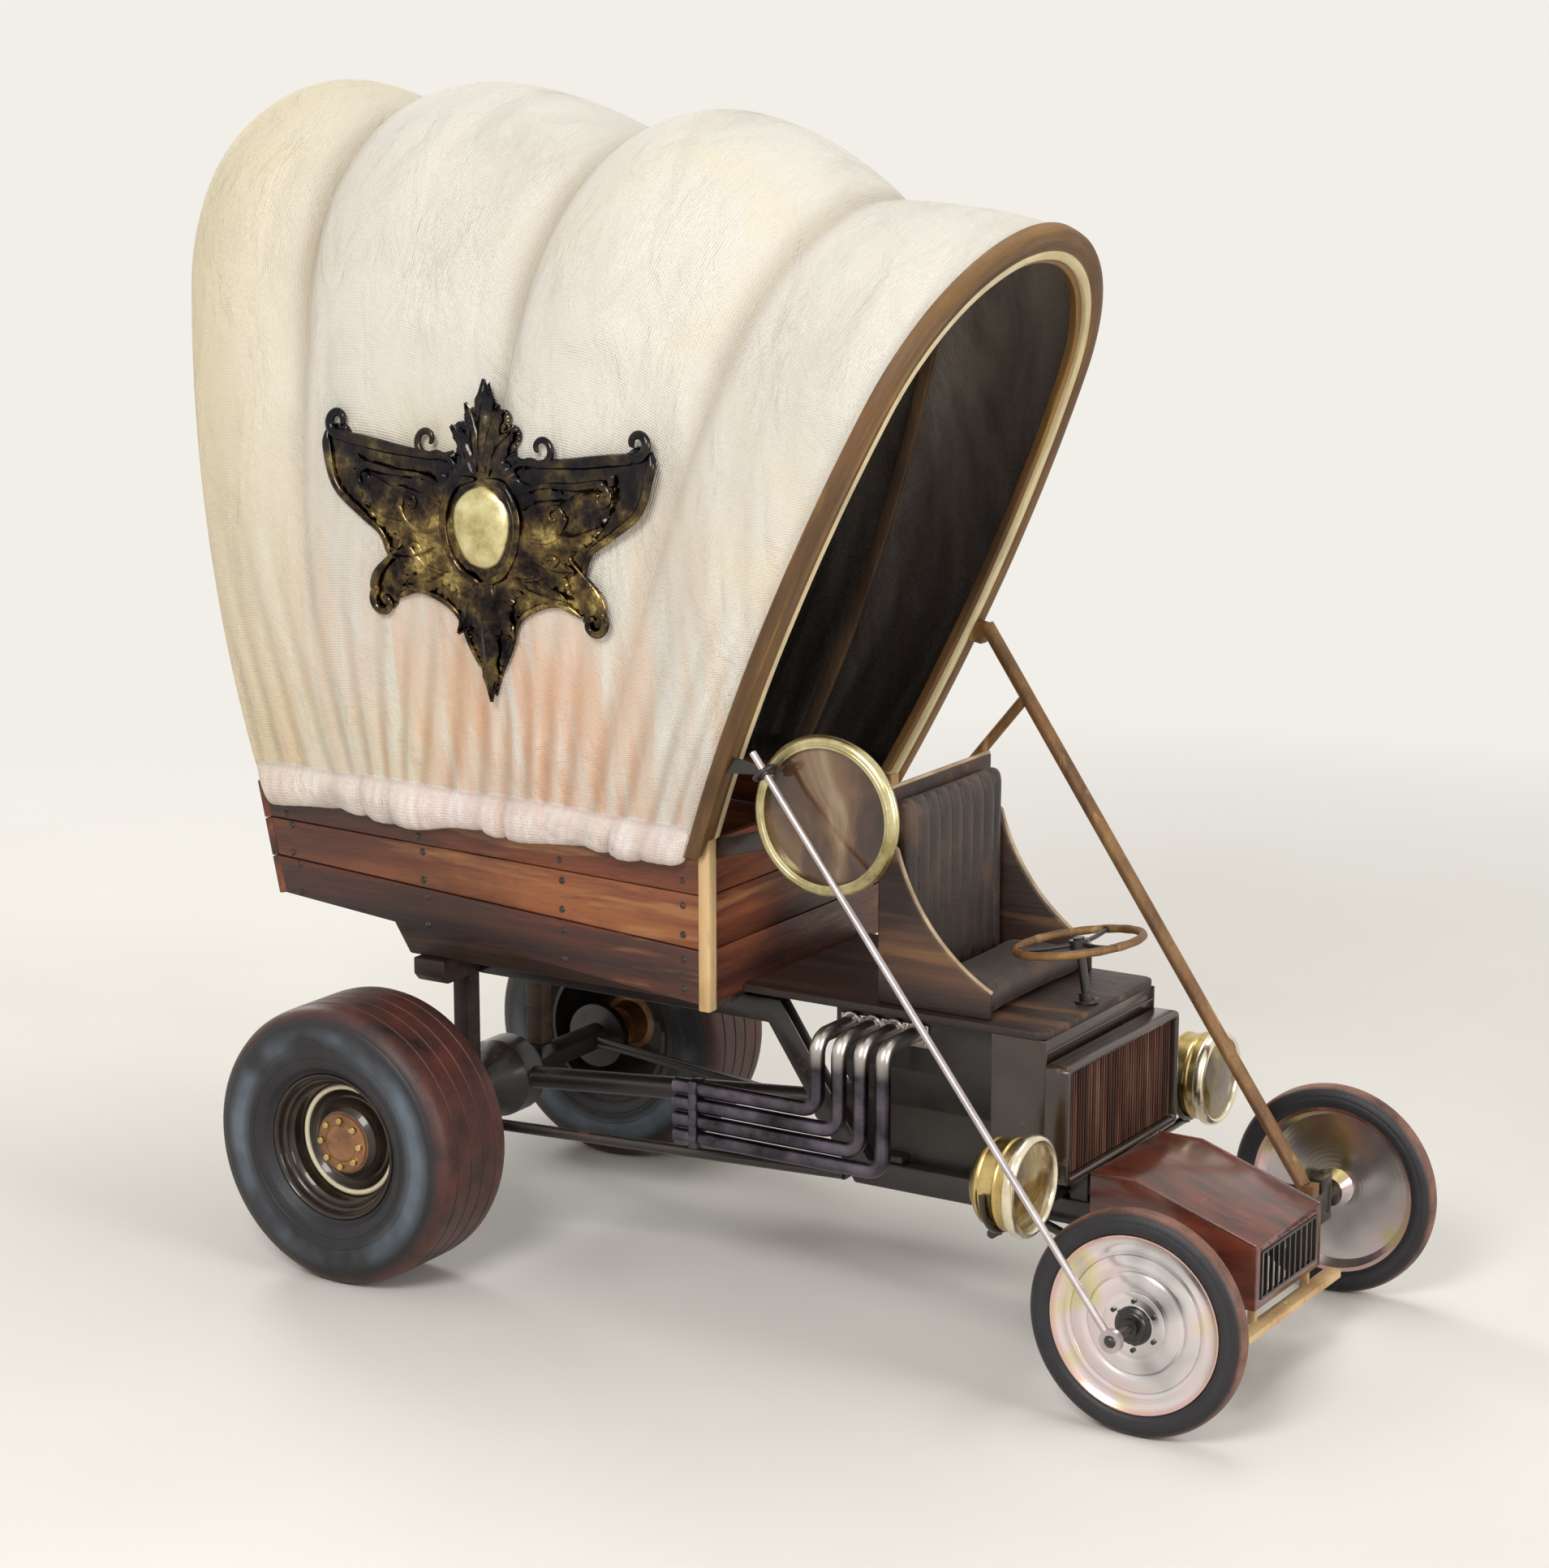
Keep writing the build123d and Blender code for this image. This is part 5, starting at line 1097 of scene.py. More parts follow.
def nut(name, place, across_flats, depth):
    """A hexagon nut with its corners eased, on the end of a bolt across the wagon."""
    bpy.ops.object.select_all(action="DESELECT")
    bpy.ops.mesh.primitive_cylinder_add(
        vertices=6, radius=across_flats / math.sqrt(3), depth=depth, location=place,
        rotation=(math.pi / 2, 0, 0),
    )
    piece = bpy.context.object
    piece.name = name
    bpy.ops.object.transform_apply(location=True, rotation=True, scale=True)
    modify(piece, "BEVEL", width=across_flats * 0.07, segments=1)
    return piece


def nut_circle(name, count, axle, along, radius, across_flats, depth, phase=0.0):
    """Nuts in a circle round an axle."""
    made = []
    for k in range(count):
        angle = 2 * math.pi * (k + phase) / count
        place = (axle[0] + radius * math.cos(angle), along, axle[1] + radius * math.sin(angle))
        made.append(nut(name, place, across_flats, depth))
    return made


for hand, sign in (("left", 1), ("right", -1)):
    body = "rear_wheel_" + hand
    profile = beside(sign, rear_middle, both_sides(rear_tyre_half))
    tyre = turned("rear_slick_" + hand, profile, rear_axle_at, 96, 28)
    placed(tyre, "rear_slick_" + hand, body, "tyre", rear_rubber, ("rear_tyre_" + hand,))
    profile = beside(sign, rear_middle, rear_rim_profile)
    rim = turned("rear_wheel_rim_" + hand, profile, rear_axle_at, 96, 30)
    placed(rim, "rear_wheel_rim_" + hand, body, "rim_dark", None, ("rear_rim_" + hand,))
    profile = bead(mm(sign * (rear_middle + 63)), 0.170, 0.0085)
    ring = turned("cream_ring_" + hand, profile, rear_axle_at)
    placed(ring, "cream_ring_" + hand, body, "rim_dark", cream)
    nuts = nut_circle("hub_nut", 8, rear_axle_at, mm(sign * (rear_middle + 114)), 0.074, 0.020, 0.014)
    placed(joined(nuts), "rear_hub_nuts_" + hand, body, "rim_dark", finishes["brass"])
print("rear wheels dressed")

# %% Front wheels
front_tyre_half = [
    (28, 262.4), (33, 266), (37.5, 272), (39.6, 280), (40, 288), (39.2, 296), (38.2, 298),
    (38.4, 300), (36.5, 308), (32, 317), (25, 324), (18, 328), (12, 329.6), (10, 328.2), (7, 328.2),
    (5, 330),
]
front_middle = 685
disc_profile = [
    (-50, 18.2), (-50, 46), (6, 60), (10, 232), (-26, 250), (-26, 262), (27, 262), (31, 260), (31, 256),
    (27, 250), (25, 246), (21, 240), (18, 230), (19, 222), (21, 214), (19, 206), (18, 203),
    (15, 201), (18, 199), (20, 190), (22, 178), (23, 164), (21, 158), (18, 154), (17, 150), (20, 146),
    (24, 142), (26, 128), (27, 112), (26, 100), (24, 96), (26, 92), (27, 80), (27, 60), (29, 56),
]
hub_profile = [(29, 57), (36, 54), (40, 47), (46, 45), (49, 41), (50, 38), (50, 18.2)]
hub_enamel = enamel("hub_enamel", "#0d0c0d", "#1c1a1b", "#3a2a22", 0.3)
for hand, sign in (("left", 1), ("right", -1)):
    body = "front_wheel_" + hand
    profile = beside(sign, front_middle, both_sides(front_tyre_half))
    tyre = turned("front_thin_tyre_" + hand, profile, front_axle_at, 96, 28)
    placed(tyre, "front_thin_tyre_" + hand, body, "tyre", front_rubber, ("front_tyre_" + hand,))
    profile = beside(sign, front_middle, disc_profile)
    disc = turned("front_spun_disc_" + hand, profile, front_axle_at, 96, 24)
    placed(disc, "front_spun_disc_" + hand, body, "polished_disc", None, ("front_disc_" + hand,))
    hub = turned("front_hub_" + hand, beside(sign, front_middle, hub_profile), front_axle_at, 64)
    nuts_at = mm(sign * (front_middle + 30))
    nuts = nut_circle("disc_nut", 6, front_axle_at, nuts_at, 0.072, 0.013, 0.009, 0.5)
    placed(joined([hub] + nuts), "front_hub_" + hand, body, "rim_dark", hub_enamel)
print("front wheels dressed")

# %% [markdown]
# ## The scroll ornament
# A cast bronze escutcheon of a traditional kind hangs on the canvas's right side: scrolled
# wings, a leaf crest, a bright boss and a pointed tail. It is drawn flat, in its own
# across and up, as a domed body, tapering scrolls and ribbed leaves. Every point is then
# laid on the side of the bonnet by the same curve that the CAD plate follows.

# %% Laying the ornament on the bonnet's side
def on_side(across, up, proud):
    """A point of the ornament: across and up from its middle, and how proud it stands."""
    z = ornament_at[1] + up
    return Vector((ornament_at[0] + across, plate_level(z) - proud, z))


def rounded_line(points, steps):
    """A smooth line through flat points."""
    last = len(points) - 1
    made = []
    for i in range(last):
        a, b, c, d = (points[within(i + k, 0, last)] for k in (-1, 0, 1, 2))
        for step in range(steps):
            t = step / steps
            made.append(tuple(
                0.5 * ((2 * b[k]) + (c[k] - a[k]) * t + (2 * a[k] - 5 * b[k] + 4 * c[k] - d[k]) * t ** 2
                       + (3 * b[k] - a[k] - 3 * c[k] + d[k]) * t ** 3)
                for k in range(2)
            ))
    made.append(points[-1])
    return made


def mirrored(points):
    return [(-u, v) for u, v in points]


def scroll(name, line, thick, proud, tip):
    """A tapering round moulding along a flat line, lying on the bonnet's side."""
    line = rounded_line(line, 7)
    sides, flatness = 10, 0.75
    points = []
    for number, (u, v) in enumerate(line):
        before = line[max(number - 1, 0)]
        after = line[min(number + 1, len(line) - 1)]
        way = Vector((after[0] - before[0], after[1] - before[1])).normalized()
        reach = number / (len(line) - 1)
        size = thick * (1 - (1 - tip) * reach) * min(1, 0.25 + 6 * reach) * min(1, 0.3 + 9 * (1 - reach))
        for k in range(sides):
            angle = 2 * math.pi * k / sides
            out = size * math.cos(angle)
            rise = proud + size * flatness * math.sin(angle)
            points.append(on_side(u - way.y * out, v + way.x * out, rise))
    faces = ring_faces(len(line) - 1, sides)
    faces.append(tuple(reversed(range(sides))))
    faces.append(tuple((len(line) - 1) * sides + k for k in range(sides)))
    return mesh_piece(name, points, faces)


def curl(centre, start, turns, wide, narrow):
    """The points of a volute that winds in round a centre."""
    made = []
    for step in range(15):
        reach = step / 14
        angle = start + 2 * math.pi * turns * reach
        size = wide + (narrow - wide) * reach
        made.append((centre[0] + size * math.cos(angle), centre[1] + size * math.sin(angle)))
    return made


def leaf(name, root, tip, width, bend):
    """A pointed leaf with a raised rib and a turned-up tip."""
    axis = Vector((tip[0] - root[0], tip[1] - root[1]))
    side = Vector((-axis.y, axis.x)).normalized()
    proud, lift = 0.026, 0.014
    long_steps, wide_steps = 14, 8
    points, faces = [], []
    for i in range(long_steps + 1):
        t = i / long_steps
        swing = bend * math.sin(math.pi * t)
        half = width * (math.sin(math.pi * min(t * 0.90 + 0.10, 1)) ** 0.8) * (1 + 0.16 * math.sin(t * 26))
        for j in range(wide_steps + 1):
            s = -1 + 2 * j / wide_steps
            place = Vector(root) + axis * t + side * (swing + s * half)
            rise = proud + lift * (1 - abs(s) ** 1.4) * math.sin(math.pi * min(t + 0.15, 1)) + 0.012 * t ** 3
            rise += 0.004 * math.exp(-(s / 0.14) ** 2) - 0.004 * abs(math.sin(3 * math.pi * s))
            points.append(on_side(place.x, place.y, rise))
    for i in range(long_steps):
        for j in range(wide_steps):
            a = i * (wide_steps + 1) + j
            faces.append((a, a + wide_steps + 1, a + wide_steps + 2, a + 1))
    piece = mesh_piece(name, points, faces)
    modify(piece, "SOLIDIFY", thickness=0.006, offset=-1)
    return piece


def domed(name, outline, height, base, rough):
    """A pillow that rises from a flat outline to its middle."""
    middle = (sum(p[0] for p in outline) / len(outline), sum(p[1] for p in outline) / len(outline))
    points = []
    size, levels = len(outline), 9
    for level in range(levels):
        reach = level / levels
        rise = base + height * math.sqrt(max(0.0, 1 - (1 - reach) ** 2.2))
        for u, v in outline:
            place = (u + (middle[0] - u) * reach, v + (middle[1] - v) * reach)
            lumpy = rough * noise.noise(Vector((place[0] * 14, place[1] * 14, 2))) * (reach > 0)
            points.append(on_side(place[0], place[1], rise + lumpy))
    points.append(on_side(*middle, base + height))
    faces = ring_faces(levels - 1, size)
    for k in range(size):
        faces.append(((levels - 1) * size + k, (levels - 1) * size + (k + 1) % size, len(points) - 1))
    start = len(points)
    for u, v in outline:
        points.append(on_side(u, v, 0.0005))
    for k in range(size):
        faces.append((k, start + k, start + (k + 1) % size, (k + 1) % size))
    faces.append(tuple(range(start, start + size)))
    return mesh_piece(name, points, faces)


# %% Ornament body, scrolls and leaves
# one half of each outline as arcs from the top down: a point on the way and an end, in mm
plate_arcs = (
    ((18, 426), (44, 392)), ((78, 386), (72, 348)), ((118, 338), (108, 292)),
    ((118, 250), (170, 252)), ((320, 262), (500, 290)), ((590, 296), (584, 236)),
    ((548, 130), (452, 52)), ((372, -6), (352, -72)), ((398, -118), (418, -176)),
    ((392, -236), (338, -196)), ((262, -160), (176, -184)), ((104, -236), (74, -318)),
    ((40, -380), (0, -470)),
)
shield_arcs = (
    ((70, 262), (130, 196)), ((290, 170), (470, 236)), ((450, 110), (330, -4)),
    ((300, -60), (318, -132)), ((200, -120), (110, -160)), ((60, -250), (0, -330)),
)


def arc_through(first, way, last, steps):
    """Points along the circle's arc through three flat points."""
    (ax, ay), (bx, by), (cx, cy) = first, way, last
    twice = 2 * (ax * (by - cy) + bx * (cy - ay) + cx * (ay - by))
    a2, b2, c2 = ax * ax + ay * ay, bx * bx + by * by, cx * cx + cy * cy
    x = (a2 * (by - cy) + b2 * (cy - ay) + c2 * (ay - by)) / twice
    y = (a2 * (cx - bx) + b2 * (ax - cx) + c2 * (bx - ax)) / twice
    start, middle, end = (math.atan2(v - y, u - x) for u, v in (first, way, last))
    turn = (end - start) % (2 * math.pi)
    if (middle - start) % (2 * math.pi) > turn:
        turn -= 2 * math.pi
    size = math.hypot(ax - x, ay - y)
    angles = [start + turn * k / steps for k in range(steps)]
    return [(x + size * math.cos(angle), y + size * math.sin(angle)) for angle in angles]


def outline_of(top, arcs):
    """A closed outline in metres from a table of arcs, mirrored about the middle."""
    half, start = [], (0, top)
    for way, end in arcs:
        half += arc_through(start, way, end, 7)
        start = end
    half = in_mm(half + [start])
    return half + mirrored(half[-2:0:-1])


def cast_plate(name, outline, low, high, lumps):
    """A plate cut to an outline, filled, with a rounded edge and a lumpy cast face."""
    points = [(u, 0, v) for u, v in outline]
    plate = mesh_piece(name, points, [tuple(range(len(points)))])
    only(plate)
    bpy.ops.object.mode_set(mode="EDIT")
    bpy.ops.mesh.select_all(action="SELECT")
    bpy.ops.mesh.quads_convert_to_tris()
    for cuts in (2, 1, 1):
        bpy.ops.mesh.subdivide(number_cuts=cuts)
        bpy.ops.mesh.beautify_fill()
    bpy.ops.mesh.select_all(action="SELECT")
    bpy.ops.mesh.extrude_region_move(TRANSFORM_OT_translate={"value": (0, -0.5, 0)})
    bpy.ops.object.mode_set(mode="OBJECT")
    edge = np.array(outline)
    edge_rise, edge_width = 0.003, 0.045
    coordinates = np.empty(len(plate.data.vertices) * 3)
    plate.data.vertices.foreach_get("co", coordinates)
    coordinates = coordinates.reshape(-1, 3)
    for number, (u, top, v) in enumerate(coordinates):
        rise = low
        if top < -0.1:
            away = np.min(np.hypot(edge[:, 0] - u, edge[:, 1] - v))
            reach = min(away / edge_width, 1.0)
            dome = math.sqrt(max(0.0, 1 - (1 - reach) ** 2))
            lumpy = noise.noise(Vector((abs(u) * 11, v * 11, 4)))
            lumpy += 0.5 * noise.noise(Vector((abs(u) * 27, v * 27, 1)))
            rise = low + edge_rise + (high - low - edge_rise) * dome + lumps * lumpy * reach
        coordinates[number] = on_side(u, v, rise)
    plate.data.vertices.foreach_set("co", coordinates.ravel())
    return plate


cast_parts = [
    cast_plate("cast_plate", outline_of(470, plate_arcs), 0.0008, 0.017, 0.006),
    cast_plate("cast_shield", outline_of(300, shield_arcs), 0.010, 0.034, 0.011),
]
# each scroll: its line, how thick it is, how thin it ends, and how proud it lies
scroll_lines = (
    ([(0.108, 0.262), (0.17, 0.246), (0.32, 0.256), (0.44, 0.272), (0.505, 0.280)]
     + curl((0.540, 0.328), -1.95, 0.95, 0.044, 0.012), 0.021, 0.45, 0.022),
    ([(0.585, 0.30), (0.584, 0.236), (0.548, 0.13), (0.452, 0.052), (0.38, 0.0), (0.352, -0.072)],
     0.017, 0.6, 0.018),
    ([(0.085, 0.19), (0.115, 0.235), (0.155, 0.248)]
     + curl((0.205, 0.291), -2.2, 1.0, 0.050, 0.010), 0.015, 0.5, 0.022),
    ([(0.30, -0.02), (0.352, -0.072), (0.398, -0.118), (0.416, -0.160)]
     + curl((0.384, -0.210), 0.9, -0.95, 0.044, 0.010), 0.017, 0.5, 0.020),
    ([(0.338, -0.196), (0.262, -0.163), (0.176, -0.184), (0.11, -0.23), (0.074, -0.318), (0.035, -0.39)],
     0.013, 0.5, 0.014),
    ([(0.02, 0.19), (0.09, 0.170), (0.132, 0.09), (0.124, -0.01), (0.075, -0.088), (0.01, -0.118)],
     0.014, 0.8, 0.040),
    ([(0.12, 0.05), (0.20, 0.02), (0.27, 0.04), (0.30, 0.09)]
     + curl((0.262, 0.10), -0.1, 0.9, 0.034, 0.008), 0.012, 0.45, 0.034),
    ([(0.12, 0.15), (0.22, 0.185), (0.33, 0.19), (0.42, 0.205)]
     + curl((0.428, 0.165), 1.4, -0.9, 0.034, 0.009), 0.013, 0.5, 0.034),
    ([(0.08, -0.10), (0.15, -0.10), (0.22, -0.08), (0.27, -0.03)]
     + curl((0.245, -0.045), 0.6, 0.8, 0.026, 0.008), 0.011, 0.5, 0.032),
)
for line, thick, tip, proud in scroll_lines:
    for points_line in (line, mirrored(line)):
        cast_parts.append(scroll("cast_scroll", points_line, thick, proud, tip))
# each leaf: its root, its tip, its half width and its bend
leaf_table = (
    ((0.00, 0.20), (0.00, 0.482), 0.042, 0.0), ((0.015, 0.21), (0.060, 0.410), 0.030, 0.010),
    ((0.03, 0.20), (0.110, 0.340), 0.028, 0.012), ((0.15, 0.11), (0.330, 0.150), 0.032, 0.016),
    ((0.24, 0.10), (0.470, 0.190), 0.034, 0.020), ((0.24, 0.05), (0.430, 0.085), 0.028, -0.014),
    ((0.16, -0.02), (0.330, -0.060), 0.030, -0.014), ((0.12, -0.09), (0.300, -0.150), 0.030, -0.010),
    ((0.03, -0.12), (0.100, -0.280), 0.028, -0.010), ((0.00, -0.13), (0.000, -0.482), 0.036, 0.0),
)
for root, tip, width, bend in leaf_table:
    cast_parts.append(leaf("cast_leaf", root, tip, width, bend))
    if tip[0] > 0.01:
        cast_parts.append(leaf("cast_leaf", (-root[0], root[1]), (-tip[0], tip[1]), width, -bend))
ornament = joined(cast_parts)
edited(ornament, ("normals_make_consistent", {"inside": False}))
smooth(ornament, 55)
placed(ornament, "scroll_ornament", "chassis", "ornament_bronze", None, ("ornament_plate",))
boss_half, boss_tall, boss_up, boss_steps = 0.106, 0.128, 0.047, 40
boss_line = []
for k in range(boss_steps):
    angle = 2 * math.pi * k / boss_steps
    across = boss_half * math.cos(angle) * (1 + 0.05 * math.sin(3 * angle))
    boss_line.append((across, boss_up + boss_tall * math.sin(angle)))
boss = domed("bright_boss", boss_line, 0.022, 0.032, 0.006)
tidy_mesh(boss)
smooth(boss, 60)
boss_brass = metal("boss_brass", "#b3a066", "#f2e8b6", 0.34, 0.3, scale=14.0)
placed(boss, "bright_boss", "chassis", "ornament_bronze", boss_brass)
print("ornament", len(ornament.data.polygons), "faces")

# %% [markdown]
# ## Lamps
# Two brass drum headlamps look forward. Each has a ringed drum, a pale beaded rim, a bright
# reflector and a domed amber glass. The great side lamp hangs on the right of the opening:
# a broad brass ring round a thick brown glass, with a stepped back.

# %% Headlamps
drum_profile = [
    (1028, 0), (1024, 60), (1020, 82), (1024, 90), (1034, 99), (1042, 112), (1050, 121), (1056, 124),
    (1060, 129), (1066, 129), (1070, 125), (1090, 128), (1110, 131), (1118, 133), (1122, 137),
    (1128, 137), (1132, 134), (1150, 137), (1156, 138), (1156, 126),
]
lamp_rim_profile = [
    (1156, 126), (1153, 138), (1155, 144), (1159, 148), (1166, 150), (1176, 149.5), (1184, 146.5),
    (1189, 141), (1190, 134), (1187, 128.5), (1181, 126), (1156, 126),
]
mirror_profile = [(1156, 126), (1140, 122), (1110, 112), (1080, 92), (1060, 66), (1052, 40), (1050, 0)]
pale_brass = metal("pale_brass", "#dccfae", "#fbf3de", 0.26, 0.2)
silvered = metal("silvered_mirror", "#c9c4ba", "#efeae0", 0.12, 0.1)
burner_profile = [(1052, 14), (1082, 14), (1088, 18), (1104, 20), (1120, 16), (1130, 0)]
lens_profile = [(1188 - 12 * (r / 125.7) ** 2, r) for r in (0, 20, 40, 60, 80, 100, 115, 125.7)]
lens_profile += [(x - 5, r) for x, r in reversed(lens_profile)]
lamp_half, lamp_z, fork_radius = 620, 640, 139
for hand, sign in (("left", 1), ("right", -1)):
    middle = mm(0, sign * lamp_half, lamp_z)
    drum = spun_about("drum", in_mm(drum_profile), middle, "X", 72, 40)
    placed(drum, "headlamp_drum_" + hand, "chassis", "brass", None, ("headlamps",) if sign == 1 else ())
    rim = spun_about("rim", in_mm(lamp_rim_profile), middle, "X", 96)
    placed(rim, "headlamp_rim_" + hand, "chassis", "brass", pale_brass)
    mirror = spun_about("mirror", in_mm(mirror_profile), middle, "X")
    placed(mirror, "headlamp_mirror_" + hand, "chassis", "brass", silvered)
    bulb = spun_about("bulb", in_mm(burner_profile), middle, "X", 32)
    placed(bulb, "headlamp_burner_" + hand, "chassis", "brass", pale_brass)
    glass = spun_about("glass", in_mm(lens_profile), middle, "X", 72, 40)
    replaced = ("headlamp_glasses",) if sign == 1 else ()
    placed(glass, "headlamp_lens_" + hand, "chassis", "lamp_glass", None, replaced)
    yoke = []
    for k in range(25):
        angle = math.pi + math.pi * k / 24
        across = sign * lamp_half + fork_radius * math.cos(angle)
        yoke.append(mm(1092, across, lamp_z + fork_radius * math.sin(angle)))
    fork = tube("fork", yoke, 0.009)
    stem_line = [mm(x, sign * lamp_half, z) for x, z in ((1070, 484), (1074, 500), (1092, 504))]
    stem = tube("stem", stem_line, 0.014)
    placed(joined([fork, stem]), "headlamp_fork_" + hand, "chassis", "frame_steel")
print("headlamps dressed")

# %% Side lamp
side_at = mm(490, 0, 1630)
side_profile = [
    (-512, 0), (-512, 60), (-516, 64), (-516, 120), (-520, 126), (-520, 165), (-524, 171), (-540, 184),
    (-548, 190), (-552, 196), (-558, 197), (-563, 199), (-580, 210), (-584, 213), (-589, 222),
    (-592, 231), (-596, 235), (-604, 237), (-612, 236.5), (-620, 234), (-626, 227),
    (-628, 218), (-627.5, 208), (-625, 201.5), (-618, 200.8),
    (-590, 200.5), (-560, 178), (-534, 150), (-532, 60), (-532, 0),
]
ring = spun_about("side_lamp_ring", in_mm(side_profile), side_at, "Y", 96, 40)
beads = [spun_about("bead", in_mm(bead(*wire)), side_at, "Y", 96)
         for wire in ((-607, 231, 8), (-625, 214, 5), (-556, 194, 5))]
ring_brass = metal("aged_ring_brass", "#8d7f50", "#e4d9ac", 0.3, 0.25)
placed(joined([ring] + beads), "side_lamp_ring", "chassis", "brass", ring_brass, ("side_lamp",))
lens_face = [(-623 + 14 * (r / 200.5) ** 2, r) for r in (0, 30, 60, 90, 120, 150, 175, 190, 200.5)]
lens_back = [(y + 6, r) for y, r in reversed(lens_face)]
lens = spun_about("side_lens", in_mm(lens_face + lens_back), side_at, "Y", 96, 40)
brown_glass = Finish("brown_glass", rough=0.12, Transmission_Weight=0.35, IOR=1.45, Coat_Weight=0.6)
brown_cloud = brown_glass.noise(4.2, (1, 1, 0.6), detail=4, warp=0.8)
brown_glass.set("Base Color", brown_glass.ramp(
    brown_cloud, (0.28, "#2c1d15"), (0.45, "#5d4130"), (0.6, "#8a6a4c"), (0.75, "#b7a083")))
brown_glass.bump(brown_glass.noise(7, detail=2), 0.006)
placed(lens, "side_lamp_lens", "chassis", "lamp_glass", brown_glass.material, ("side_lamp_glass",))
inner = [spun_about("inner", in_mm(bead(-584, radius, 6)), side_at, "Y") for radius in (150, 92)]
placed(joined(inner), "side_lamp_inner_rings", "chassis", "brass")
print("side lamp dressed")

# %% [markdown]
# ## The wagon box
# The box is made of real planks: three to a side, to the front board and to the tailgate,
# each with eased edges, its own tone of wood and a gap to the next. Carriage bolts hold
# them. The rear end is raked, as the CAD's, so planks are prisms cut to that line.

# %% Planks and bolts
box_rear, box_front, box_rake = mm(-1630, 20, 80)
box_half, plank_thick = mm(560, 30)
box_top, box_low_front, box_low_rear = mm(1490, 985, 1130)
plank_ease, plank_gap = 0.0045, 0.0015


def low_edge(x):
    """Height of the box's sloping lower edge."""
    return box_low_front + (box_front - x) * (box_low_rear - box_low_front) / (box_front - box_rear)


def front_height(share):
    """A height on the box's front end, from its lower edge (0) to its top (1)."""
    return box_low_front + (box_top - box_low_front) * share


rake_foot = (box_rear + box_rake, low_edge(box_rear + box_rake))
rake_rise, rake_run = box_top - rake_foot[1], -box_rake
rake_length = math.hypot(rake_rise, rake_run)


def raked(share, behind=0.0):
    """A point on the box's raked rear end, from its foot (0) to its top (1), or behind it."""
    x = rake_foot[0] + share * rake_run - behind * rake_rise / rake_length
    z = rake_foot[1] + share * rake_rise + behind * rake_run / rake_length
    return x, z


def toned(piece, tone):
    """Give a plank its own tone of wood."""
    tones = piece.data.attributes.new("tone", "FLOAT", "POINT")
    tones.data.foreach_set("value", [tone] * len(piece.data.vertices))


def prism(name, corners, low_y, high_y, ease, tone=0.0):
    """A plank from its corners seen from the side, between two places across the wagon."""
    count = len(corners)
    points = [(x, y, z) for y in (low_y, high_y) for x, z in corners]
    faces = [tuple(range(count)), tuple(reversed(range(count, 2 * count)))]
    faces += [(k, k + count, (k + 1) % count + count, (k + 1) % count) for k in range(count)]
    piece = mesh_piece(name, points, faces)
    tidy_mesh(piece)
    modify(piece, "BEVEL", width=ease, segments=2)
    toned(piece, tone)
    smooth(piece)
    return piece


def bolt_head(place, axis, size=0.011):
    """A low round bolt head that faces along an axis, or against it where a minus leads."""
    facing = -1 if axis.startswith("-") else 1
    profile = [(0.0055, 0), (0.005, size * 0.45), (0.0035, size * 0.8), (0.0, size)]
    return spun_about("bolt_head", [(facing * a, r) for a, r in profile], place, axis[-1], 16)


for hand, sign in (("left", 1), ("right", -1)):
    planks, heads = [], []
    for row in range(3):
        low_share, high_share = row / 3, (row + 1) / 3
        front_low = front_height(low_share) + plank_gap
        front_high = front_height(high_share) - plank_gap
        rear_low = raked(low_share + 0.005)
        rear_high = raked(high_share - 0.005)
        corners = [rear_low, (box_front, front_low), (box_front, front_high), rear_high]
        set_back = 0.0015 * (row % 2)
        inner, outer = sorted((sign * (box_half - plank_thick), sign * (box_half - set_back)))
        planks.append(prism("plank", corners, inner, outer, plank_ease, (-0.07, 0.06, -0.02)[row]))
        for share in (0.035, 0.36, 0.69, 0.965):
            x = rear_low[0] + (box_front - rear_low[0]) * share
            middle = low_edge(x) + (box_top - low_edge(x)) * (low_share + high_share) / 2
            for offset in (-0.045, 0.045):
                place = (x, sign * (box_half - 0.001), middle + offset)
                heads.append(bolt_head(place, "Y" if sign > 0 else "-Y"))
    replaced = ("side_boards",) if sign == 1 else ()
    placed(joined(planks), "side_planks_" + hand, "chassis", "body_timber", None, replaced)
    placed(joined(heads), "side_bolts_" + hand, "chassis", "frame_steel")
print("side planks made")

# %% Front board, tailgate and its straps
front_half, gate_half = 0.520, 0.557
front_near, front_far = box_front, box_front + plank_thick
panels = []
for row in range(3):
    low, high = front_height(row / 3) + plank_gap, front_height((row + 1) / 3) - plank_gap
    plank = board("front_plank", (front_near, -front_half, low), (front_far, front_half, high), plank_ease)
    toned(plank, (0.05, -0.06, 0.02)[row])
    panels.append(plank)
placed(joined(panels), "front_planks", "chassis", "body_timber", cross_plank, ("front_board",))

gate_planks = []
gate_near, gate_far = mm(0.5, 30.5)
for row in range(3):
    low_share, high_share = 0.006 + 0.988 * row / 3, 0.006 + 0.988 * (row + 1) / 3 - 0.005
    corners = [raked(low_share, gate_near), raked(low_share, gate_far),
               raked(high_share, gate_far), raked(high_share, gate_near)]
    tone = (0.04, -0.08, 0.05)[row]
    gate_planks.append(prism("gate_plank", corners, -gate_half, gate_half, plank_ease, tone))
placed(joined(gate_planks), "tailgate_planks", "tailgate", "body_timber", cross_plank, ("tailgate",))

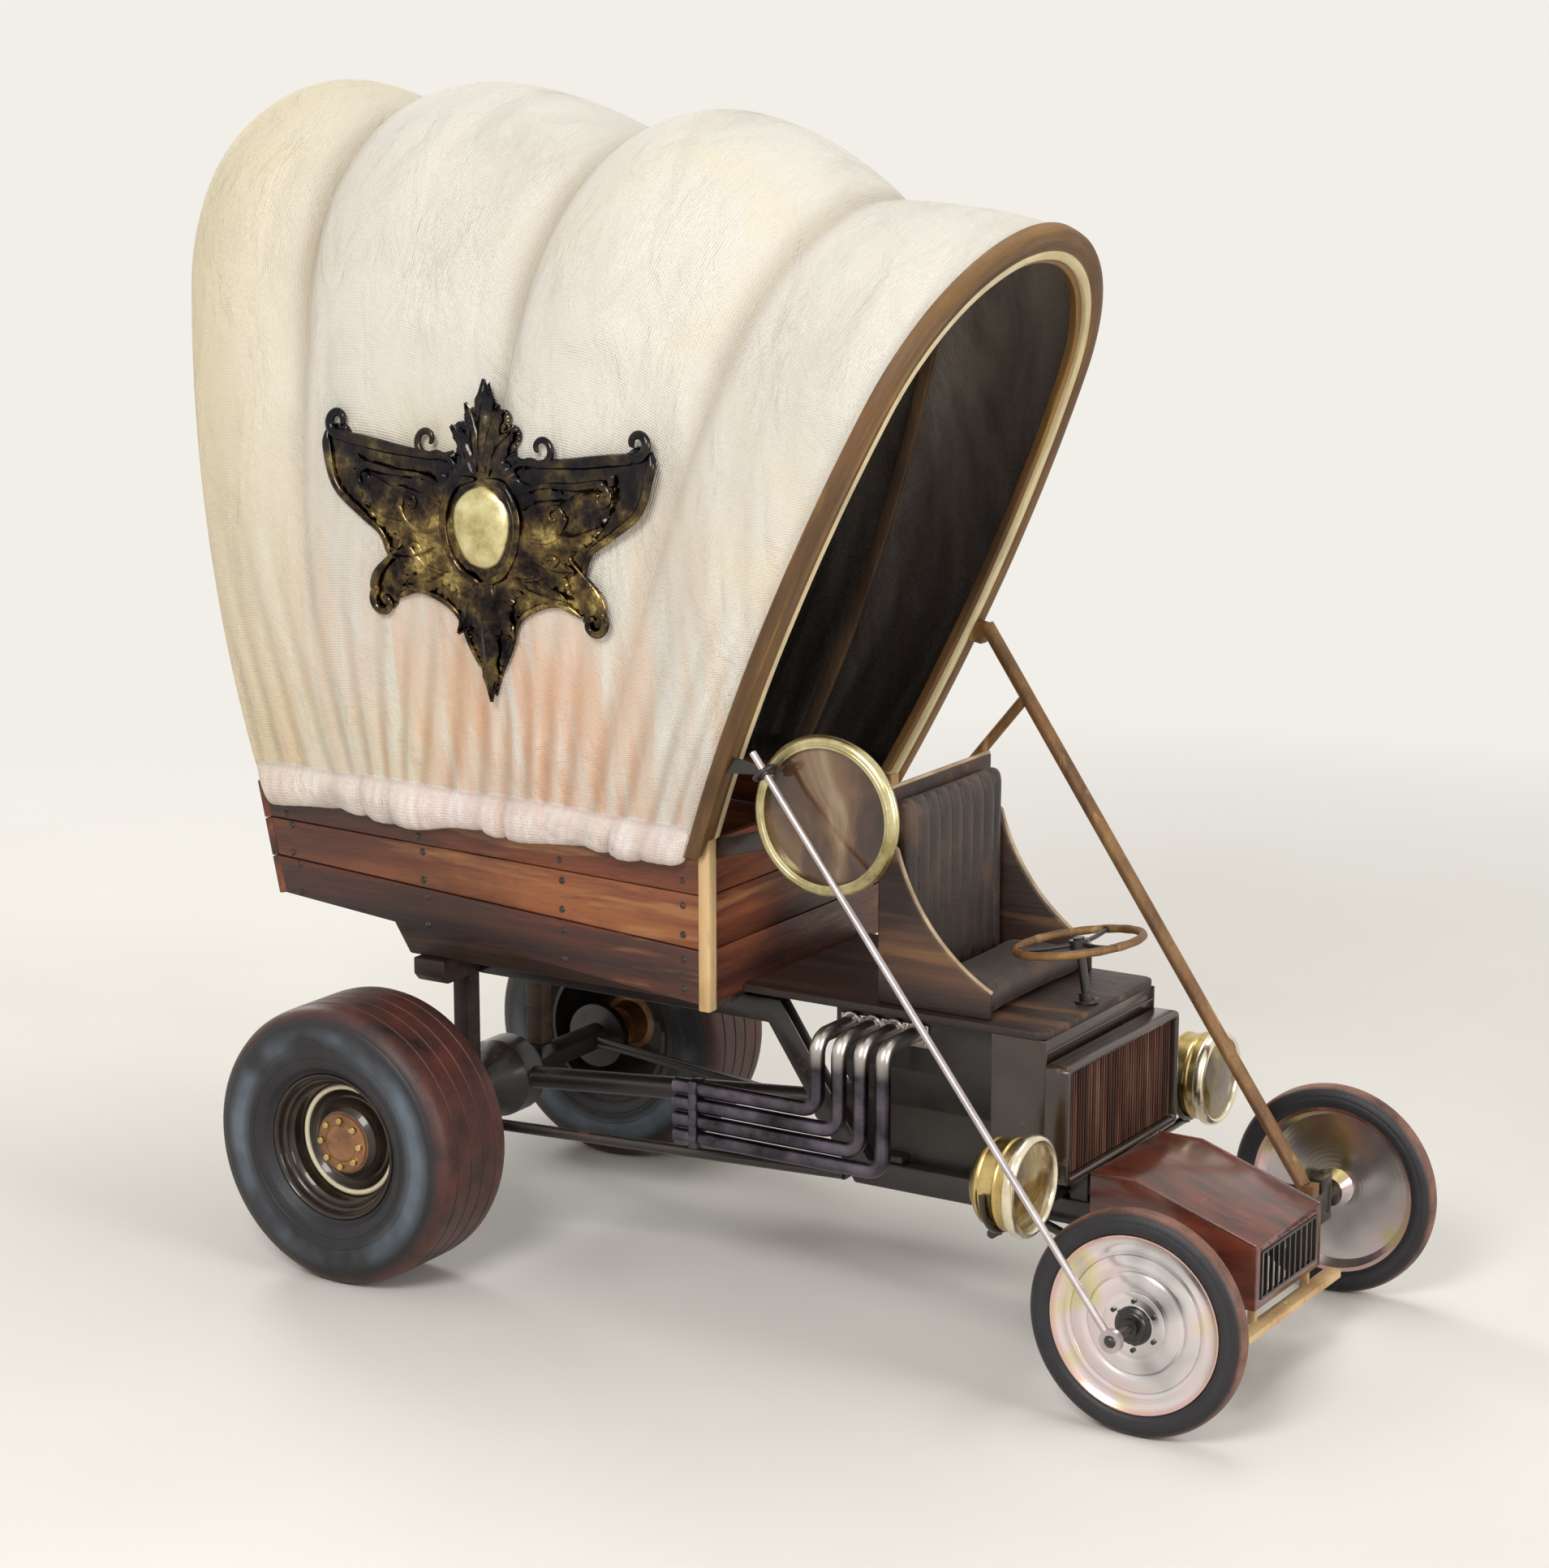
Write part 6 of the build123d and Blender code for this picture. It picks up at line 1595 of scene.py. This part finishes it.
# corners of a strap and of its lug: the share up the gate, and how far behind the box's end
strap_corners = ((0.05, 0.0310), (0.05, 0.0355), (0.84, 0.0355), (0.86, 0.0330), (0.84, 0.0310))
lug_corners = ((0.02, 0.0310), (0.02, 0.040), (0.055, 0.040), (0.10, 0.0355), (0.10, 0.0310))
eye_profile = [
    (-25, 8.5), (-25, 12.5), (-23.5, 14), (23.5, 14), (25, 12.5), (25, 8.5), (-25, 8.5),
]
hinge_x, hinge_z = raked(0.010 / rake_length, 0.0465)
irons = []
for y in (0.350, -0.350):
    strap = [raked(*corner) for corner in strap_corners]
    irons.append(prism("strap", strap, y - 0.021, y + 0.021, 0.001))
    irons.append(spun_about("eye", in_mm(eye_profile), (hinge_x, y, hinge_z), "Y", 32))
    lug = [raked(*corner) for corner in lug_corners]
    irons.append(prism("lug", lug, y - 0.0249, y + 0.0249, 0.001))
    for share in (0.2, 0.45, 0.72):
        x, z = raked(share, 0.0350)
        irons.append(bolt_head((x, y, z), "-X", 0.010))
placed(joined(irons), "tailgate_straps", "tailgate", "frame_steel")
print("tailgate made")

# %% Eased frame, sills and running gear
for node_name, ease in (
    ("corner_posts", 0.006), ("wagon_floor", 0.003), ("sills", 0.006), ("rear_bolster", 0.006),
    ("cross_timbers", 0.005), ("rear_posts", 0.004), ("frame_rails", 0.005), ("cross_members", 0.004),
    ("tailgate_hinges", 0.002), ("rear_hitch", 0.003), ("driver_deck", 0.005), ("seat_frame", 0.006),
    ("engine_block", 0.010), ("radiator_shell", 0.009), ("nose_cover", 0.003), ("nose_grille", 0.0018),
    ("front_bar", 0.005), ("side_lamp_arm", 0.003), ("cowl_sides", 0.002), ("bows", 0.003),
    ("front_axle", 0.004), ("knuckle_left", 0.003), ("knuckle_right", 0.003), ("tie_rod", 0.003),
    ("rear_axle", 0.003), ("lamp_bar", 0.002), ("far_pole", 0.003), ("rod_ring", 0.001),
):
    # the bows take the darker ash: painted shade inside the bonnet
    eased(node_name, ease, shaded_ash if node_name == "bows" else None)
print("eased parts made")

# %% [markdown]
# ## Seat
# The seat's back is sewn in upright channels, and the cushion is a plain crowned pad. Both
# start as rounded blocks, are remeshed finely and then swell in a short cloth simulation.
# Channels and seams are pressed in afterwards, where the stitches pull.

# %% Padded pieces
def swollen(name, low, high, ease, cap):
    """A stuffed pad: a rounded block that swells in a cloth simulation, within a cap."""
    pad = board(name, low, high, ease, 4)
    modify(pad, "REMESH", mode="VOXEL", voxel_size=0.009)
    rest = np.empty(len(pad.data.vertices) * 3)
    pad.data.vertices.foreach_get("co", rest)
    only(pad)
    cloth = pad.modifiers.new("cloth", "CLOTH")
    cloth.settings.use_pressure = True
    cloth.settings.uniform_pressure_force = 4.0
    cloth.settings.effector_weights.gravity = 0
    cloth.settings.quality = 6
    cloth.point_cache.frame_end = 20
    for frame_number in range(1, 21):
        scene.frame_set(frame_number)
    bpy.ops.object.modifier_apply(modifier=cloth.name)
    scene.frame_set(1)
    moved = np.empty_like(rest)
    pad.data.vertices.foreach_get("co", moved)
    step = (moved - rest).reshape(-1, 3)
    length = np.linalg.norm(step, axis=1, keepdims=True)
    held = step * np.minimum(1, cap / np.maximum(length, 1e-9))
    pad.data.vertices.foreach_set("co", (rest.reshape(-1, 3) + held).ravel())
    modify(pad, "SUBSURF", levels=1, render_levels=1)
    return pad


def reshape(pad, change):
    """Move every point of a pad by a function of its place."""
    places = np.empty(len(pad.data.vertices) * 3)
    pad.data.vertices.foreach_get("co", places)
    places = places.reshape(-1, 3)
    for number, place in enumerate(places):
        places[number] = change(*place)
    pad.data.vertices.foreach_set("co", places.ravel())
    pad.data.update()


back_low, back_high = (0.5265, -0.300, 1.020), (0.5790, 0.300, 1.628)
channel_pitch = (back_high[1] - back_low[1]) / 9
# the room for the pads: between the seat frame's sides, above its bottom, and for each pad
# from its back to its front and up to its top
pad_half, pad_foot = 0.3093, 1.0105
back_room, back_top = (0.5205, 0.5950), 1.6390
cushion_room, cushion_top = (0.5957, 0.8757), 1.0985


def sew_channels(x, y, z):
    """Upright channels on the front face, with tucks at the top and the bottom."""
    front = within((x - 0.548) / 0.02)
    phase = abs(math.sin(math.pi * (y - back_low[1]) / channel_pitch))
    valley = 0.016 * (1 - phase ** 0.42) * front
    edge = within((z - back_low[2]) / 0.05) * within((back_high[2] - z) / 0.05)
    crown = 0.006 * edge * front
    x = within(x - valley + crown, *back_room)
    return x, within(y, -pad_half, pad_half), within(z, pad_foot, back_top)


back_pad = swollen("seat_back_pad", back_low, back_high, 0.022, 0.009)
reshape(back_pad, sew_channels)
smooth(back_pad, 80)
placed(back_pad, "seat_back_pad", "chassis", "seat_leather", None, ("seat_back",))

seat_low, seat_high = (0.605, -0.300, 1.018), (0.868, 0.300, 1.083)


def sit_flat(x, y, z):
    """The cushion is flat below and stays between the frame's sides."""
    middle = (x - 0.736) / 0.14, y / 0.31
    crown = 0.010 * max(0, 1 - middle[0] ** 2) * max(0, 1 - middle[1] ** 4) if z > 1.05 else 0
    x, y = within(x, *cushion_room), within(y, -pad_half, pad_half)
    return x, y, within(z + crown, pad_foot, cushion_top)


seat_pad = swollen("seat_cushion_pad", seat_low, seat_high, 0.024, 0.010)
reshape(seat_pad, sit_flat)
smooth(seat_pad, 80)
placed(seat_pad, "seat_cushion_pad", "chassis", "seat_leather", None, ("seat_cushion",))

# %% Piping and seat frame trim
arm_edge = arc_through((0.880, 1.090), (0.690, 1.240), (0.560, 1.480), 24) + [(0.560, 1.480)]
piping_y, piping_radius, back_edge_x = 0.320, 0.0065, 0.512
piping = []
for y in (piping_y, -piping_y):
    line = [(x + 0.002, y, z + 0.001) for x, z in arm_edge] + [(back_edge_x, y, 1.524)]
    piping.append(tube("piping", line, piping_radius, smooth_line=False))
top_line = [(back_edge_x, y, 1.6535) for y in (-0.325, -0.1, 0.1, 0.325)]
piping.append(tube("piping", top_line, piping_radius))
# the piping is pale: a painted highlight along the seat's edges
edge_highlight_hide = Finish("edge_highlight_hide", rough=0.5)
edge_highlight_hide.set("Base Color", edge_highlight_hide.ramp(edge_highlight_hide.noise(9, detail=5), (0.3, "#8b7357"), (0.7, "#cdb594")))
edge_highlight_hide.bump(edge_highlight_hide.noise(120, detail=3), 0.0006)
placed(joined(piping), "seat_piping", "chassis", "seat_leather", edge_highlight_hide.material)
print("seat made")

# %% [markdown]
# ## Radiator, nose and steering wheel
# The core is a row of flat tubes with thin fins behind the shell's lip, and a board behind
# them closes its depth. The nose carries a rolled bead along its upper edges and small
# rivets below and across its tip. The steering wheel's rim is bent wood.

# %% Radiator core tubes and fins
tube_count, tube_half, fin_count = 43, 0.0042, 22
core_half, core_low, core_high = 0.340, 0.592, 0.888
core_parts = []
for k in range(tube_count):
    y = -core_half + 2 * core_half * k / (tube_count - 1)
    lean = 0.0015 * noise.noise(Vector((k * 1.7, 0, 0)))
    low, high = (1.096, y - tube_half, 0.5855), (1.1405 + lean, y + tube_half, 0.8945)
    core_parts.append(board("core_tube", low, high, 0.0018, 1))
for k in range(fin_count):
    z = core_low + (core_high - core_low) * k / (fin_count - 1)
    core_parts.append(board("core_fin", (1.100, -0.3440, z - 0.0006), (1.1365, 0.3440, z + 0.0006), 0))
core_parts.append(board("core_depth", (1.0945, -0.3430, 0.5870), (1.0985, 0.3430, 0.8930), 0))
core_piece = joined(core_parts)
smooth(core_piece)
placed(core_piece, "core_tubes", "chassis", "radiator_core", None, ("radiator_core",))

# %% Nose trim
nose_line = [mm(1168, 570), mm(1310, 570), mm(1697, 441)]
bead_y, bead_radius = 0.2255, 0.0052
# the rivets low on each side and across the tip: where they are, the first, and the step
side_rivet_y, side_rivet_z, side_rivet_x, side_rivet_step = 0.2298, 0.272, 1.195, 0.029
tip_rivet_x, tip_rivet_z, tip_rivet_y, tip_rivet_step = 1.6995, 0.425, -0.195, 0.065
trim = []
for sign in (1, -1):
    edge = [(x, sign * bead_y, z - 0.001) for x, z in nose_line]
    trim.append(tube("bead", edge, bead_radius, smooth_line=False))
    for k in range(11):
        place = (side_rivet_x + side_rivet_step * k, sign * side_rivet_y, side_rivet_z)
        trim.append(bolt_head(place, "Y" if sign > 0 else "-Y", 0.006))
for k in range(7):
    place = (tip_rivet_x, tip_rivet_y + tip_rivet_step * k, tip_rivet_z)
    trim.append(bolt_head(place, "X", 0.0055))
placed(joined(trim), "nose_trim", "chassis", "nose_panel")
print("front made")

# %% Cowl strip and steering wheel
strip = board("cowl_strip", (1.066, -0.3515, 0.905), (1.074, 0.3515, 0.9848), 0.0015)
strip_bead = tube("strip_bead", [(1.0755, -0.345, 0.945), (1.0755, 0.345, 0.945)], 0.0035, smooth_line=False)
placed(joined([strip, strip_bead]), "cowl_strip", "chassis", "radiator_shell")

column_foot, wheel_hub = Vector(mm(1030, 0, 1010)), Vector(mm(1000, 0, 1190))
column_way = (wheel_hub - column_foot).normalized()
wheel_side = Vector((0, 1, 0))
wheel_ahead = wheel_side.cross(column_way).normalized()


def on_wheel(radius, angle, lift=0.0):
    flat = wheel_ahead * math.cos(angle) + wheel_side * math.sin(angle)
    return wheel_hub + flat * radius + column_way * lift


# the rim's radius, and how far its section reaches outwards and upwards
rim_radius, rim_out, rim_up = 0.190, 0.0128, 0.0125
grip_points = []
around, section = 72, 14
for k in range(around):
    angle = 2 * math.pi * k / around
    grip = 1 + 0.05 * math.cos(16 * angle)
    for j in range(section):
        turn = 2 * math.pi * j / section
        radius = rim_radius + rim_out * grip * math.cos(turn)
        grip_points.append(on_wheel(radius, angle, rim_up * grip * math.sin(turn)))
grip_faces = [tuple(k % len(grip_points) for k in face) for face in ring_faces(around, section)]
wheel_rim = mesh_piece("wheel_rim", grip_points, grip_faces)
tidy_mesh(wheel_rim)
smooth(wheel_rim, 60)
placed(wheel_rim, "steering_rim", "chassis", "rim_timber", None, ("steering_wheel",))
wheel_irons = []
for k in range(3):
    angle = math.pi / 2 + 2 * math.pi * k / 3
    spoke_line = ((0.02, -0.004), (0.08, -0.007), (0.15, -0.003), (0.184, 0.0))
    spoke = [on_wheel(radius, angle, lift) for radius, lift in spoke_line]
    wheel_irons.append(tube("spoke", spoke, 0.0075))
    grip = [on_wheel(radius, angle) for radius in (0.176, 0.200)]
    wheel_irons.append(tube("grip", grip, 0.0105, smooth_line=False))
column = [column_foot + column_way * lift for lift in (0.004, 0.05, 0.12, 0.165)]
wheel_irons.append(tube("column", column, 0.0138))
# each collar: where it starts, its radius, and its ends along the column
collars = (
    (column_foot, 0.037, 0.0, 0.010), (column_foot, 0.022, 0.008, 0.032),
    (wheel_hub, 0.030, -0.018, 0.010), (wheel_hub, 0.017, 0.008, 0.016),
)
for collar_at, radius, *lifts in collars:
    ends = [collar_at + column_way * lift for lift in lifts]
    wheel_irons.append(tube("collar", ends, radius, smooth_line=False))
placed(joined(wheel_irons), "steering_irons", "chassis", "frame_steel")
print("steering wheel made")

# %% [markdown]
# ## Engine and exhaust
# The exhaust is four header pipes a side, bent down in nested L shapes and clamped at the
# rear. Each is one smooth tube with a flange at its port. The upper bends carry a painted
# highlight, and the rest is dark with heat.

# %% Header pipes
port_y, port_z, pipe_y, pipe_end_x = 0.262, 0.925, 0.490, -0.110
pipe_radius, bend_radius = 0.0238, 0.052
# the rearmost port and the step to the next, and the highest run and the step down from it
port_x, port_step = 0.390, 0.075
run_z, run_step = 0.700, 0.052
# the plate behind the flanges: its ends, its bottom and its top, and the nuts along it
plate_rear, plate_front, plate_low, plate_high = 0.3525, 0.6525, 0.880, 0.950
nut_x, nut_step = 0.3625, 0.070


def bent_line(corners, bend):
    """A line through corners that turn by right angles, each rounded by an arc."""
    corners = [Vector(corner) for corner in corners]
    line = corners[:1]
    for before, corner, after in zip(corners, corners[1:], corners[2:]):
        way_in = (before - corner).normalized()
        way_out = (after - corner).normalized()
        centre = corner + (way_in + way_out) * bend
        for step in range(9):
            angle = math.pi / 2 * step / 8
            line.append(centre - way_out * bend * math.cos(angle) - way_in * bend * math.sin(angle))
    return line + corners[-1:]


flange = [
    (0.2900, 0.0245), (0.2900, 0.0320), (0.2915, 0.0345), (0.2955, 0.0345), (0.2975, 0.0320),
    (0.2975, 0.0245), (0.2900, 0.0245),
]
lip = [(-0.1095, 0.0195), (-0.1104, 0.0205), (-0.1104, 0.0236), (-0.1092, 0.0240), (-0.1095, 0.0195)]
# a flat disc in each pipe's mouth, where its hollow would be
bore = [(-0.1099, 0.0), (-0.1099, 0.0200)]
band = [(-0.049, 0.0240), (-0.049, 0.0300), (-0.021, 0.0300), (-0.021, 0.0240), (-0.049, 0.0240)]
header_parts, bright_parts, dark_parts = [], [], []
for sign in (1, -1):
    y = sign * pipe_y
    for k in range(4):
        x, low = port_x + port_step * k, run_z - run_step * k
        corners = [(x, sign * port_y, port_z), (x, y, port_z), (x, y, low), (pipe_end_x, y, low)]
        header_parts.append(tube("header", bent_line(corners, bend_radius), pipe_radius, smooth_line=False))
        bright_parts.append(spun_about("flange", [(sign * a, r) for a, r in flange], (x, 0, port_z), "Y", 40))
        bright_parts.append(spun_about("lip", lip, (0, y, low), "X", 32))
        dark_parts.append(spun_about("bore", bore, (0, y, low), "X", 32))
        header_parts.append(spun_about("band", band, (0, y, low), "X", 32))
    inner, outer = sorted((sign * 0.2802, sign * 0.2900))
    plate_ends = (plate_rear, inner, plate_low), (plate_front, outer, plate_high)
    header_parts.append(board("header_plate", *plate_ends, 0.003))
    inner, outer = sorted((sign * 0.462, sign * 0.518))
    header_parts.append(board("clamp", (-0.050, inner, 0.516), (-0.020, outer, 0.728), 0.004))
    for k in range(5):
        for z in (0.8885, 0.9415):
            place = (nut_x + nut_step * k, sign * 0.2930, z)
            bright_parts.append(nut("flange_nut", place, 0.010, 0.006))
placed(joined(header_parts), "exhaust_headers", "chassis", "exhaust_steel", None, ("exhaust_pipes",))
header_bright = metal("header_bright", "#8d8480", "#d9d2cc", 0.3, 0.2)
placed(joined(bright_parts), "header_fittings", "chassis", "exhaust_steel", header_bright)
# black for the pipes' mouths: painted shade of their hollows, and soot
soot_and_shade = Finish("soot_and_shade", rough=0.95)
soot_and_shade.set("Base Color", soot_and_shade.ramp(soot_and_shade.noise(40), (0.3, "#0b0a0a"), (0.7, "#1b1716")))
placed(joined(dark_parts), "pipe_bores", "chassis", "exhaust_steel", soot_and_shade.material)
print("exhaust made")

# %% Finish
visual_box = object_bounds()
sizes = {"cad": [list(map(float, c)) for c in cad_box], "visual": [list(map(float, c)) for c in visual_box]}
print("visual box", sizes["visual"])
